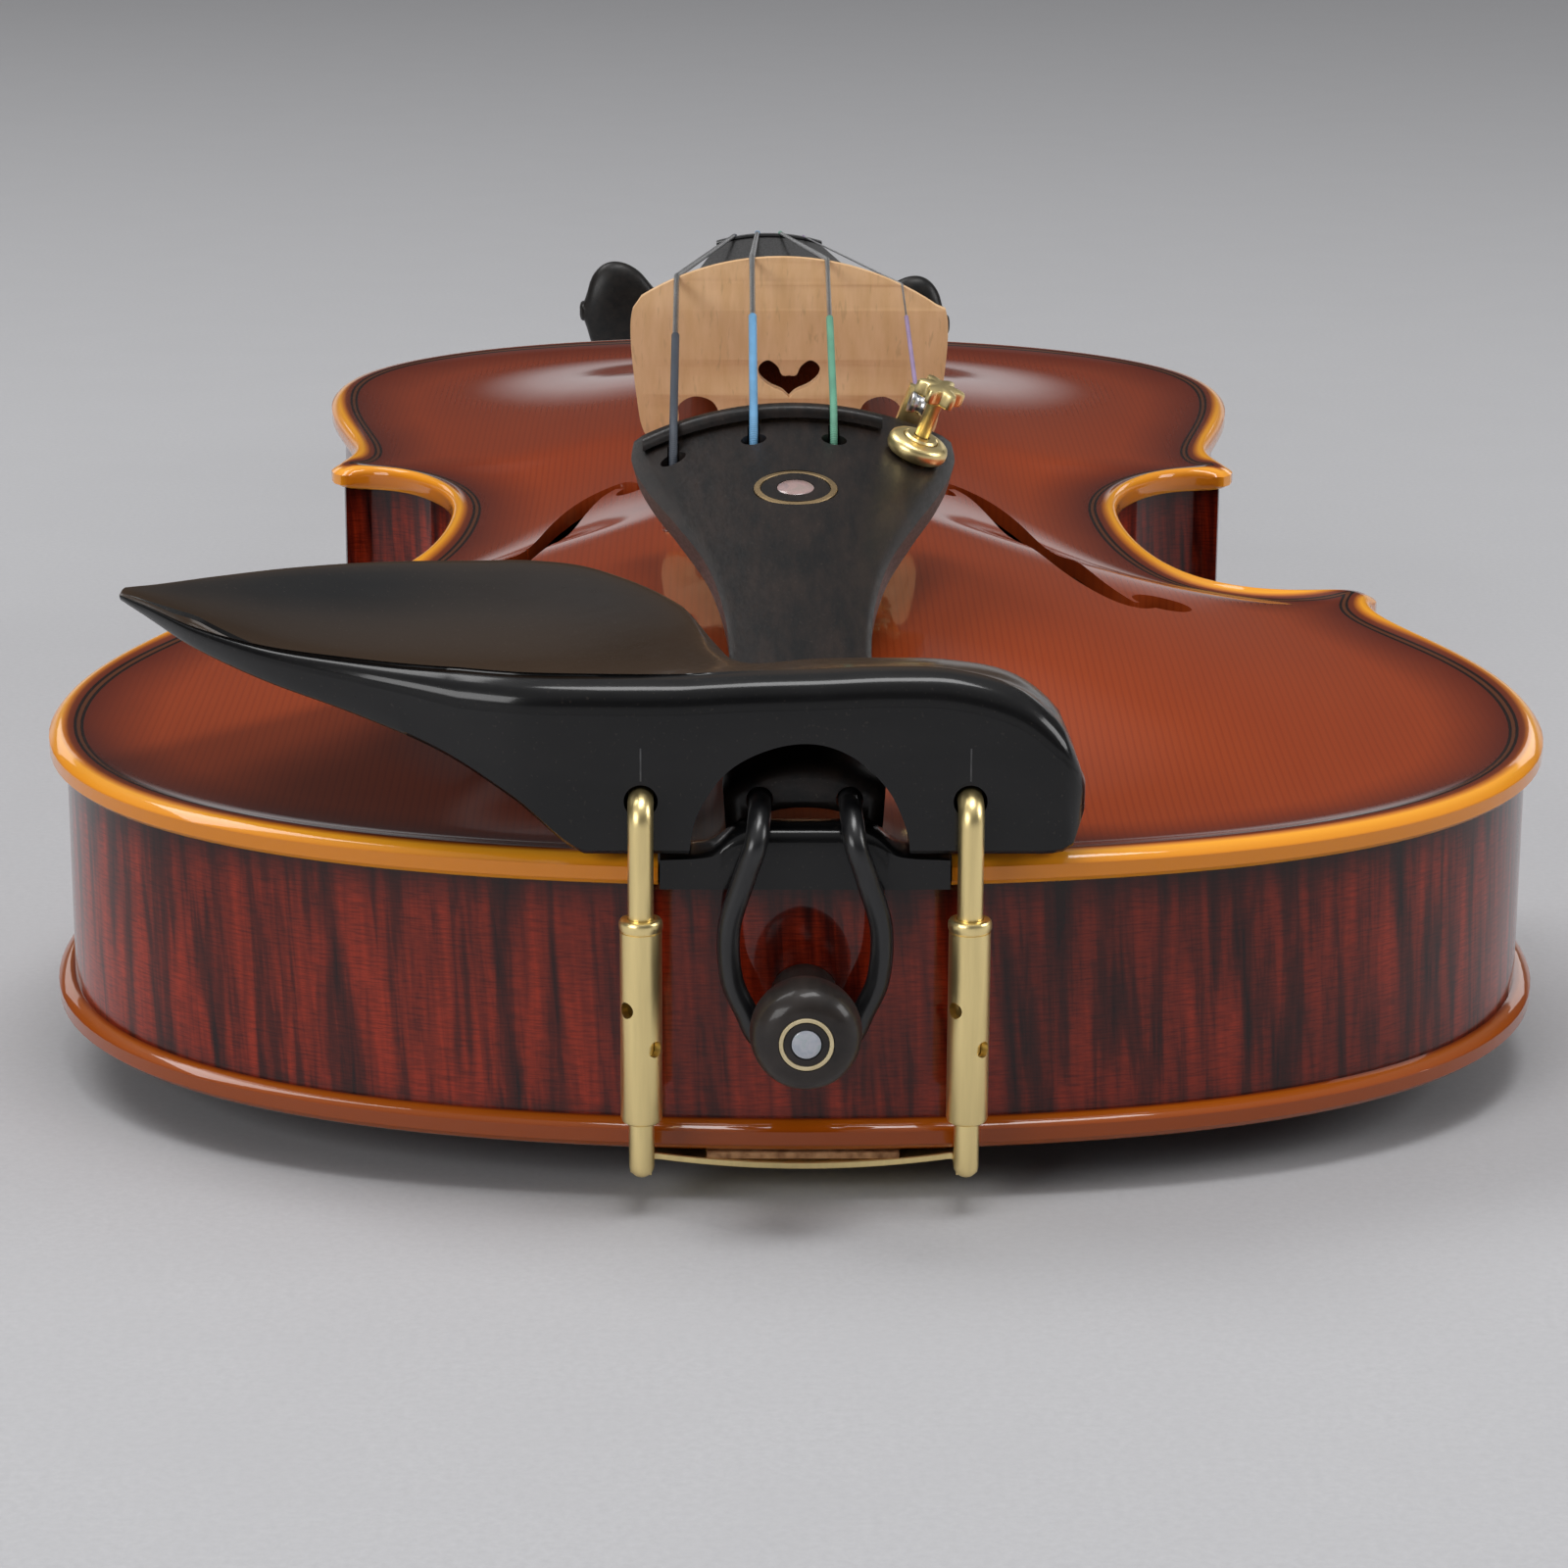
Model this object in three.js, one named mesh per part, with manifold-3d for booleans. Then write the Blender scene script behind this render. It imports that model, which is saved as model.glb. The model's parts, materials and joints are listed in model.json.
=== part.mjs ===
// A violin with four strings, tailpiece, one fine tuner and a clamped chinrest. Millimetres.
// The instrument's own frame has X across to the treble side, Y from the tail to the scroll
// and Z from the back up to the strings, with Z = 0 at the crown of the back.
// The finished assembly is tilted to lie on the crown of its back and on its scroll.
import * as THREE from 'three';
import { mergeVertices } from 'three/addons/utils/BufferGeometryUtils.js';
import Module from 'manifold-3d';

const wasm = await Module();
wasm.setup();

// Fits shared by all pieces
const seam = 0.25;
const runningFit = 0.08;
const overrun = 4;
const weldDistance = 1e-4;

// Body outline
const bodyLength = 356;
const lowerBoutWidth = 207;
const waistWidth = 111;
const upperBoutWidth = 167;
const lowerCornerSpan = 183;
const upperCornerSpan = 159.2;
const cornerWidth = 7.2;
const lowerBoutPlace = bodyLength * 0.20787;
const lowerCornerPlace = bodyLength * 0.39326;
const waistPlace = bodyLength * 0.55337;
const upperCornerPlace = bodyLength * 0.65955;
const upperBoutPlace = bodyLength * 0.83708;

// Plates and ribs
const backArch = 15;
const topArch = 15.5;
const edgeThickness = 4;
const edgeRounding = 1.2;
const plateThickness = 2.9;
const ribHeight = 31;
const ribThickness = 1.1;
const overhang = 2.6;
const channelDepth = 0.9;
const channelInset = 8;
const liningWidth = 2;
const liningHeight = 7;
const liningSetback = 1.4;
const spineStart = bodyLength * 0.23034;
const spineEnd = bodyLength * 0.79213;
const spineFall = 0.35;
const archEvening = 16;
const buttonWidth = 22;
const buttonReach = 12.5;
const restFlat = 0.3;

// Sound holes
const stopLength = bodyLength * 0.54775;
const soundHoleTopSpan = 49;
const soundHoleBottomSpan = 111;
const soundHoleTopPlace = bodyLength * 0.52528;
const soundHoleBottomPlace = bodyLength * 0.3441;
const soundHoleTopEye = 6.6;
const soundHoleBottomEye = 9;
const soundHoleWidth = 6.2;
const soundHoleNick = 1.6;

// Inside the body
const lowerBlockWidth = 46;
const lowerBlockDepth = 15;
const upperBlockWidth = 54;
const upperBlockDepth = 19;
const bassBarLength = bodyLength * 0.75281;
const bassBarThickness = 5.5;
const bassBarHeight = 11;
const soundPostDiameter = 6;
const soundPostSetback = 8;

// Neck, pegbox and scroll
const neckLength = bodyLength * 0.36517;
const overstand = 6.5;
const neckFall = 15;
const neckWidthAtNut = 24;
const neckWidthAtHeel = 33;
const neckDepthAtNut = 11.8;
const neckDepthAtHeel = 12.6;
const neckMortise = 6;
const pegboxWidth = 27;
const throatWidth = 19;
const pegboxChannelWidth = 15.6;
const throatChannelWidth = 9.5;
const pegboxWall = 5;
const headLength = 105.5;
const scrollRadius = headLength * 0.19431;
const scrollEyeRadius = headLength * 0.04171;
const scrollEyeWidth = 42;
const scrollCrestWidth = 12.4;
const scrollDrop = headLength * 0.22749;
const scrollTurns = 2.5;
const scrollLead = 0.3;
const fluteDepth = 1;

// Fingerboard and nut
const fingerboardLength = bodyLength * 0.75843;
const fingerboardEndWidth = 42.5;
const fingerboardEdge = 5;
const fingerboardRadius = 42;
const fingerboardHollow = 3.2;
const nutDepth = 6;
const nutHeight = 0.5;

// Strings, in the order G, D, A and E
const stringDiameters = [0.9, 0.92, 0.76, 0.34];
const silkThickness = 0.17;
const silkLength = bodyLength * 0.08708;
const stringSpanAtNut = 16.4;
const stringSpanAtBridge = 35;
const stringSpanAtTailpiece = 35;
const ballDiameter = 4.2;
const ballLength = 3.2;
const loopBallDiameter = 3.2;
const loopBallLength = 2.6;

// Bridge
const bridgeHeight = 36.8;
const bridgeCrownRadius = 42;
const bridgeTreblelean = 0.03;
const bridgeFootSpan = 41.5;
const bridgeWidth = 49.4;
const bridgeFootThickness = 4.4;
const bridgeTopThickness = 1.4;

// Pegs
const pegShaftDiameter = 8.1;
const pegTipDiameter = 7.1;
const pegReach = 27.5;
const pegSpacing = headLength * 0.12322;
const firstPegPlace = headLength * 0.1327;
const pegDepth = 7.6;
const pegHeadHeight = 23;
const pegHeadThickness = 7;
const windingTurns = 2.5;
const windingGap = 0.5;

// Tailpiece and its gut
const tailpieceLength = bodyLength * 0.32303;
const tailpieceStart = 6;
const tailpieceWidth = 47.8;
const tailpieceCrownRadius = 52;
const tailpieceThickness = 5.6;
const tailpieceEndHeight = 60;
const tailpieceFrontHeight = 83.5;
const tailpieceFretSetback = 6.5;
const tailpieceFretRise = 1.7;
const eyeRingDiameter = 11.8;
const eyeRingWidth = 0.9;
const eyePearlDiameter = 5.2;
const gutDiameter = 2.9;
const gutSpanAtSaddle = 11.2;
const gutSpanAtBulge = 18.8;
const gutPocketSetback = 9;
const gutPocketLength = 13;
const saddleWidth = 36;
const saddleDepth = 7;
const saddleRise = 4;

// End button
const buttonHeadDiameter = 13.8;
const buttonNeckDiameter = 8.4;
const buttonShankDiameter = 7.4;
const buttonProjection = 16;
const buttonRingDiameter = 6.7;
const buttonPearlDiameter = 3.6;

// Chinrest and its clamp
const clampSpan = 40.6;
const clampSetback = 4;
const clampRodDiameter = 3.2;
const barrelDiameter = 5.2;
const barrelLength = 26.6;
const barrelBottom = 17.1;
const hookHeight = 57.8;
const hookBend = 2.4;
const crossHoleDiameter = 1.7;
const chinrestLift = 0.5;
const clampFootLength = 13;
const clampPlateThickness = 0.9;
const corkThickness = 1;

// Fine tuner
const tunerSetback = 11.5;
const tunerClearance = 2.4;
const tunerRingDiameter = 9;
const tunerPostDiameter = 5;
const tunerScrewDiameter = 2.2;
const tunerHeadDiameter = 6;
const tunerHeadRise = 9.5;
const tunerLeverThickness = 1.4;

// Heights that follow from the sizes above
const backEdgeZ = backArch - edgeThickness;
const ribBottomZ = backArch;
const ribTopZ = ribBottomZ + ribHeight;
const topEdgeZ = ribTopZ + edgeThickness;
const topCrownZ = ribTopZ + topArch;
const ribLowZ = ribBottomZ + seam;
const ribHighZ = ribTopZ - seam;
const midHeight = (ribLowZ + ribHighZ) / 2;
const bridgePlace = bodyLength - stopLength;
const nutPlace = bodyLength + neckLength;
const headStart = nutPlace + nutDepth;
const buttonHeight = ribBottomZ + ribHeight * 0.53;
const stringSpacingShares = [-0.5, -1 / 6, 1 / 6, 0.5];
const tailPoints = 9;
const topPoints = 8;

function at(x, y, z) {
  return new THREE.Vector3(x, y, z);
}

function flat(x, y) {
  return new THREE.Vector2(x, y);
}

// Height of the plane that the fingerboard is glued on
function neckPlane(y) {
  return topEdgeZ + overstand - (y - bodyLength) * neckFall / neckLength;
}

// Makes one closed, outward facing mesh from points and triangles, dropping collapsed ones
function closedMesh(points, triangles) {
  const places = new Map();
  const positions = [];
  const welded = points.map((p) => {
    const key = [p.x, p.y, p.z].map((value) => Math.round(value / weldDistance)).join();
    if (!places.has(key)) {
      places.set(key, positions.length);
      positions.push(p);
    }
    return places.get(key);
  });
  const faces = triangles
    .map((face) => face.map((corner) => welded[corner]))
    .filter(([a, b, c]) => a !== b && b !== c && c !== a);
  let volume = 0;
  for (const [a, b, c] of faces) {
    volume += positions[a].dot(positions[b].clone().cross(positions[c]));
  }
  const index = faces.flatMap(([a, b, c]) => (volume < 0 ? [a, c, b] : [a, b, c]));
  const geometry = new THREE.BufferGeometry().setFromPoints(positions);
  geometry.setIndex(index);
  return geometry;
}

// Closes a planar ring: with a fan from its middle where that sees every side, or else by cutting ears
function closeEnd(ring, offset, points, triangles, flipped) {
  const count = ring.length;
  const normal = at(0, 0, 0);
  ring.forEach((p, i) => normal.add(p.clone().cross(ring[(i + 1) % count])));
  normal.normalize();
  const middle = ring.reduce((sum, p) => sum.add(p), at(0, 0, 0)).divideScalar(count);
  const facing = (i) => {
    const here = ring[i].clone().sub(middle);
    return here.cross(ring[(i + 1) % count].clone().sub(middle)).dot(normal);
  };
  const isOpen = ring.every((_, i) => ring[i].distanceTo(ring[(i + 1) % count]) < weldDistance || facing(i) > 0);
  let faces;
  if (isOpen) {
    faces = ring.map((_, i) => [i, (i + 1) % count, points.length - offset]);
    points.push(middle);
  } else {
    const side = Math.abs(normal.x) < 1 / 2 ? at(1, 0, 0) : at(0, 1, 0);
    const across = side.addScaledVector(normal, -side.dot(normal)).normalize();
    const along = normal.clone().cross(across);
    faces = THREE.ShapeUtils.triangulateShape(ring.map((p) => flat(p.dot(across), p.dot(along))), []);
  }
  faces.forEach(([a, b, c]) => {
    const face = flipped ? [a, c, b] : [a, b, c];
    triangles.push(face.map((corner) => corner + offset));
  });
}

// Skins rings that have equal numbers of points and closes both ends
function loft(rings) {
  const count = rings[0].length;
  const triangles = [];
  for (let row = 0; row + 1 < rings.length; row += 1) {
    for (let i = 0; i < count; i += 1) {
      const a = row * count + i;
      const b = row * count + (i + 1) % count;
      triangles.push([a, b, b + count], [a, b + count, a + count]);
    }
  }
  const last = (rings.length - 1) * count;
  const points = rings.flat();
  closeEnd(rings[0], 0, points, triangles, true);
  closeEnd(rings[rings.length - 1], last, points, triangles, false);
  return closedMesh(points, triangles);
}

// Round tube along a path, with one radius or a radius for each point
function tube(path, radius, sides = 8) {
  const reach = (i) => (Array.isArray(radius) ? radius[i] : radius);
  const heading = (i) => {
    const before = path[Math.max(i - 1, 0)];
    const after = path[Math.min(i + 1, path.length - 1)];
    return after.clone().sub(before).normalize();
  };
  const first = heading(0);
  let up = Math.abs(first.z) < 1 / 2 ? at(0, 0, 1) : at(0, 1, 0);
  const rings = path.map((centre, i) => {
    const tangent = heading(i);
    up = up.clone().addScaledVector(tangent, -up.dot(tangent)).normalize();
    const side = tangent.clone().cross(up);
    return Array.from({ length: sides }, (_, k) => {
      const turn = (k + 1 / 2) * 2 * Math.PI / sides;
      return centre.clone()
        .addScaledVector(side, Math.cos(turn) * reach(i))
        .addScaledVector(up, Math.sin(turn) * reach(i));
    });
  });
  return loft(rings);
}

function cylinder(from, to, radius, sides = 16) {
  return tube([from, to], radius, sides);
}

// Solid of revolution about X, Y or Z from pairs of radius and place along the axis
function turned(profile, axis, sides = 16) {
  const geometry = new THREE.LatheGeometry(profile.map(([r, s]) => flat(r, s)), sides);
  if (axis === 'x') geometry.rotateZ(-Math.PI / 2);
  if (axis === 'z') geometry.rotateX(Math.PI / 2);
  return tidy(geometry);
}

// Outline in the ground plane, raised from one height to another
function raised(outline, bottom, top) {
  return loft([bottom, top].map((z) => outline.map((p) => at(p.x, p.y, z))));
}

function block(low, high) {
  const size = high.clone().sub(low);
  const box = new THREE.BoxGeometry(size.x, size.y, size.z);
  const centre = low.clone().add(high).divideScalar(2);
  return tidy(box.translate(centre.x, centre.y, centre.z));
}

// Shares vertices, so that a stock geometry becomes one closed mesh
function tidy(geometry) {
  const source = geometry.index ? geometry : geometry.clone();
  const position = source.attributes.position;
  const points = Array.from({ length: position.count }, (_, i) => at(0, 0, 0).fromBufferAttribute(position, i));
  const order = source.index ? Array.from(source.index.array) : points.map((_, i) => i);
  const triangles = [];
  for (let i = 0; i < order.length; i += 3) triangles.push(order.slice(i, i + 3));
  return closedMesh(points, triangles);
}

function toSolid(geometry) {
  const bare = geometry.clone();
  bare.deleteAttribute('normal');
  bare.deleteAttribute('uv');
  const shared = mergeVertices(bare);
  return new wasm.Manifold(new wasm.Mesh({
    numProp: 3,
    vertProperties: new Float32Array(shared.attributes.position.array),
    triVerts: new Uint32Array(shared.index.array),
  }));
}

function toGeometry(solid) {
  const mesh = solid.getMesh();
  const geometry = new THREE.BufferGeometry();
  geometry.setAttribute('position', new THREE.BufferAttribute(mesh.vertProperties.slice(), 3));
  geometry.setIndex(new THREE.BufferAttribute(mesh.triVerts.slice(), 1));
  return geometry;
}

function join(...geometries) {
  return toGeometry(geometries.map(toSolid).reduce((whole, piece) => whole.add(piece)));
}

function cut(geometry, ...tools) {
  return toGeometry(tools.map(toSolid).reduce((whole, tool) => whole.subtract(tool), toSolid(geometry)));
}

function largest(solid) {
  return solid.decompose().reduce((best, body) => (body.volume() > best.volume() ? body : best));
}

function common(first, second) {
  return toGeometry(toSolid(first).intersect(toSolid(second)));
}

function mirrored(geometry) {
  const flipped = geometry.clone().scale(-1, 1, 1);
  return tidy(flipped);
}

// Height of the first surface met from above (-1) or from below (1), starting at a given height
function surfaceAt(geometry, x, y, start, direction) {
  const target = new THREE.Mesh(geometry, new THREE.MeshBasicMaterial({ side: THREE.DoubleSide }));
  const ray = new THREE.Raycaster(at(x, y, start), at(0, 0, direction));
  return ray.intersectObject(target)[0].point.z;
}

// Body outline of the treble side, from the tail to the neck

const lowerHalf = lowerBoutWidth / 2;
const upperHalf = upperBoutWidth / 2;
const waistHalf = waistWidth / 2;
const lowerCorner = flat(lowerCornerSpan / 2, lowerCornerPlace);
const upperCorner = flat(upperCornerSpan / 2, upperCornerPlace);
const lowerCornerInner = lowerCorner.clone().add(flat(-0.36, 0.93).multiplyScalar(cornerWidth));
const upperCornerInner = upperCorner.clone().add(flat(-0.31, -0.95).multiplyScalar(cornerWidth));

function bend(points, steps) {
  return new THREE.CubicBezierCurve(...points).getPoints(steps);
}

// Waist curve control points, as shares of the way from the waist to the corner
function waistCurve(corner, shares, steps) {
  const points = shares.map(([out, up]) => flat(
    THREE.MathUtils.lerp(waistHalf, corner.x, out),
    THREE.MathUtils.lerp(waistPlace, corner.y, up),
  ));
  return bend(points, steps);
}

const lowerTailShares = [0.64, 0.34];
const lowerNeckShares = [0.545, 0.885, 0.818];
const upperNeckShares = [0.855, 0.13, 0.494];
const upperTopShares = [0.66, 0.55];
const lowerHookShares = [[1, 1], [0.751, 1.12], [0.495, 1.11], [0.3, 0.95]];
const lowerWaistShares = [[0.3, 0.95], [0.12, 0.8], [0, 0.4], [0, 0]];
const upperWaistShares = [[0, 0], [0, 0.32], [0.09, 0.623], [0.318, 0.847]];
const upperHookShares = [[0.318, 0.847], [0.5, 1.038], [0.727, 1.102], [1, 1]];

const lowerReach = lowerCornerPlace - lowerBoutPlace;
const upperReach = upperBoutPlace - upperCornerPlace;
const lowerLine = [
  ...bend([
    flat(0, 0),
    flat(lowerHalf * lowerTailShares[0], 0),
    flat(lowerHalf, lowerBoutPlace * lowerTailShares[1]),
    flat(lowerHalf, lowerBoutPlace),
  ], 8),
  ...bend([
    flat(lowerHalf, lowerBoutPlace),
    flat(lowerHalf, lowerBoutPlace + lowerReach * lowerNeckShares[0]),
    flat(lowerCorner.x * lowerNeckShares[1], lowerBoutPlace + lowerReach * lowerNeckShares[2]),
    lowerCorner,
  ], 7).slice(1),
];
const middleLine = [
  ...waistCurve(lowerCornerInner, lowerHookShares, 4),
  ...waistCurve(lowerCornerInner, lowerWaistShares, 4).slice(1),
  ...waistCurve(upperCornerInner, upperWaistShares, 3).slice(1),
  ...waistCurve(upperCornerInner, upperHookShares, 4).slice(1),
];
const upperLine = [
  ...bend([
    upperCorner,
    flat(upperCorner.x * upperNeckShares[0], upperCornerPlace + upperReach * upperNeckShares[1]),
    flat(upperHalf, upperCornerPlace + upperReach * upperNeckShares[2]),
    flat(upperHalf, upperBoutPlace),
  ], 6),
  ...bend([
    flat(upperHalf, upperBoutPlace),
    flat(upperHalf, upperBoutPlace + (bodyLength - upperBoutPlace) * upperTopShares[0]),
    flat(upperHalf * upperTopShares[1], bodyLength),
    flat(0, bodyLength),
  ], 7).slice(1),
];
const halfOutline = [...lowerLine, ...middleLine, ...upperLine];
const outline = [
  ...halfOutline,
  ...halfOutline.slice(1, -1).reverse().map((p) => flat(-p.x, p.y)),
];

// Moves the points of a line towards the inside of the body, which lies to its left
function inset(line, distance, closed = false) {
  return line.map((p, i) => {
    const before = line[closed ? (i + line.length - 1) % line.length : Math.max(i - 1, 0)];
    const after = line[closed ? (i + 1) % line.length : Math.min(i + 1, line.length - 1)];
    const heading = after.clone().sub(before).normalize();
    return flat(p.x - heading.y * distance, p.y + heading.x * distance);
  });
}

// Evens each point of a loop with its neighbours, a number of times over
function evened(loop, passes) {
  if (passes < 1) return loop;
  const ring = loop.map((p, i) => {
    const before = loop[(i + loop.length - 1) % loop.length];
    const after = loop[(i + 1) % loop.length];
    return before.clone().add(after).add(p).add(p).divideScalar(4);
  });
  return evened(ring, passes - 1);
}

// Moves a loop inwards in small steps and evens it, so that the corners melt away
function melted(loop, distance, steps) {
  let ring = loop;
  for (let step = 0; step < steps; step += 1) ring = evened(inset(ring, distance / steps, true), 1);
  return ring;
}

const channelRing = melted(outline, channelInset, 6);

// A plate seen with its outside up: a rounded edge, a shallow channel and a crowned arch.
// Heights are measured from its glued face, and the inside keeps the plate's thickness.
function archedPlate(arch) {
  const spine = channelRing.map((p) => flat(0, THREE.MathUtils.lerp(spineStart, spineEnd, p.y / bodyLength)));
  const ring = (share) => evened(channelRing.map((p, i) => p.clone().lerp(spine[i], share)), archEvening * share);
  const rise = (share, y) => {
    const crown = (1 - Math.cos(Math.PI * share)) / 2;
    const away = (2 * y - bodyLength) / bodyLength;
    return edgeThickness - channelDepth + (arch - edgeThickness + channelDepth) * crown * (1 - spineFall * away ** 2);
  };
  const archLevel = (share, lowered) => ring(share).map((p) => at(p.x, p.y, rise(share, p.y) - lowered));
  const level = (line, z) => line.map((p) => at(p.x, p.y, z));
  const outsideShares = [0, 0.2, 0.42, 0.66, 0.86, 1];
  const insideShares = [0.3, 0.62, 1];
  const rows = [
    ...insideShares.map((share) => archLevel(share, plateThickness)).reverse(),
    level(ring(0), 0),
    level(inset(outline, edgeRounding * 0.7, true), 0),
    level(outline, edgeThickness / 2),
    level(inset(outline, edgeRounding, true), edgeThickness),
    ...outsideShares.map((share) => archLevel(share, 0)),
  ];
  const count = outline.length;
  const points = rows.flat();
  const triangles = [];
  for (let row = 0; row + 1 < rows.length; row += 1) {
    for (let i = 0; i < count; i += 1) {
      const a = row * count + i;
      const b = row * count + (i + 1) % count;
      triangles.push([a, b, b + count], [a, b + count, a + count]);
    }
  }
  return closedMesh(points, triangles);
}

// Sound hole outline along its centre curve: across, along, and share of the stem's width
const soundHoleShares = [
  [0, 1, 0.3], [0.09, 1.093, 0.5], [0.242, 1.054, 0.74], [0.348, 0.891, 0.92], [0.435, 0.597, 1],
  [0.548, 0.302, 1], [0.677, 0.062, 0.85], [0.839, -0.08, 0.6], [1, 0, 0.3],
];

function soundHoleCutter() {
  const top = flat(soundHoleTopSpan / 2, soundHoleTopPlace);
  const bottom = flat(soundHoleBottomSpan / 2, soundHoleBottomPlace);
  const centres = soundHoleShares.map(([across, along]) => at(
    THREE.MathUtils.lerp(top.x, bottom.x, across),
    THREE.MathUtils.lerp(bottom.y, top.y, along),
    0,
  ));
  const curve = new THREE.CatmullRomCurve3(centres);
  const steps = 16;
  const sides = [[], []];
  for (let i = 0; i <= steps; i += 1) {
    const place = i / steps * (soundHoleShares.length - 1);
    const low = Math.min(Math.floor(place), soundHoleShares.length - 2);
    const width = THREE.MathUtils.lerp(soundHoleShares[low][2], soundHoleShares[low + 1][2], place - low);
    const reach = soundHoleWidth / 2 * width;
    const p = curve.getPoint(i / steps);
    const heading = curve.getTangent(i / steps);
    sides[0].push(flat(p.x - heading.y * reach, p.y + heading.x * reach));
    sides[1].unshift(flat(p.x + heading.y * reach, p.y - heading.x * reach));
  }
  const low = ribTopZ - overrun;
  const high = topCrownZ + overrun;
  const stem = raised([...sides[0], ...sides[1]], low, high);
  const topEye = cylinder(at(top.x, top.y, low), at(top.x, top.y, high), soundHoleTopEye / 2, 12);
  const bottomEye = cylinder(at(bottom.x, bottom.y, low), at(bottom.x, bottom.y, high), soundHoleBottomEye / 2, 14);
  const middle = curve.getPoint(1 / 2);
  const reach = soundHoleWidth / 2 + soundHoleNick;
  const nick = raised([
    flat(middle.x - reach, bridgePlace),
    flat(middle.x, bridgePlace - soundHoleNick),
    flat(middle.x + reach, bridgePlace),
    flat(middle.x, bridgePlace + soundHoleNick),
  ], low, high);
  return join(stem, topEye, bottomEye, nick);
}

function saddleNotch(clearance) {
  const half = saddleWidth / 2 + clearance;
  return block(at(-half, -overrun, ribTopZ - overrun), at(half, saddleDepth + clearance, topEdgeZ + saddleRise));
}

function topPlate() {
  const plate = archedPlate(topArch).translate(0, 0, ribTopZ);
  const hole = soundHoleCutter();
  return cut(plate, hole, mirrored(hole), saddleNotch(seam), neckRoot(seam));
}

function backPlate() {
  const plate = tidy(archedPlate(backArch).scale(1, 1, -1)).translate(0, 0, ribBottomZ);
  const radius = buttonWidth / 2;
  const centre = bodyLength + buttonReach - radius;
  const button = cylinder(at(0, centre, backEdgeZ), at(0, centre, ribBottomZ), radius, 24);
  return join(plate, button);
}

// Ribs with their linings. A rib is a thin bent strip; between its blocks it carries
// a lining along each edge.

function trimmed(line, fromStart, fromEnd) {
  const path = new THREE.CurvePath();
  line.slice(1).forEach((p, i) => path.add(new THREE.LineCurve(line[i], p)));
  const length = path.getLength();
  const start = path.getPoint(fromStart / length);
  const end = path.getPoint(1 - fromEnd / length);
  const reached = (i) => line.slice(0, i + 1).reduce((sum, p, k) => (k ? sum + p.distanceTo(line[k - 1]) : 0), 0);
  const inside = line.filter((_, i) => reached(i) > fromStart + seam && reached(i) < length - fromEnd - seam);
  return [start, ...inside, end];
}

// Whether each point of a rib lies between its blocks, where it carries linings
function ribStrip(line, isLined) {
  const outer = inset(line, overhang);
  const inner = inset(line, overhang + ribThickness);
  const lined = inset(line, overhang + ribThickness + liningWidth);
  const rings = line.map((p, i) => {
    const face = isLined(p, i) ? lined[i] : inner[i];
    return [
      at(outer[i].x, outer[i].y, ribLowZ),
      at(outer[i].x, outer[i].y, ribHighZ),
      at(face.x, face.y, ribHighZ),
      at(face.x, face.y, ribHighZ - liningHeight),
      at(inner[i].x, inner[i].y, ribHighZ - liningHeight),
      at(inner[i].x, inner[i].y, ribLowZ + liningHeight),
      at(face.x, face.y, ribLowZ + liningHeight),
      at(face.x, face.y, ribLowZ),
    ];
  });
  return loft(rings);
}

// Adds two points close together where a line passes a given distance from the middle
function stepped(line, x) {
  const before = line.findIndex((p, i) => (p.x - x) * (line[i + 1].x - x) < 0);
  const [here, next] = line.slice(before, before + 2);
  const share = (x - here.x) / (next.x - here.x);
  const apart = seam / here.distanceTo(next);
  const steps = [here.clone().lerp(next, share - apart), here.clone().lerp(next, share + apart)];
  return [...line.slice(0, before + 1), ...steps, ...line.slice(before + 1)];
}

const lowerRibLine = stepped(trimmed(lowerLine, seam, overhang), lowerBlockWidth / 2 + liningSetback);
const middleRibLine = trimmed(middleLine, overhang, overhang);
const upperRibLine = stepped(
  trimmed(upperLine, overhang, neckWidthAtHeel / 2 + seam),
  upperBlockWidth / 2 + liningSetback,
);
const cornerBlockPoints = 4;

function ribs() {
  const reachesCorner = (line, i) => i < line.length - 1 - cornerBlockPoints;
  const lowerRib = ribStrip(lowerRibLine, (p, i) => (
    p.x > lowerBlockWidth / 2 + liningSetback && reachesCorner(lowerRibLine, i)
  ));
  const middleRib = ribStrip(middleRibLine, (p, i) => (
    i > cornerBlockPoints && reachesCorner(middleRibLine, i)
  ));
  const upperRib = ribStrip(upperRibLine, (p, i) => (
    i > cornerBlockPoints && p.x > upperBlockWidth / 2 + liningSetback
  ));
  return { lowerRib: cut(lowerRib, buttonBore(seam)), middleRib, upperRib };
}

// Blocks that fill the corners and the two ends behind the ribs

function cornerBlock(firstLine, secondLine) {
  const depth = overhang + ribThickness + seam;
  const first = inset(firstLine, depth).slice(-1 - cornerBlockPoints, -1);
  const second = inset(secondLine, depth).slice(1, 1 + cornerBlockPoints);
  return raised([...first, ...second], ribLowZ, ribHighZ);
}

// Region inside the ribs at one end of the body, cut to the size of its block
function endBlock(line, width, low, high) {
  const face = inset(line, overhang + ribThickness + seam).map((p) => flat(Math.max(p.x, 0), p.y));
  const left = face.filter((p) => p.x > 0).map((p) => flat(-p.x, p.y)).reverse();
  const region = raised([...face, ...left], ribLowZ, ribHighZ);
  const limits = block(at(-width / 2, low, ribLowZ - overrun), at(width / 2, high, ribHighZ + overrun));
  return common(region, limits);
}

function lowerBlock() {
  const inner = overhang + ribThickness + lowerBlockDepth;
  const body = endBlock(lowerLine.slice(0, tailPoints), lowerBlockWidth, 0, inner);
  return cut(body, buttonBore(seam));
}

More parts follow.
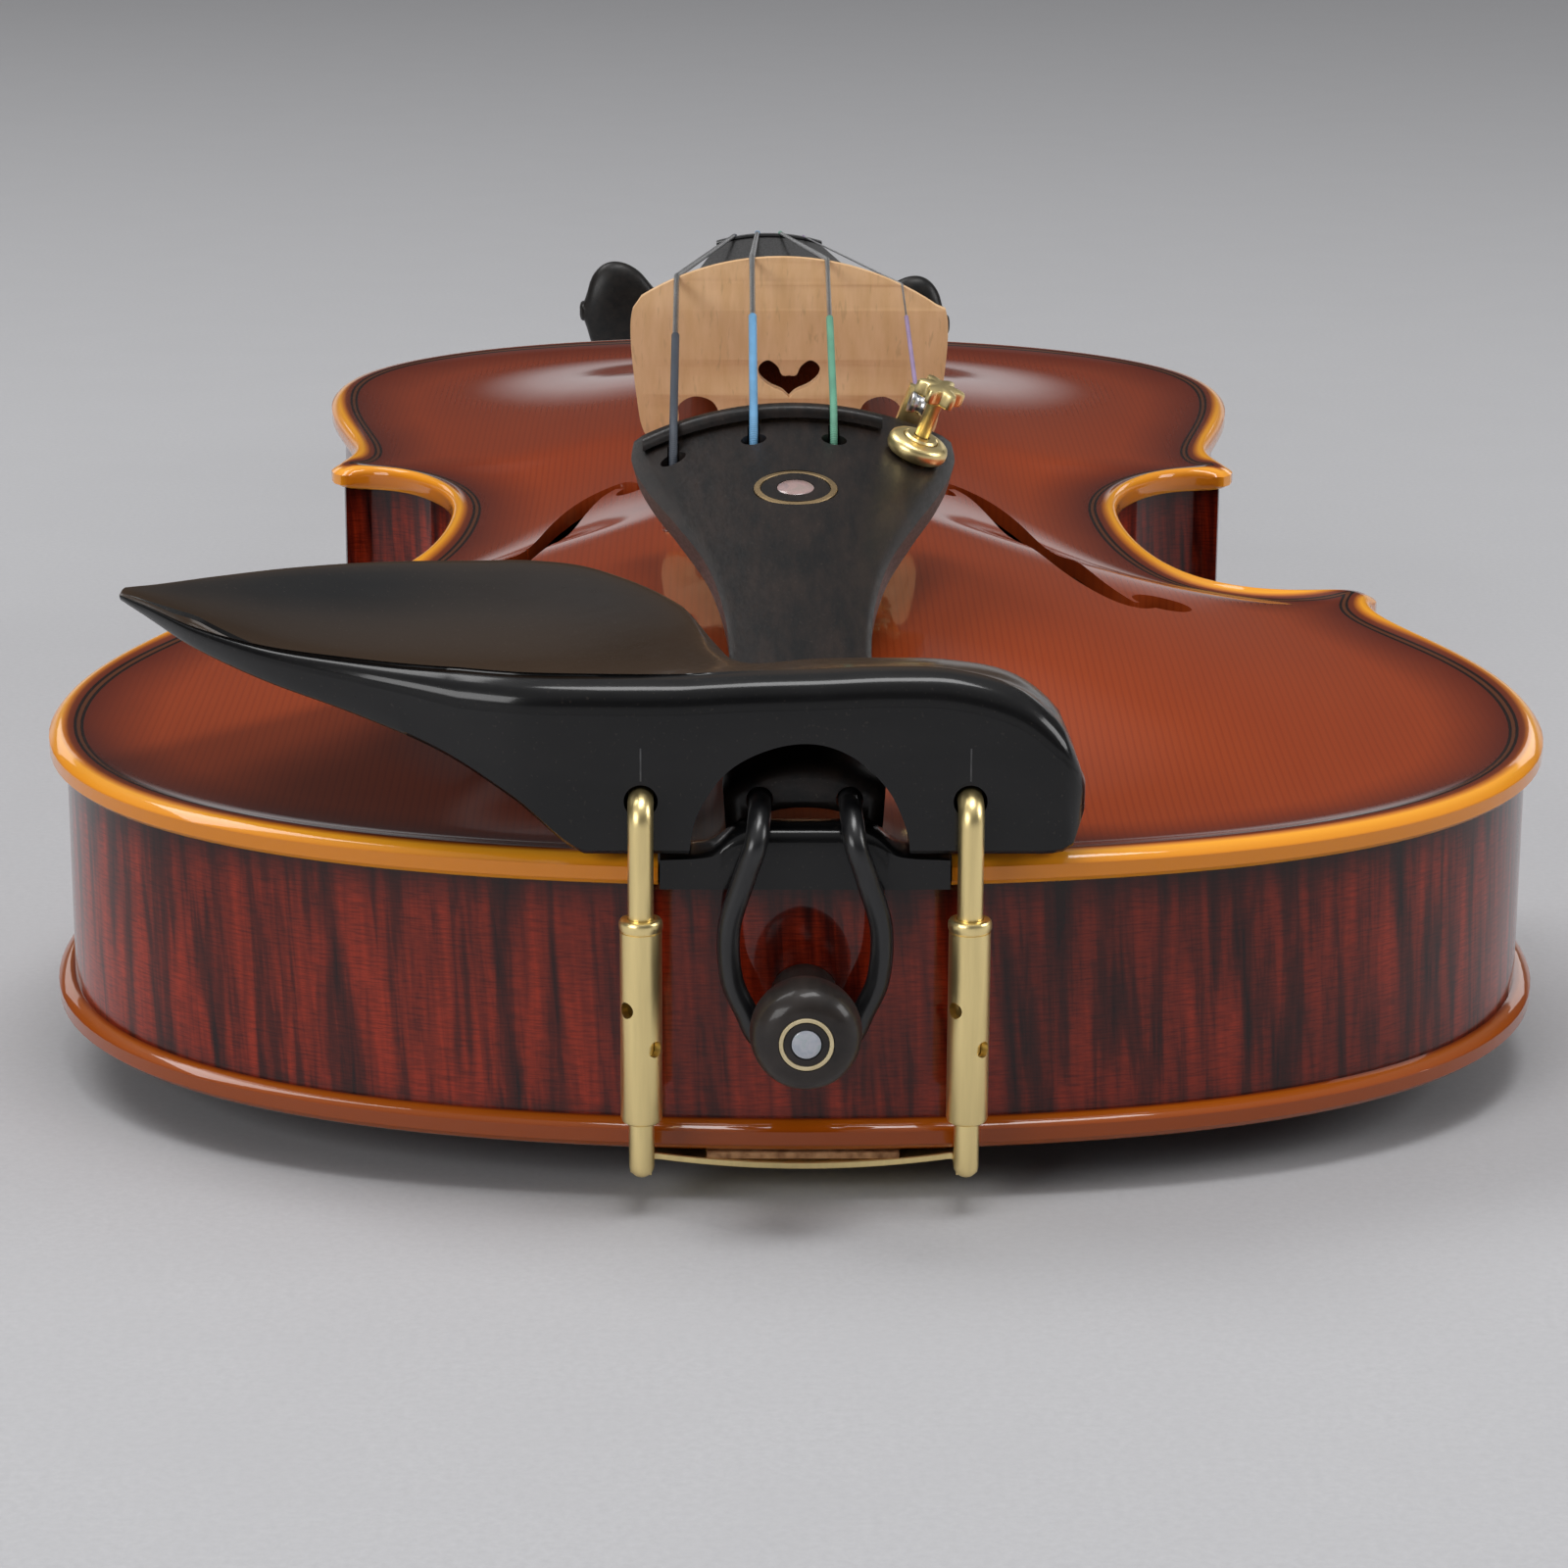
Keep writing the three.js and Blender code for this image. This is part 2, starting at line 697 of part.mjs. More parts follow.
function upperBlock() {
  const inner = bodyLength - overhang - ribThickness - upperBlockDepth;
  const body = endBlock(upperLine.slice(-topPoints), upperBlockWidth, inner, bodyLength);
  return cut(body, neckRoot(seam));
}

// Pieces that seat on the arched plates

const top = topPlate();
const back = backPlate();
const topOutside = (x, y) => surfaceAt(top, x, y, topCrownZ + overrun, -1);
const topInside = (x, y) => surfaceAt(top, x, y, midHeight, 1);
const backInside = (x, y) => surfaceAt(back, x, y, midHeight, -1);

const bassBarStations = 12;
const bassBarEndShare = 0.34;
const bassBarLeanShare = 0.012;

function bassBar() {
  const half = bassBarThickness / 2;
  const rings = Array.from({ length: bassBarStations + 1 }, (_, i) => {
    const share = i / bassBarStations;
    const y = bridgePlace + bassBarLength * (share - 0.46);
    const x = -bridgeFootSpan * 0.4 + (y - bridgePlace) * bassBarLeanShare;
    const fullness = bassBarEndShare + (1 - bassBarEndShare) * Math.sin(Math.PI * share);
    const ceiling = Math.min(topInside(x - half, y), topInside(x, y), topInside(x + half, y)) - seam * 2;
    const floor = ceiling - bassBarHeight * fullness;
    return [
      at(x - half, y, floor), at(x + half, y, floor), at(x + half, y, ceiling), at(x - half, y, ceiling),
    ];
  });
  return loft(rings);
}

function soundPost() {
  const x = bridgeFootSpan * 0.4;
  const y = bridgePlace - soundPostSetback;
  const radius = soundPostDiameter / 2;
  const rim = Array.from({ length: 8 }, (_, i) => i * Math.PI / 4)
    .map((turn) => [x + radius * Math.cos(turn), y + radius * Math.sin(turn)]);
  const floor = Math.max(...rim.map(([px, py]) => backInside(px, py))) + seam;
  const ceiling = Math.min(...rim.map(([px, py]) => topInside(px, py))) - seam;
  return cylinder(at(x, y, floor), at(x, y, ceiling), radius, 16);
}

// Saddle, let into the edge of the top plate: half outline as shares of its width and rise
const saddleShares = [[1, 0], [0.66, 0.2], [0.5, 0.8], [0.36, 1]];

function saddle() {
  const half = saddleWidth / 2;
  const humps = [0.7, 1, 1, 0.75];
  const fronts = [-seam, saddleDepth * 0.12, saddleDepth * 0.6, saddleDepth];
  const rings = fronts.map((y, row) => {
    const right = saddleShares.map(([across, up]) => at(half * across, y, topEdgeZ + saddleRise * up * humps[row]));
    const left = right.map((p) => at(-p.x, p.y, p.z)).reverse();
    return [at(half, y, ribTopZ + seam), ...right, ...left, at(-half, y, ribTopZ + seam)];
  });
  return loft(rings);
}

// Neck, pegbox and scroll, carved from one piece

// Section of the neck: flat on top, with an underside between round and boxy
function neckRing(y, halfWidth, depth, boxiness, taper) {
  const sides = 10;
  const power = 2 / boxiness;
  return Array.from({ length: sides + 1 }, (_, k) => {
    const turn = Math.PI * k / sides;
    const across = Math.sign(Math.cos(turn)) * Math.abs(Math.cos(turn)) ** power;
    const down = Math.sin(turn) ** power;
    return at(halfWidth * across * (1 - taper * down), y, neckPlane(y) - depth * down);
  });
}

// Heel profile: share of the way out along the neck, and share of the heel's extra depth left there
const heelCurveShares = [[0, 1], [0.09, 0.82], [0.18, 0.56], [0.33, 0.27], [0.6, 0.08], [1, 0]];
const heelCurveLength = 24;

function neckShaft() {
  const heelEnd = bodyLength + buttonReach - edgeRounding;
  const rootStart = bodyLength - overhang - neckMortise;
  const heelDepth = (y) => neckPlane(y) - ribBottomZ - seam;
  const straightEnd = heelEnd + heelCurveLength;
  const width = (y) => {
    const share = THREE.MathUtils.clamp((y - bodyLength) / neckLength, 0, 1);
    return THREE.MathUtils.lerp(neckWidthAtHeel, neckWidthAtNut, share);
  };
  const slim = (y) => {
    const share = THREE.MathUtils.clamp((y - straightEnd) / (nutPlace - straightEnd), 0, 1);
    return THREE.MathUtils.lerp(neckDepthAtHeel, neckDepthAtNut, share);
  };
  const section = (y, heelShare) => {
    const depth = THREE.MathUtils.lerp(slim(y), heelDepth(y), heelShare);
    return neckRing(y, width(y) / 2, depth, 2.3 + 3 * heelShare, 0.34 * heelShare);
  };
  const rings = [section(rootStart, 1), section(bodyLength, 1)];
  heelCurveShares.forEach(([along, heelShare]) => {
    rings.push(section(heelEnd + heelCurveLength * along, heelShare));
  });
  rings.push(section((straightEnd + nutPlace) / 2, 0), section(nutPlace + nutDepth / 2, 0));
  return loft(rings);
}

// The socket that the neck's root leaves in the block, the ribs and the top plate
function neckRoot(clearance) {
  const start = bodyLength - overhang - neckMortise - clearance;
  const high = neckWidthAtHeel / 2 + clearance;
  const low = high * 0.8 + clearance;
  const bottom = ribLowZ - overrun;
  const ceiling = topEdgeZ + overstand + overrun;
  return loft([start, bodyLength + overrun].map((y) => [
    at(-low, y, bottom), at(low, y, bottom), at(high, y, midHeight), at(high, y, ceiling),
    at(-high, y, ceiling), at(-high, y, midHeight),
  ]));
}

// Pegbox side view, as shares of the head's length from the nut: along, top edge and back edge
const pegboxShares = [
  [-0.03, 0.001, -0.12], [0.02, -0.006, -0.17], [0.07, -0.024, -0.212], [0.17, -0.066, -0.276],
  [0.31, -0.124, -0.352], [0.45, -0.19, -0.43], [0.54, -0.25, -0.474], [0.6, -0.32, -0.502],
  [0.66, -0.39, -0.528], [0.7, -0.43, -0.535], [0.77, -0.47, -0.537],
];
const pegboxStart = neckPlane(headStart);
const pegboxEnd = 0.56;

function pegboxAlong(y, column) {
  const last = pegboxShares[pegboxShares.length - 1][0];
  const share = Math.min((y - headStart) / headLength, last);
  const next = pegboxShares.findIndex((row) => row[0] >= share);
  const row = Math.max(next, 1);
  const low = pegboxShares[row - 1];
  const high = pegboxShares[row];
  const part = (share - low[0]) / (high[0] - low[0]);
  return pegboxStart + headLength * THREE.MathUtils.lerp(low[column], high[column], part);
}

function widthAlong(y, wide, narrow) {
  const share = THREE.MathUtils.clamp((y - headStart) / (headLength * pegboxEnd), 0, 1);
  return THREE.MathUtils.lerp(wide, narrow, share);
}

const pegboxTop = (y) => pegboxAlong(y, 1);
const pegboxBack = (y) => pegboxAlong(y, 2);

function pegbox() {
  const rings = pegboxShares.map(([along]) => {
    const y = headStart + along * headLength;
    const half = along < 0 ? neckWidthAtNut / 2 : widthAlong(y, pegboxWidth, throatWidth) / 2;
    const high = pegboxTop(y);
    const low = pegboxBack(y);
    return [
      at(half, y, high), at(half, y, low + fluteDepth), at(half * 0.9, y, low), at(half / 2, y, low + fluteDepth),
      at(0, y, low), at(-half / 2, y, low + fluteDepth), at(-half * 0.9, y, low), at(-half, y, low + fluteDepth),
      at(-half, y, high),
    ];
  });
  const channelStart = headStart + 1.5 * edgeRounding;
  const channelEnd = headStart + headLength * 0.572;
  const steps = 5;
  const channel = Array.from({ length: steps + 1 }, (_, i) => {
    const y = THREE.MathUtils.lerp(channelStart, channelEnd, i / steps);
    const half = widthAlong(y, pegboxChannelWidth, throatChannelWidth) / 2;
    const low = pegboxBack(y) + pegboxWall;
    const high = pegboxTop(y) + overrun;
    return [at(-half, y, low), at(half, y, low), at(half, y, high), at(-half, y, high)];
  });
  return cut(loft(rings), loft(channel));
}

const eyePlace = nutPlace + headLength - scrollRadius;
const eyeHeight = neckPlane(eyePlace) - scrollDrop;

// The volute: wedges between the eye and a rim that spirals inwards while it widens
function volute() {
  const stepsPerTurn = 14;
  const first = -Math.round(scrollLead * stepsPerTurn);
  const last = Math.round(scrollTurns * stepsPerTurn);
  const radius = (i) => scrollRadius * (scrollEyeRadius / scrollRadius) ** (i / last);
  const halfWidth = (i) => (i < 0
    ? THREE.MathUtils.lerp(scrollCrestWidth, throatWidth, i / first) / 2
    : THREE.MathUtils.lerp(scrollCrestWidth, scrollEyeWidth, i / last) / 2);
  const slice = (i) => {
    const turn = i / stepsPerTurn * 2 * Math.PI;
    const half = halfWidth(i);
    const flute = Math.min(fluteDepth, radius(i) * 0.08);
    const centre = radius(i);
    return [
      [-1, centre], [-1, flute], [-0.86, 0], [-0.45, flute], [0, 0], [0.45, flute], [0.86, 0], [1, flute],
      [1, centre],
    ].map(([across, dip]) => at(
      half * across,
      eyePlace + (centre - dip) * Math.cos(turn),
      eyeHeight + (centre - dip) * Math.sin(turn),
    ));
  };
  let solid = toSolid(turned([
    [0, -scrollEyeWidth / 2 - edgeRounding / 2], [scrollEyeRadius * 0.7, -scrollEyeWidth / 2 - edgeRounding / 4],
    [scrollEyeRadius, -scrollEyeWidth / 2 + edgeRounding / 2], [scrollEyeRadius, scrollEyeWidth / 2 - edgeRounding / 2],
    [scrollEyeRadius * 0.7, scrollEyeWidth / 2 + edgeRounding / 4], [0, scrollEyeWidth / 2 + edgeRounding / 2],
  ], 'x', 14).translate(0, eyePlace, eyeHeight));
  for (let i = first; i < last; i += 1) {
    solid = solid.add(toSolid(loft([slice(i), slice(i + 1)])));
  }
  return toGeometry(largest(solid));
}

// Pegs. Heads of the G and D pegs stand to the bass side, those of the A and E pegs to the treble side.

const pegNames = ['g', 'd', 'a', 'e'];
const pegOrder = [0, 2, 3, 1];
const pegSides = [-1, -1, 1, 1];
const pegPlace = (i) => headStart + firstPegPlace + pegOrder[i] * pegSpacing;
const pegHeight = (i) => pegboxTop(pegPlace(i)) - pegDepth;
const cheekFace = (i) => widthAlong(pegPlace(i), pegboxWidth, throatWidth) / 2;

// Peg radius inside the pegbox, by distance from its narrow end
function pegShaftRadius(i, x) {
  const face = cheekFace(i);
  const share = (x * pegSides[i] + face) / (2 * face);
  return THREE.MathUtils.lerp(pegTipDiameter, pegShaftDiameter, share) / 2;
}

const pegCollarShares = [[0, 0.98], [0.02, 1.4], [0.1, 1.46], [0.17, 1.36], [0.21, 0.9], [0.28, 0.72]];
const pegHeadShares = [
  [0.36, 0.44, 0.8], [0.5, 0.82, 0.9], [0.66, 1, 1], [0.8, 0.94, 1], [0.9, 0.66, 0.86], [0.95, 0.26, 0.62],
  [0.97, 0.2, 0.6], [1, 0.14, 0.4],
];

function peg(i) {
  const side = pegSides[i];
  const face = cheekFace(i);
  const sides = 12;
  const ring = (out, halfHeight, halfThickness) => Array.from({ length: sides }, (_, k) => {
    const turn = (k + 1 / 2) * 2 * Math.PI / sides;
    return at(
      side * out,
      pegPlace(i) + halfThickness * Math.cos(turn),
      pegHeight(i) + halfHeight * Math.sin(turn),
    );
  });
  const tip = -face - edgeRounding;
  const collar = face + overhang * 1.5;
  const round = (out, radius) => ring(out, radius, radius);
  const rings = [
    round(tip, pegTipDiameter / 2 - edgeRounding / 4),
    round(-face, pegTipDiameter / 2),
    round(face, pegShaftDiameter / 2),
    ...pegCollarShares.map(([out, share]) => round(collar + out * pegReach, pegShaftDiameter / 2 * share)),
    ...pegHeadShares.map(([out, high, thick]) => ring(
      collar + out * pegReach,
      pegHeadHeight / 2 * high,
      pegHeadThickness / 2 * thick,
    )),
  ];
  return loft(rings);
}

// Tapered hole through both cheeks; its flats clear the peg all the way round
function pegHole(i) {
  const sides = 12;
  const ease = 1 / Math.cos(Math.PI / sides);
  const face = cheekFace(i);
  const radius = (x) => (pegShaftRadius(i, x) + runningFit) * ease;
  const ends = [-face - overrun, face + overrun];
  return tube(ends.map((x) => at(x, pegPlace(i), pegHeight(i))), ends.map(radius), sides);
}

function neckAndScroll() {
  const carved = join(neckShaft(), pegbox(), volute());
  return cut(carved, ...pegNames.map((_, i) => pegHole(i)));
}

// Fingerboard, glued on the neck and hollowed under its free end

const fingerboardStart = nutPlace - fingerboardLength;

function crownDrop(radius, halfWidth, x) {
  return Math.sqrt(radius ** 2 - x ** 2) - Math.sqrt(radius ** 2 - halfWidth ** 2);
}

function fingerboardWidth(y) {
  return THREE.MathUtils.lerp(fingerboardEndWidth, neckWidthAtNut, (y - fingerboardStart) / fingerboardLength);
}

function fingerboardSurface(x, y) {
  const half = fingerboardWidth(y) / 2;
  return neckPlane(y) + seam + fingerboardEdge + crownDrop(fingerboardRadius, half, x);
}

function fingerboard() {
  const places = [0, 0.2, 0.42, 0.52, 0.75, 1].map((share) => fingerboardStart + fingerboardLength * share);
  const acrossShares = [-1, -0.75, -0.4, 0, 0.4, 0.75, 1];
  const underShares = [0.72, 0.4, 0, -0.4, -0.72];
  const rings = places.map((y) => {
    const half = fingerboardWidth(y) / 2;
    const glued = y > bodyLength - overhang;
    const hollow = glued ? runningFit : fingerboardHollow;
    const upper = acrossShares.map((share) => at(half * share, y, fingerboardSurface(half * share, y)));
    const base = neckPlane(y) + seam;
    const under = underShares.map((share) => at(half * share, y, base + hollow * (1 - share ** 2)));
    return [...upper, at(half, y, base), ...under, at(-half, y, base)];
  });
  return loft(rings);
}

// Strings from tailpiece to pegs

const fromSpan = (span) => stringSpacingShares.map((share) => share * span);
const bridgeX = fromSpan(stringSpanAtBridge);
const nutX = fromSpan(stringSpanAtNut);
const tailX = fromSpan(stringSpanAtTailpiece);
const stringRadii = stringDiameters.map((diameter) => diameter / 2);
const bridgeFoot = topOutside(0, bridgePlace);

function bridgeSurface(x) {
  const crown = bridgeFoot + bridgeHeight;
  return crown - crownDrop(bridgeCrownRadius, 0, 0) + crownDrop(bridgeCrownRadius, 0, x) - bridgeTreblelean * x;
}

const nutSurface = (x) => fingerboardSurface(x, nutPlace) + nutHeight;

// Tailpiece: half outline as shares of its length and of half its width
const tailpieceShares = [
  [0, 0.4], [0.02, 0.43], [0.1, 0.41], [0.28, 0.39], [0.42, 0.42], [0.56, 0.52], [0.7, 0.7], [0.83, 0.88],
  [0.94, 0.99], [1, 0.98],
];
const tailpieceEnd = tailpieceStart + tailpieceLength;
const tailpieceSlope = (tailpieceFrontHeight - tailpieceEndHeight) / tailpieceLength;
const tailpieceNarrowRadius = 15;

function tailpieceHalf(y) {
  const share = THREE.MathUtils.clamp((y - tailpieceStart) / tailpieceLength, 0, 1);
  const next = Math.max(tailpieceShares.findIndex((row) => row[0] >= share), 1);
  const low = tailpieceShares[next - 1];
  const high = tailpieceShares[next];
  const part = (share - low[0]) / (high[0] - low[0]);
  return tailpieceWidth / 2 * THREE.MathUtils.lerp(low[1], high[1], part);
}

function tailpieceSurface(x, y) {
  const share = THREE.MathUtils.clamp((y - tailpieceStart) / tailpieceLength, 0, 1);
  const radius = THREE.MathUtils.lerp(tailpieceNarrowRadius, tailpieceCrownRadius, share);
  const middle = tailpieceEndHeight + tailpieceSlope * (y - tailpieceStart);
  return middle - radius + Math.sqrt(radius ** 2 - x ** 2);
}

const fretPlace = tailpieceEnd - tailpieceFretSetback;
const holePlace = fretPlace - tailpieceFretSetback;
const gutHeight = tailpieceEndHeight - tailpieceThickness / 2 - edgeRounding;
const pocketStart = tailpieceStart + gutPocketSetback;
const pocketEnd = pocketStart + gutPocketLength;
const gutHoleX = gutSpanAtSaddle / 2;
const gutNutRadius = gutDiameter * 0.72;
const tunerX = tailX[3];
const tunerPlace = tailpieceEnd - tunerSetback;

// Frame of the fine tuner: on the tailpiece's surface, with its third axis square to it
function tunerFrame() {
  const slope = Math.atan(tailpieceSlope);
  const lean = Math.asin(tunerX / tailpieceCrownRadius);
  const turn = new THREE.Matrix4().makeRotationX(slope)
    .multiply(new THREE.Matrix4().makeRotationY(lean));
  const place = at(tunerX, tunerPlace, tailpieceSurface(tunerX, tunerPlace));
  return new THREE.Matrix4().makeTranslation(place).multiply(turn);
}

function tailpiece() {
  const rings = tailpieceShares.map(([along, wide]) => {
    const y = tailpieceStart + tailpieceLength * along;
    const half = tailpieceWidth / 2 * wide;
    const across = [-1, -0.7, -0.35, 0, 0.35, 0.7, 1];
    const soft = along === 0 ? edgeRounding : 0;
    const thinning = THREE.MathUtils.lerp(0.12, 0.5, along);
    const upper = across.map((share) => at(half * share, y, tailpieceSurface(half * share, y) - soft));
    const under = across.slice().reverse().map((share) => {
      const x = half * share * 0.97;
      return at(x, y, tailpieceSurface(half * share, y) - tailpieceThickness * (1 - thinning * share ** 2) + soft);
    });
    return [...upper, ...under];
  });
  const holes = tailX.slice(0, 3).flatMap((x, i) => {
    const high = tailpieceSurface(x, holePlace) + overrun;
    const low = high - overrun - tailpieceThickness * 2;
    const slot = stringRadii[i] + silkThickness + seam;
    return [
      cylinder(at(x, holePlace, low), at(x, holePlace, high), ballDiameter / 2 - seam, 12),
      block(at(x - slot, holePlace, low), at(x + slot, fretPlace - tailpieceFretRise, high)),
    ];
  });
  const gutHoles = [-1, 1].map((side) => cylinder(
    at(side * gutHoleX, tailpieceStart - overrun, gutHeight),
    at(side * gutHoleX, pocketEnd - seam, gutHeight),
    gutDiameter / 2 + seam,
    12,
  ));
  const pocket = block(
    at(-gutHoleX - gutDiameter, pocketStart, gutHeight - overrun * 2),
    at(gutHoleX + gutDiameter, pocketEnd, gutHeight + gutNutRadius + seam),
  );
  const recess = turned([
    [eyeRingDiameter / 2 - eyeRingWidth - seam, -edgeRounding], [eyeRingDiameter / 2 + seam, -edgeRounding],
    [eyeRingDiameter / 2 + seam, overrun], [eyeRingDiameter / 2 - eyeRingWidth - seam, overrun],
    [eyeRingDiameter / 2 - eyeRingWidth - seam, -edgeRounding],
  ], 'z', 24).applyMatrix4(eyeFrame());
  const dot = turned([
    [0, -edgeRounding], [eyePearlDiameter / 2 + seam, -edgeRounding], [eyePearlDiameter / 2 + seam, overrun],
    [0, overrun],
  ], 'z', 16).applyMatrix4(eyeFrame());
  const tunerBore = cylinder(
    at(0, 0, -tailpieceThickness * 2),
    at(0, 0, overrun),
    tunerPostDiameter / 2 + seam,
    14,
  ).applyMatrix4(tunerFrame());
  return cut(loft(rings), ...holes, ...gutHoles, pocket, recess, dot, tunerBore);
}

// Frame of the inlaid eye on the middle of the tailpiece
const eyePlaceOnTailpiece = tailpieceStart + tailpieceLength * 0.735;

function eyeFrame() {
  const y = eyePlaceOnTailpiece;
  return new THREE.Matrix4().makeTranslation(at(0, y, tailpieceSurface(0, y)))
    .multiply(new THREE.Matrix4().makeRotationX(Math.atan(tailpieceSlope)));
}

function eyeRing() {
  const outer = eyeRingDiameter / 2;
  const inner = outer - eyeRingWidth;
  const bottom = seam - edgeRounding;
  const lift = runningFit - outer ** 2 / (2 * tailpieceCrownRadius);
  return turned([[inner, bottom], [outer, bottom], [outer, lift], [inner, lift], [inner, bottom]], 'z', 24)
    .applyMatrix4(eyeFrame());
}

function eyePearl() {
  const radius = eyePearlDiameter / 2;
  return turned([[0, seam - edgeRounding], [radius, seam - edgeRounding], [radius, 0], [0, runningFit]], 'z', 16)
    .applyMatrix4(eyeFrame());
}

function tailpieceFret() {
  const half = tailpieceHalf(fretPlace) * 0.93;
  const across = [-1, -0.6, -0.2, 0.2, 0.6, 1];
  const width = tailpieceFretRise * 0.7;
  const low = (x) => tailpieceSurface(x, fretPlace - width) + seam + tailpieceSlope * width * 2;
  const notch = tunerPostDiameter * 0.9;
  const end = Math.min(half, tunerX - notch);
  return loft(across.map((share) => {
    const x = THREE.MathUtils.lerp(-half, end, (share + 1) / 2);
    const high = low(x) + tailpieceFretRise;
    return [
      at(x, fretPlace - width, low(x)), at(x, fretPlace + width, low(x)),
      at(x, fretPlace + width / 2, high), at(x, fretPlace - width / 2, high),
    ];
  }));
}

// Distance from the middle of the pegbox at which a string lands on its peg
function windingRoom(i) {
  const silk = stringRadii[i] + silkThickness;
  return widthAlong(pegPlace(i), pegboxChannelWidth, throatChannelWidth) / 2 - silk - seam * 3;
}

// Centre line of a string from behind its tailpiece stop to its peg
function stringPath(i) {
  const radius = stringRadii[i];
  const silk = radius + silkThickness;
  const landing = pegSides[i] * windingRoom(i);
  const peg = at(landing, pegPlace(i), pegHeight(i) + pegShaftRadius(i, landing) + silk + seam);
  const overBridge = at(bridgeX[i], bridgePlace, bridgeSurface(bridgeX[i]) + radius / 2);
  const overNut = at(nutX[i], nutPlace + nutDepth / 4, nutSurface(nutX[i]) + radius / 2);
  const behindNut = at(nutX[i] * 0.96, headStart + seam, nutSurface(nutX[i]) - nutHeight);
  const start = i < 3 ? tailStart(i, silk) : [tunerHook().setX(tunerHook().x)];
  const first = start[start.length - 1];
  const wrapEnd = first.clone().lerp(overBridge, silkLength / first.distanceTo(overBridge));
  const bare = wrapEnd.clone().lerp(overBridge, 0.04);
  return {
    points: [...start, wrapEnd, bare, overBridge, overNut, behindNut, peg],
    radii: [...start.map(() => silk), silk, radius, radius, radius, silk, silk],
  };
}

function tailStart(i, silk) {
  const x = tailX[i];
  const overFret = tailpieceSurface(x, fretPlace) + tailpieceFretRise + silk + seam * 3;
  const outerX = Math.abs(x) + ballLength / 2 + seam;
  return [
    at(x, holePlace, tailpieceSurface(outerX, holePlace) - tailpieceThickness - ballDiameter / 2 - seam),
    at(x, holePlace + silk, tailpieceSurface(x, holePlace) - tailpieceThickness / 2),
    at(x, holePlace + silk * 3, tailpieceSurface(x, holePlace) + silk),
    at(x, fretPlace - tailpieceFretRise * 0.6, overFret - seam / 2),
    at(x, fretPlace, overFret),
  ];
}

function violinString(i) {
  const { points, radii } = stringPath(i);
  const line = tube(points, radii, 6);
  if (i === 3) return line;
  const ball = points[0];
  const half = ballLength / 2;
  const drum = cylinder(at(ball.x - half, ball.y, ball.z), at(ball.x + half, ball.y, ball.z), ballDiameter / 2, 10);
  return join(line, drum);
}

// Turns of a string on its peg: one unbroken helix that starts beside the place where the string lands
function winding(i) {
  const silk = stringRadii[i] + silkThickness;
  const pitch = 2 * silk + windingGap;
  const stepsPerTurn = 12;
  const steps = Math.round(windingTurns * stepsPerTurn);
  const path = Array.from({ length: steps + 1 }, (_, k) => {
    const turn = k / stepsPerTurn * 2 * Math.PI;
    const x = pegSides[i] * (windingRoom(i) - pitch * (1 + k / stepsPerTurn));
    const radius = pegShaftRadius(i, x) + silk + seam;
    return at(x, pegPlace(i) + radius * Math.sin(turn), pegHeight(i) + radius * Math.cos(turn));
  });
  reportGap(`${pegNames[i]} winding`, path, silk, stepsPerTurn);
  return tube(path, silk, 5);
}

// Prints the least distance between the surfaces of neighbouring turns
function reportGap(label, path, radius, stepsPerTurn) {
  let least = Infinity;
  path.forEach((p, k) => {
    for (let other = k + Math.round(stepsPerTurn * 0.6); other < path.length; other += 1) {
      least = Math.min(least, p.distanceTo(path[other]) - 2 * radius);
    }
  });
  console.log(`${label}: least gap between turns ${least.toFixed(2)} mm`);
}

// Nut, with a groove under each string
function nut() {
  const half = neckWidthAtNut / 2;
  const across = [-1, -0.6, -0.2, 0.2, 0.6, 1];
  const rings = across.map((share) => {
    const x = half * share;
    const high = nutSurface(x);
    const low = neckPlane(nutPlace) + seam;
    const rear = headStart - runningFit;
    const front = nutPlace + seam;
    return [
      at(x, front, low), at(x, rear, low), at(x, rear, high - 2 * nutHeight), at(x, (front + rear) / 2, high),
      at(x, front, high),
    ];
  });
  return cut(loft(rings), ...grooveCutters());
}

// Clearance tubes along the strings, which leave the grooves in nut and bridge
function grooveCutters() {
  return stringDiameters.map((_, i) => {
    const { points, radii } = stringPath(i);
    const from = points.length - 5;
    return tube(points.slice(from, from + 4), radii.slice(from, from + 4).map((radius) => radius + runningFit), 8);
  });
}

// Bridge: half outline above the feet and half of the heart, as shares of half its width and of its height
const bridgeSideShares = [
  [0.985, 0.78], [1, 0.72], [0.995, 0.6], [0.965, 0.42], [0.93, 0.28], [0.86, 0.215], [0.76, 0.235], [0.7, 0.3],
  [0.7, 0.37], [0.6, 0.41], [0.48, 0.385], [0.44, 0.31], [0.5, 0.24], [0.6, 0.195], [0.62, 0.15], [0.64, 0.115],
  [0.84, 0.085],
];
const bridgeArchShares = [[0.4, 0.105], [0.34, 0.17], [0.21, 0.22], [0, 0.24]];
const bridgeHeartShares = [
  [0, 0.5], [0.045, 0.505], [0.075, 0.545], [0.135, 0.565], [0.19, 0.54], [0.185, 0.49], [0.12, 0.445],
  [0.04, 0.415], [0, 0.385],
];

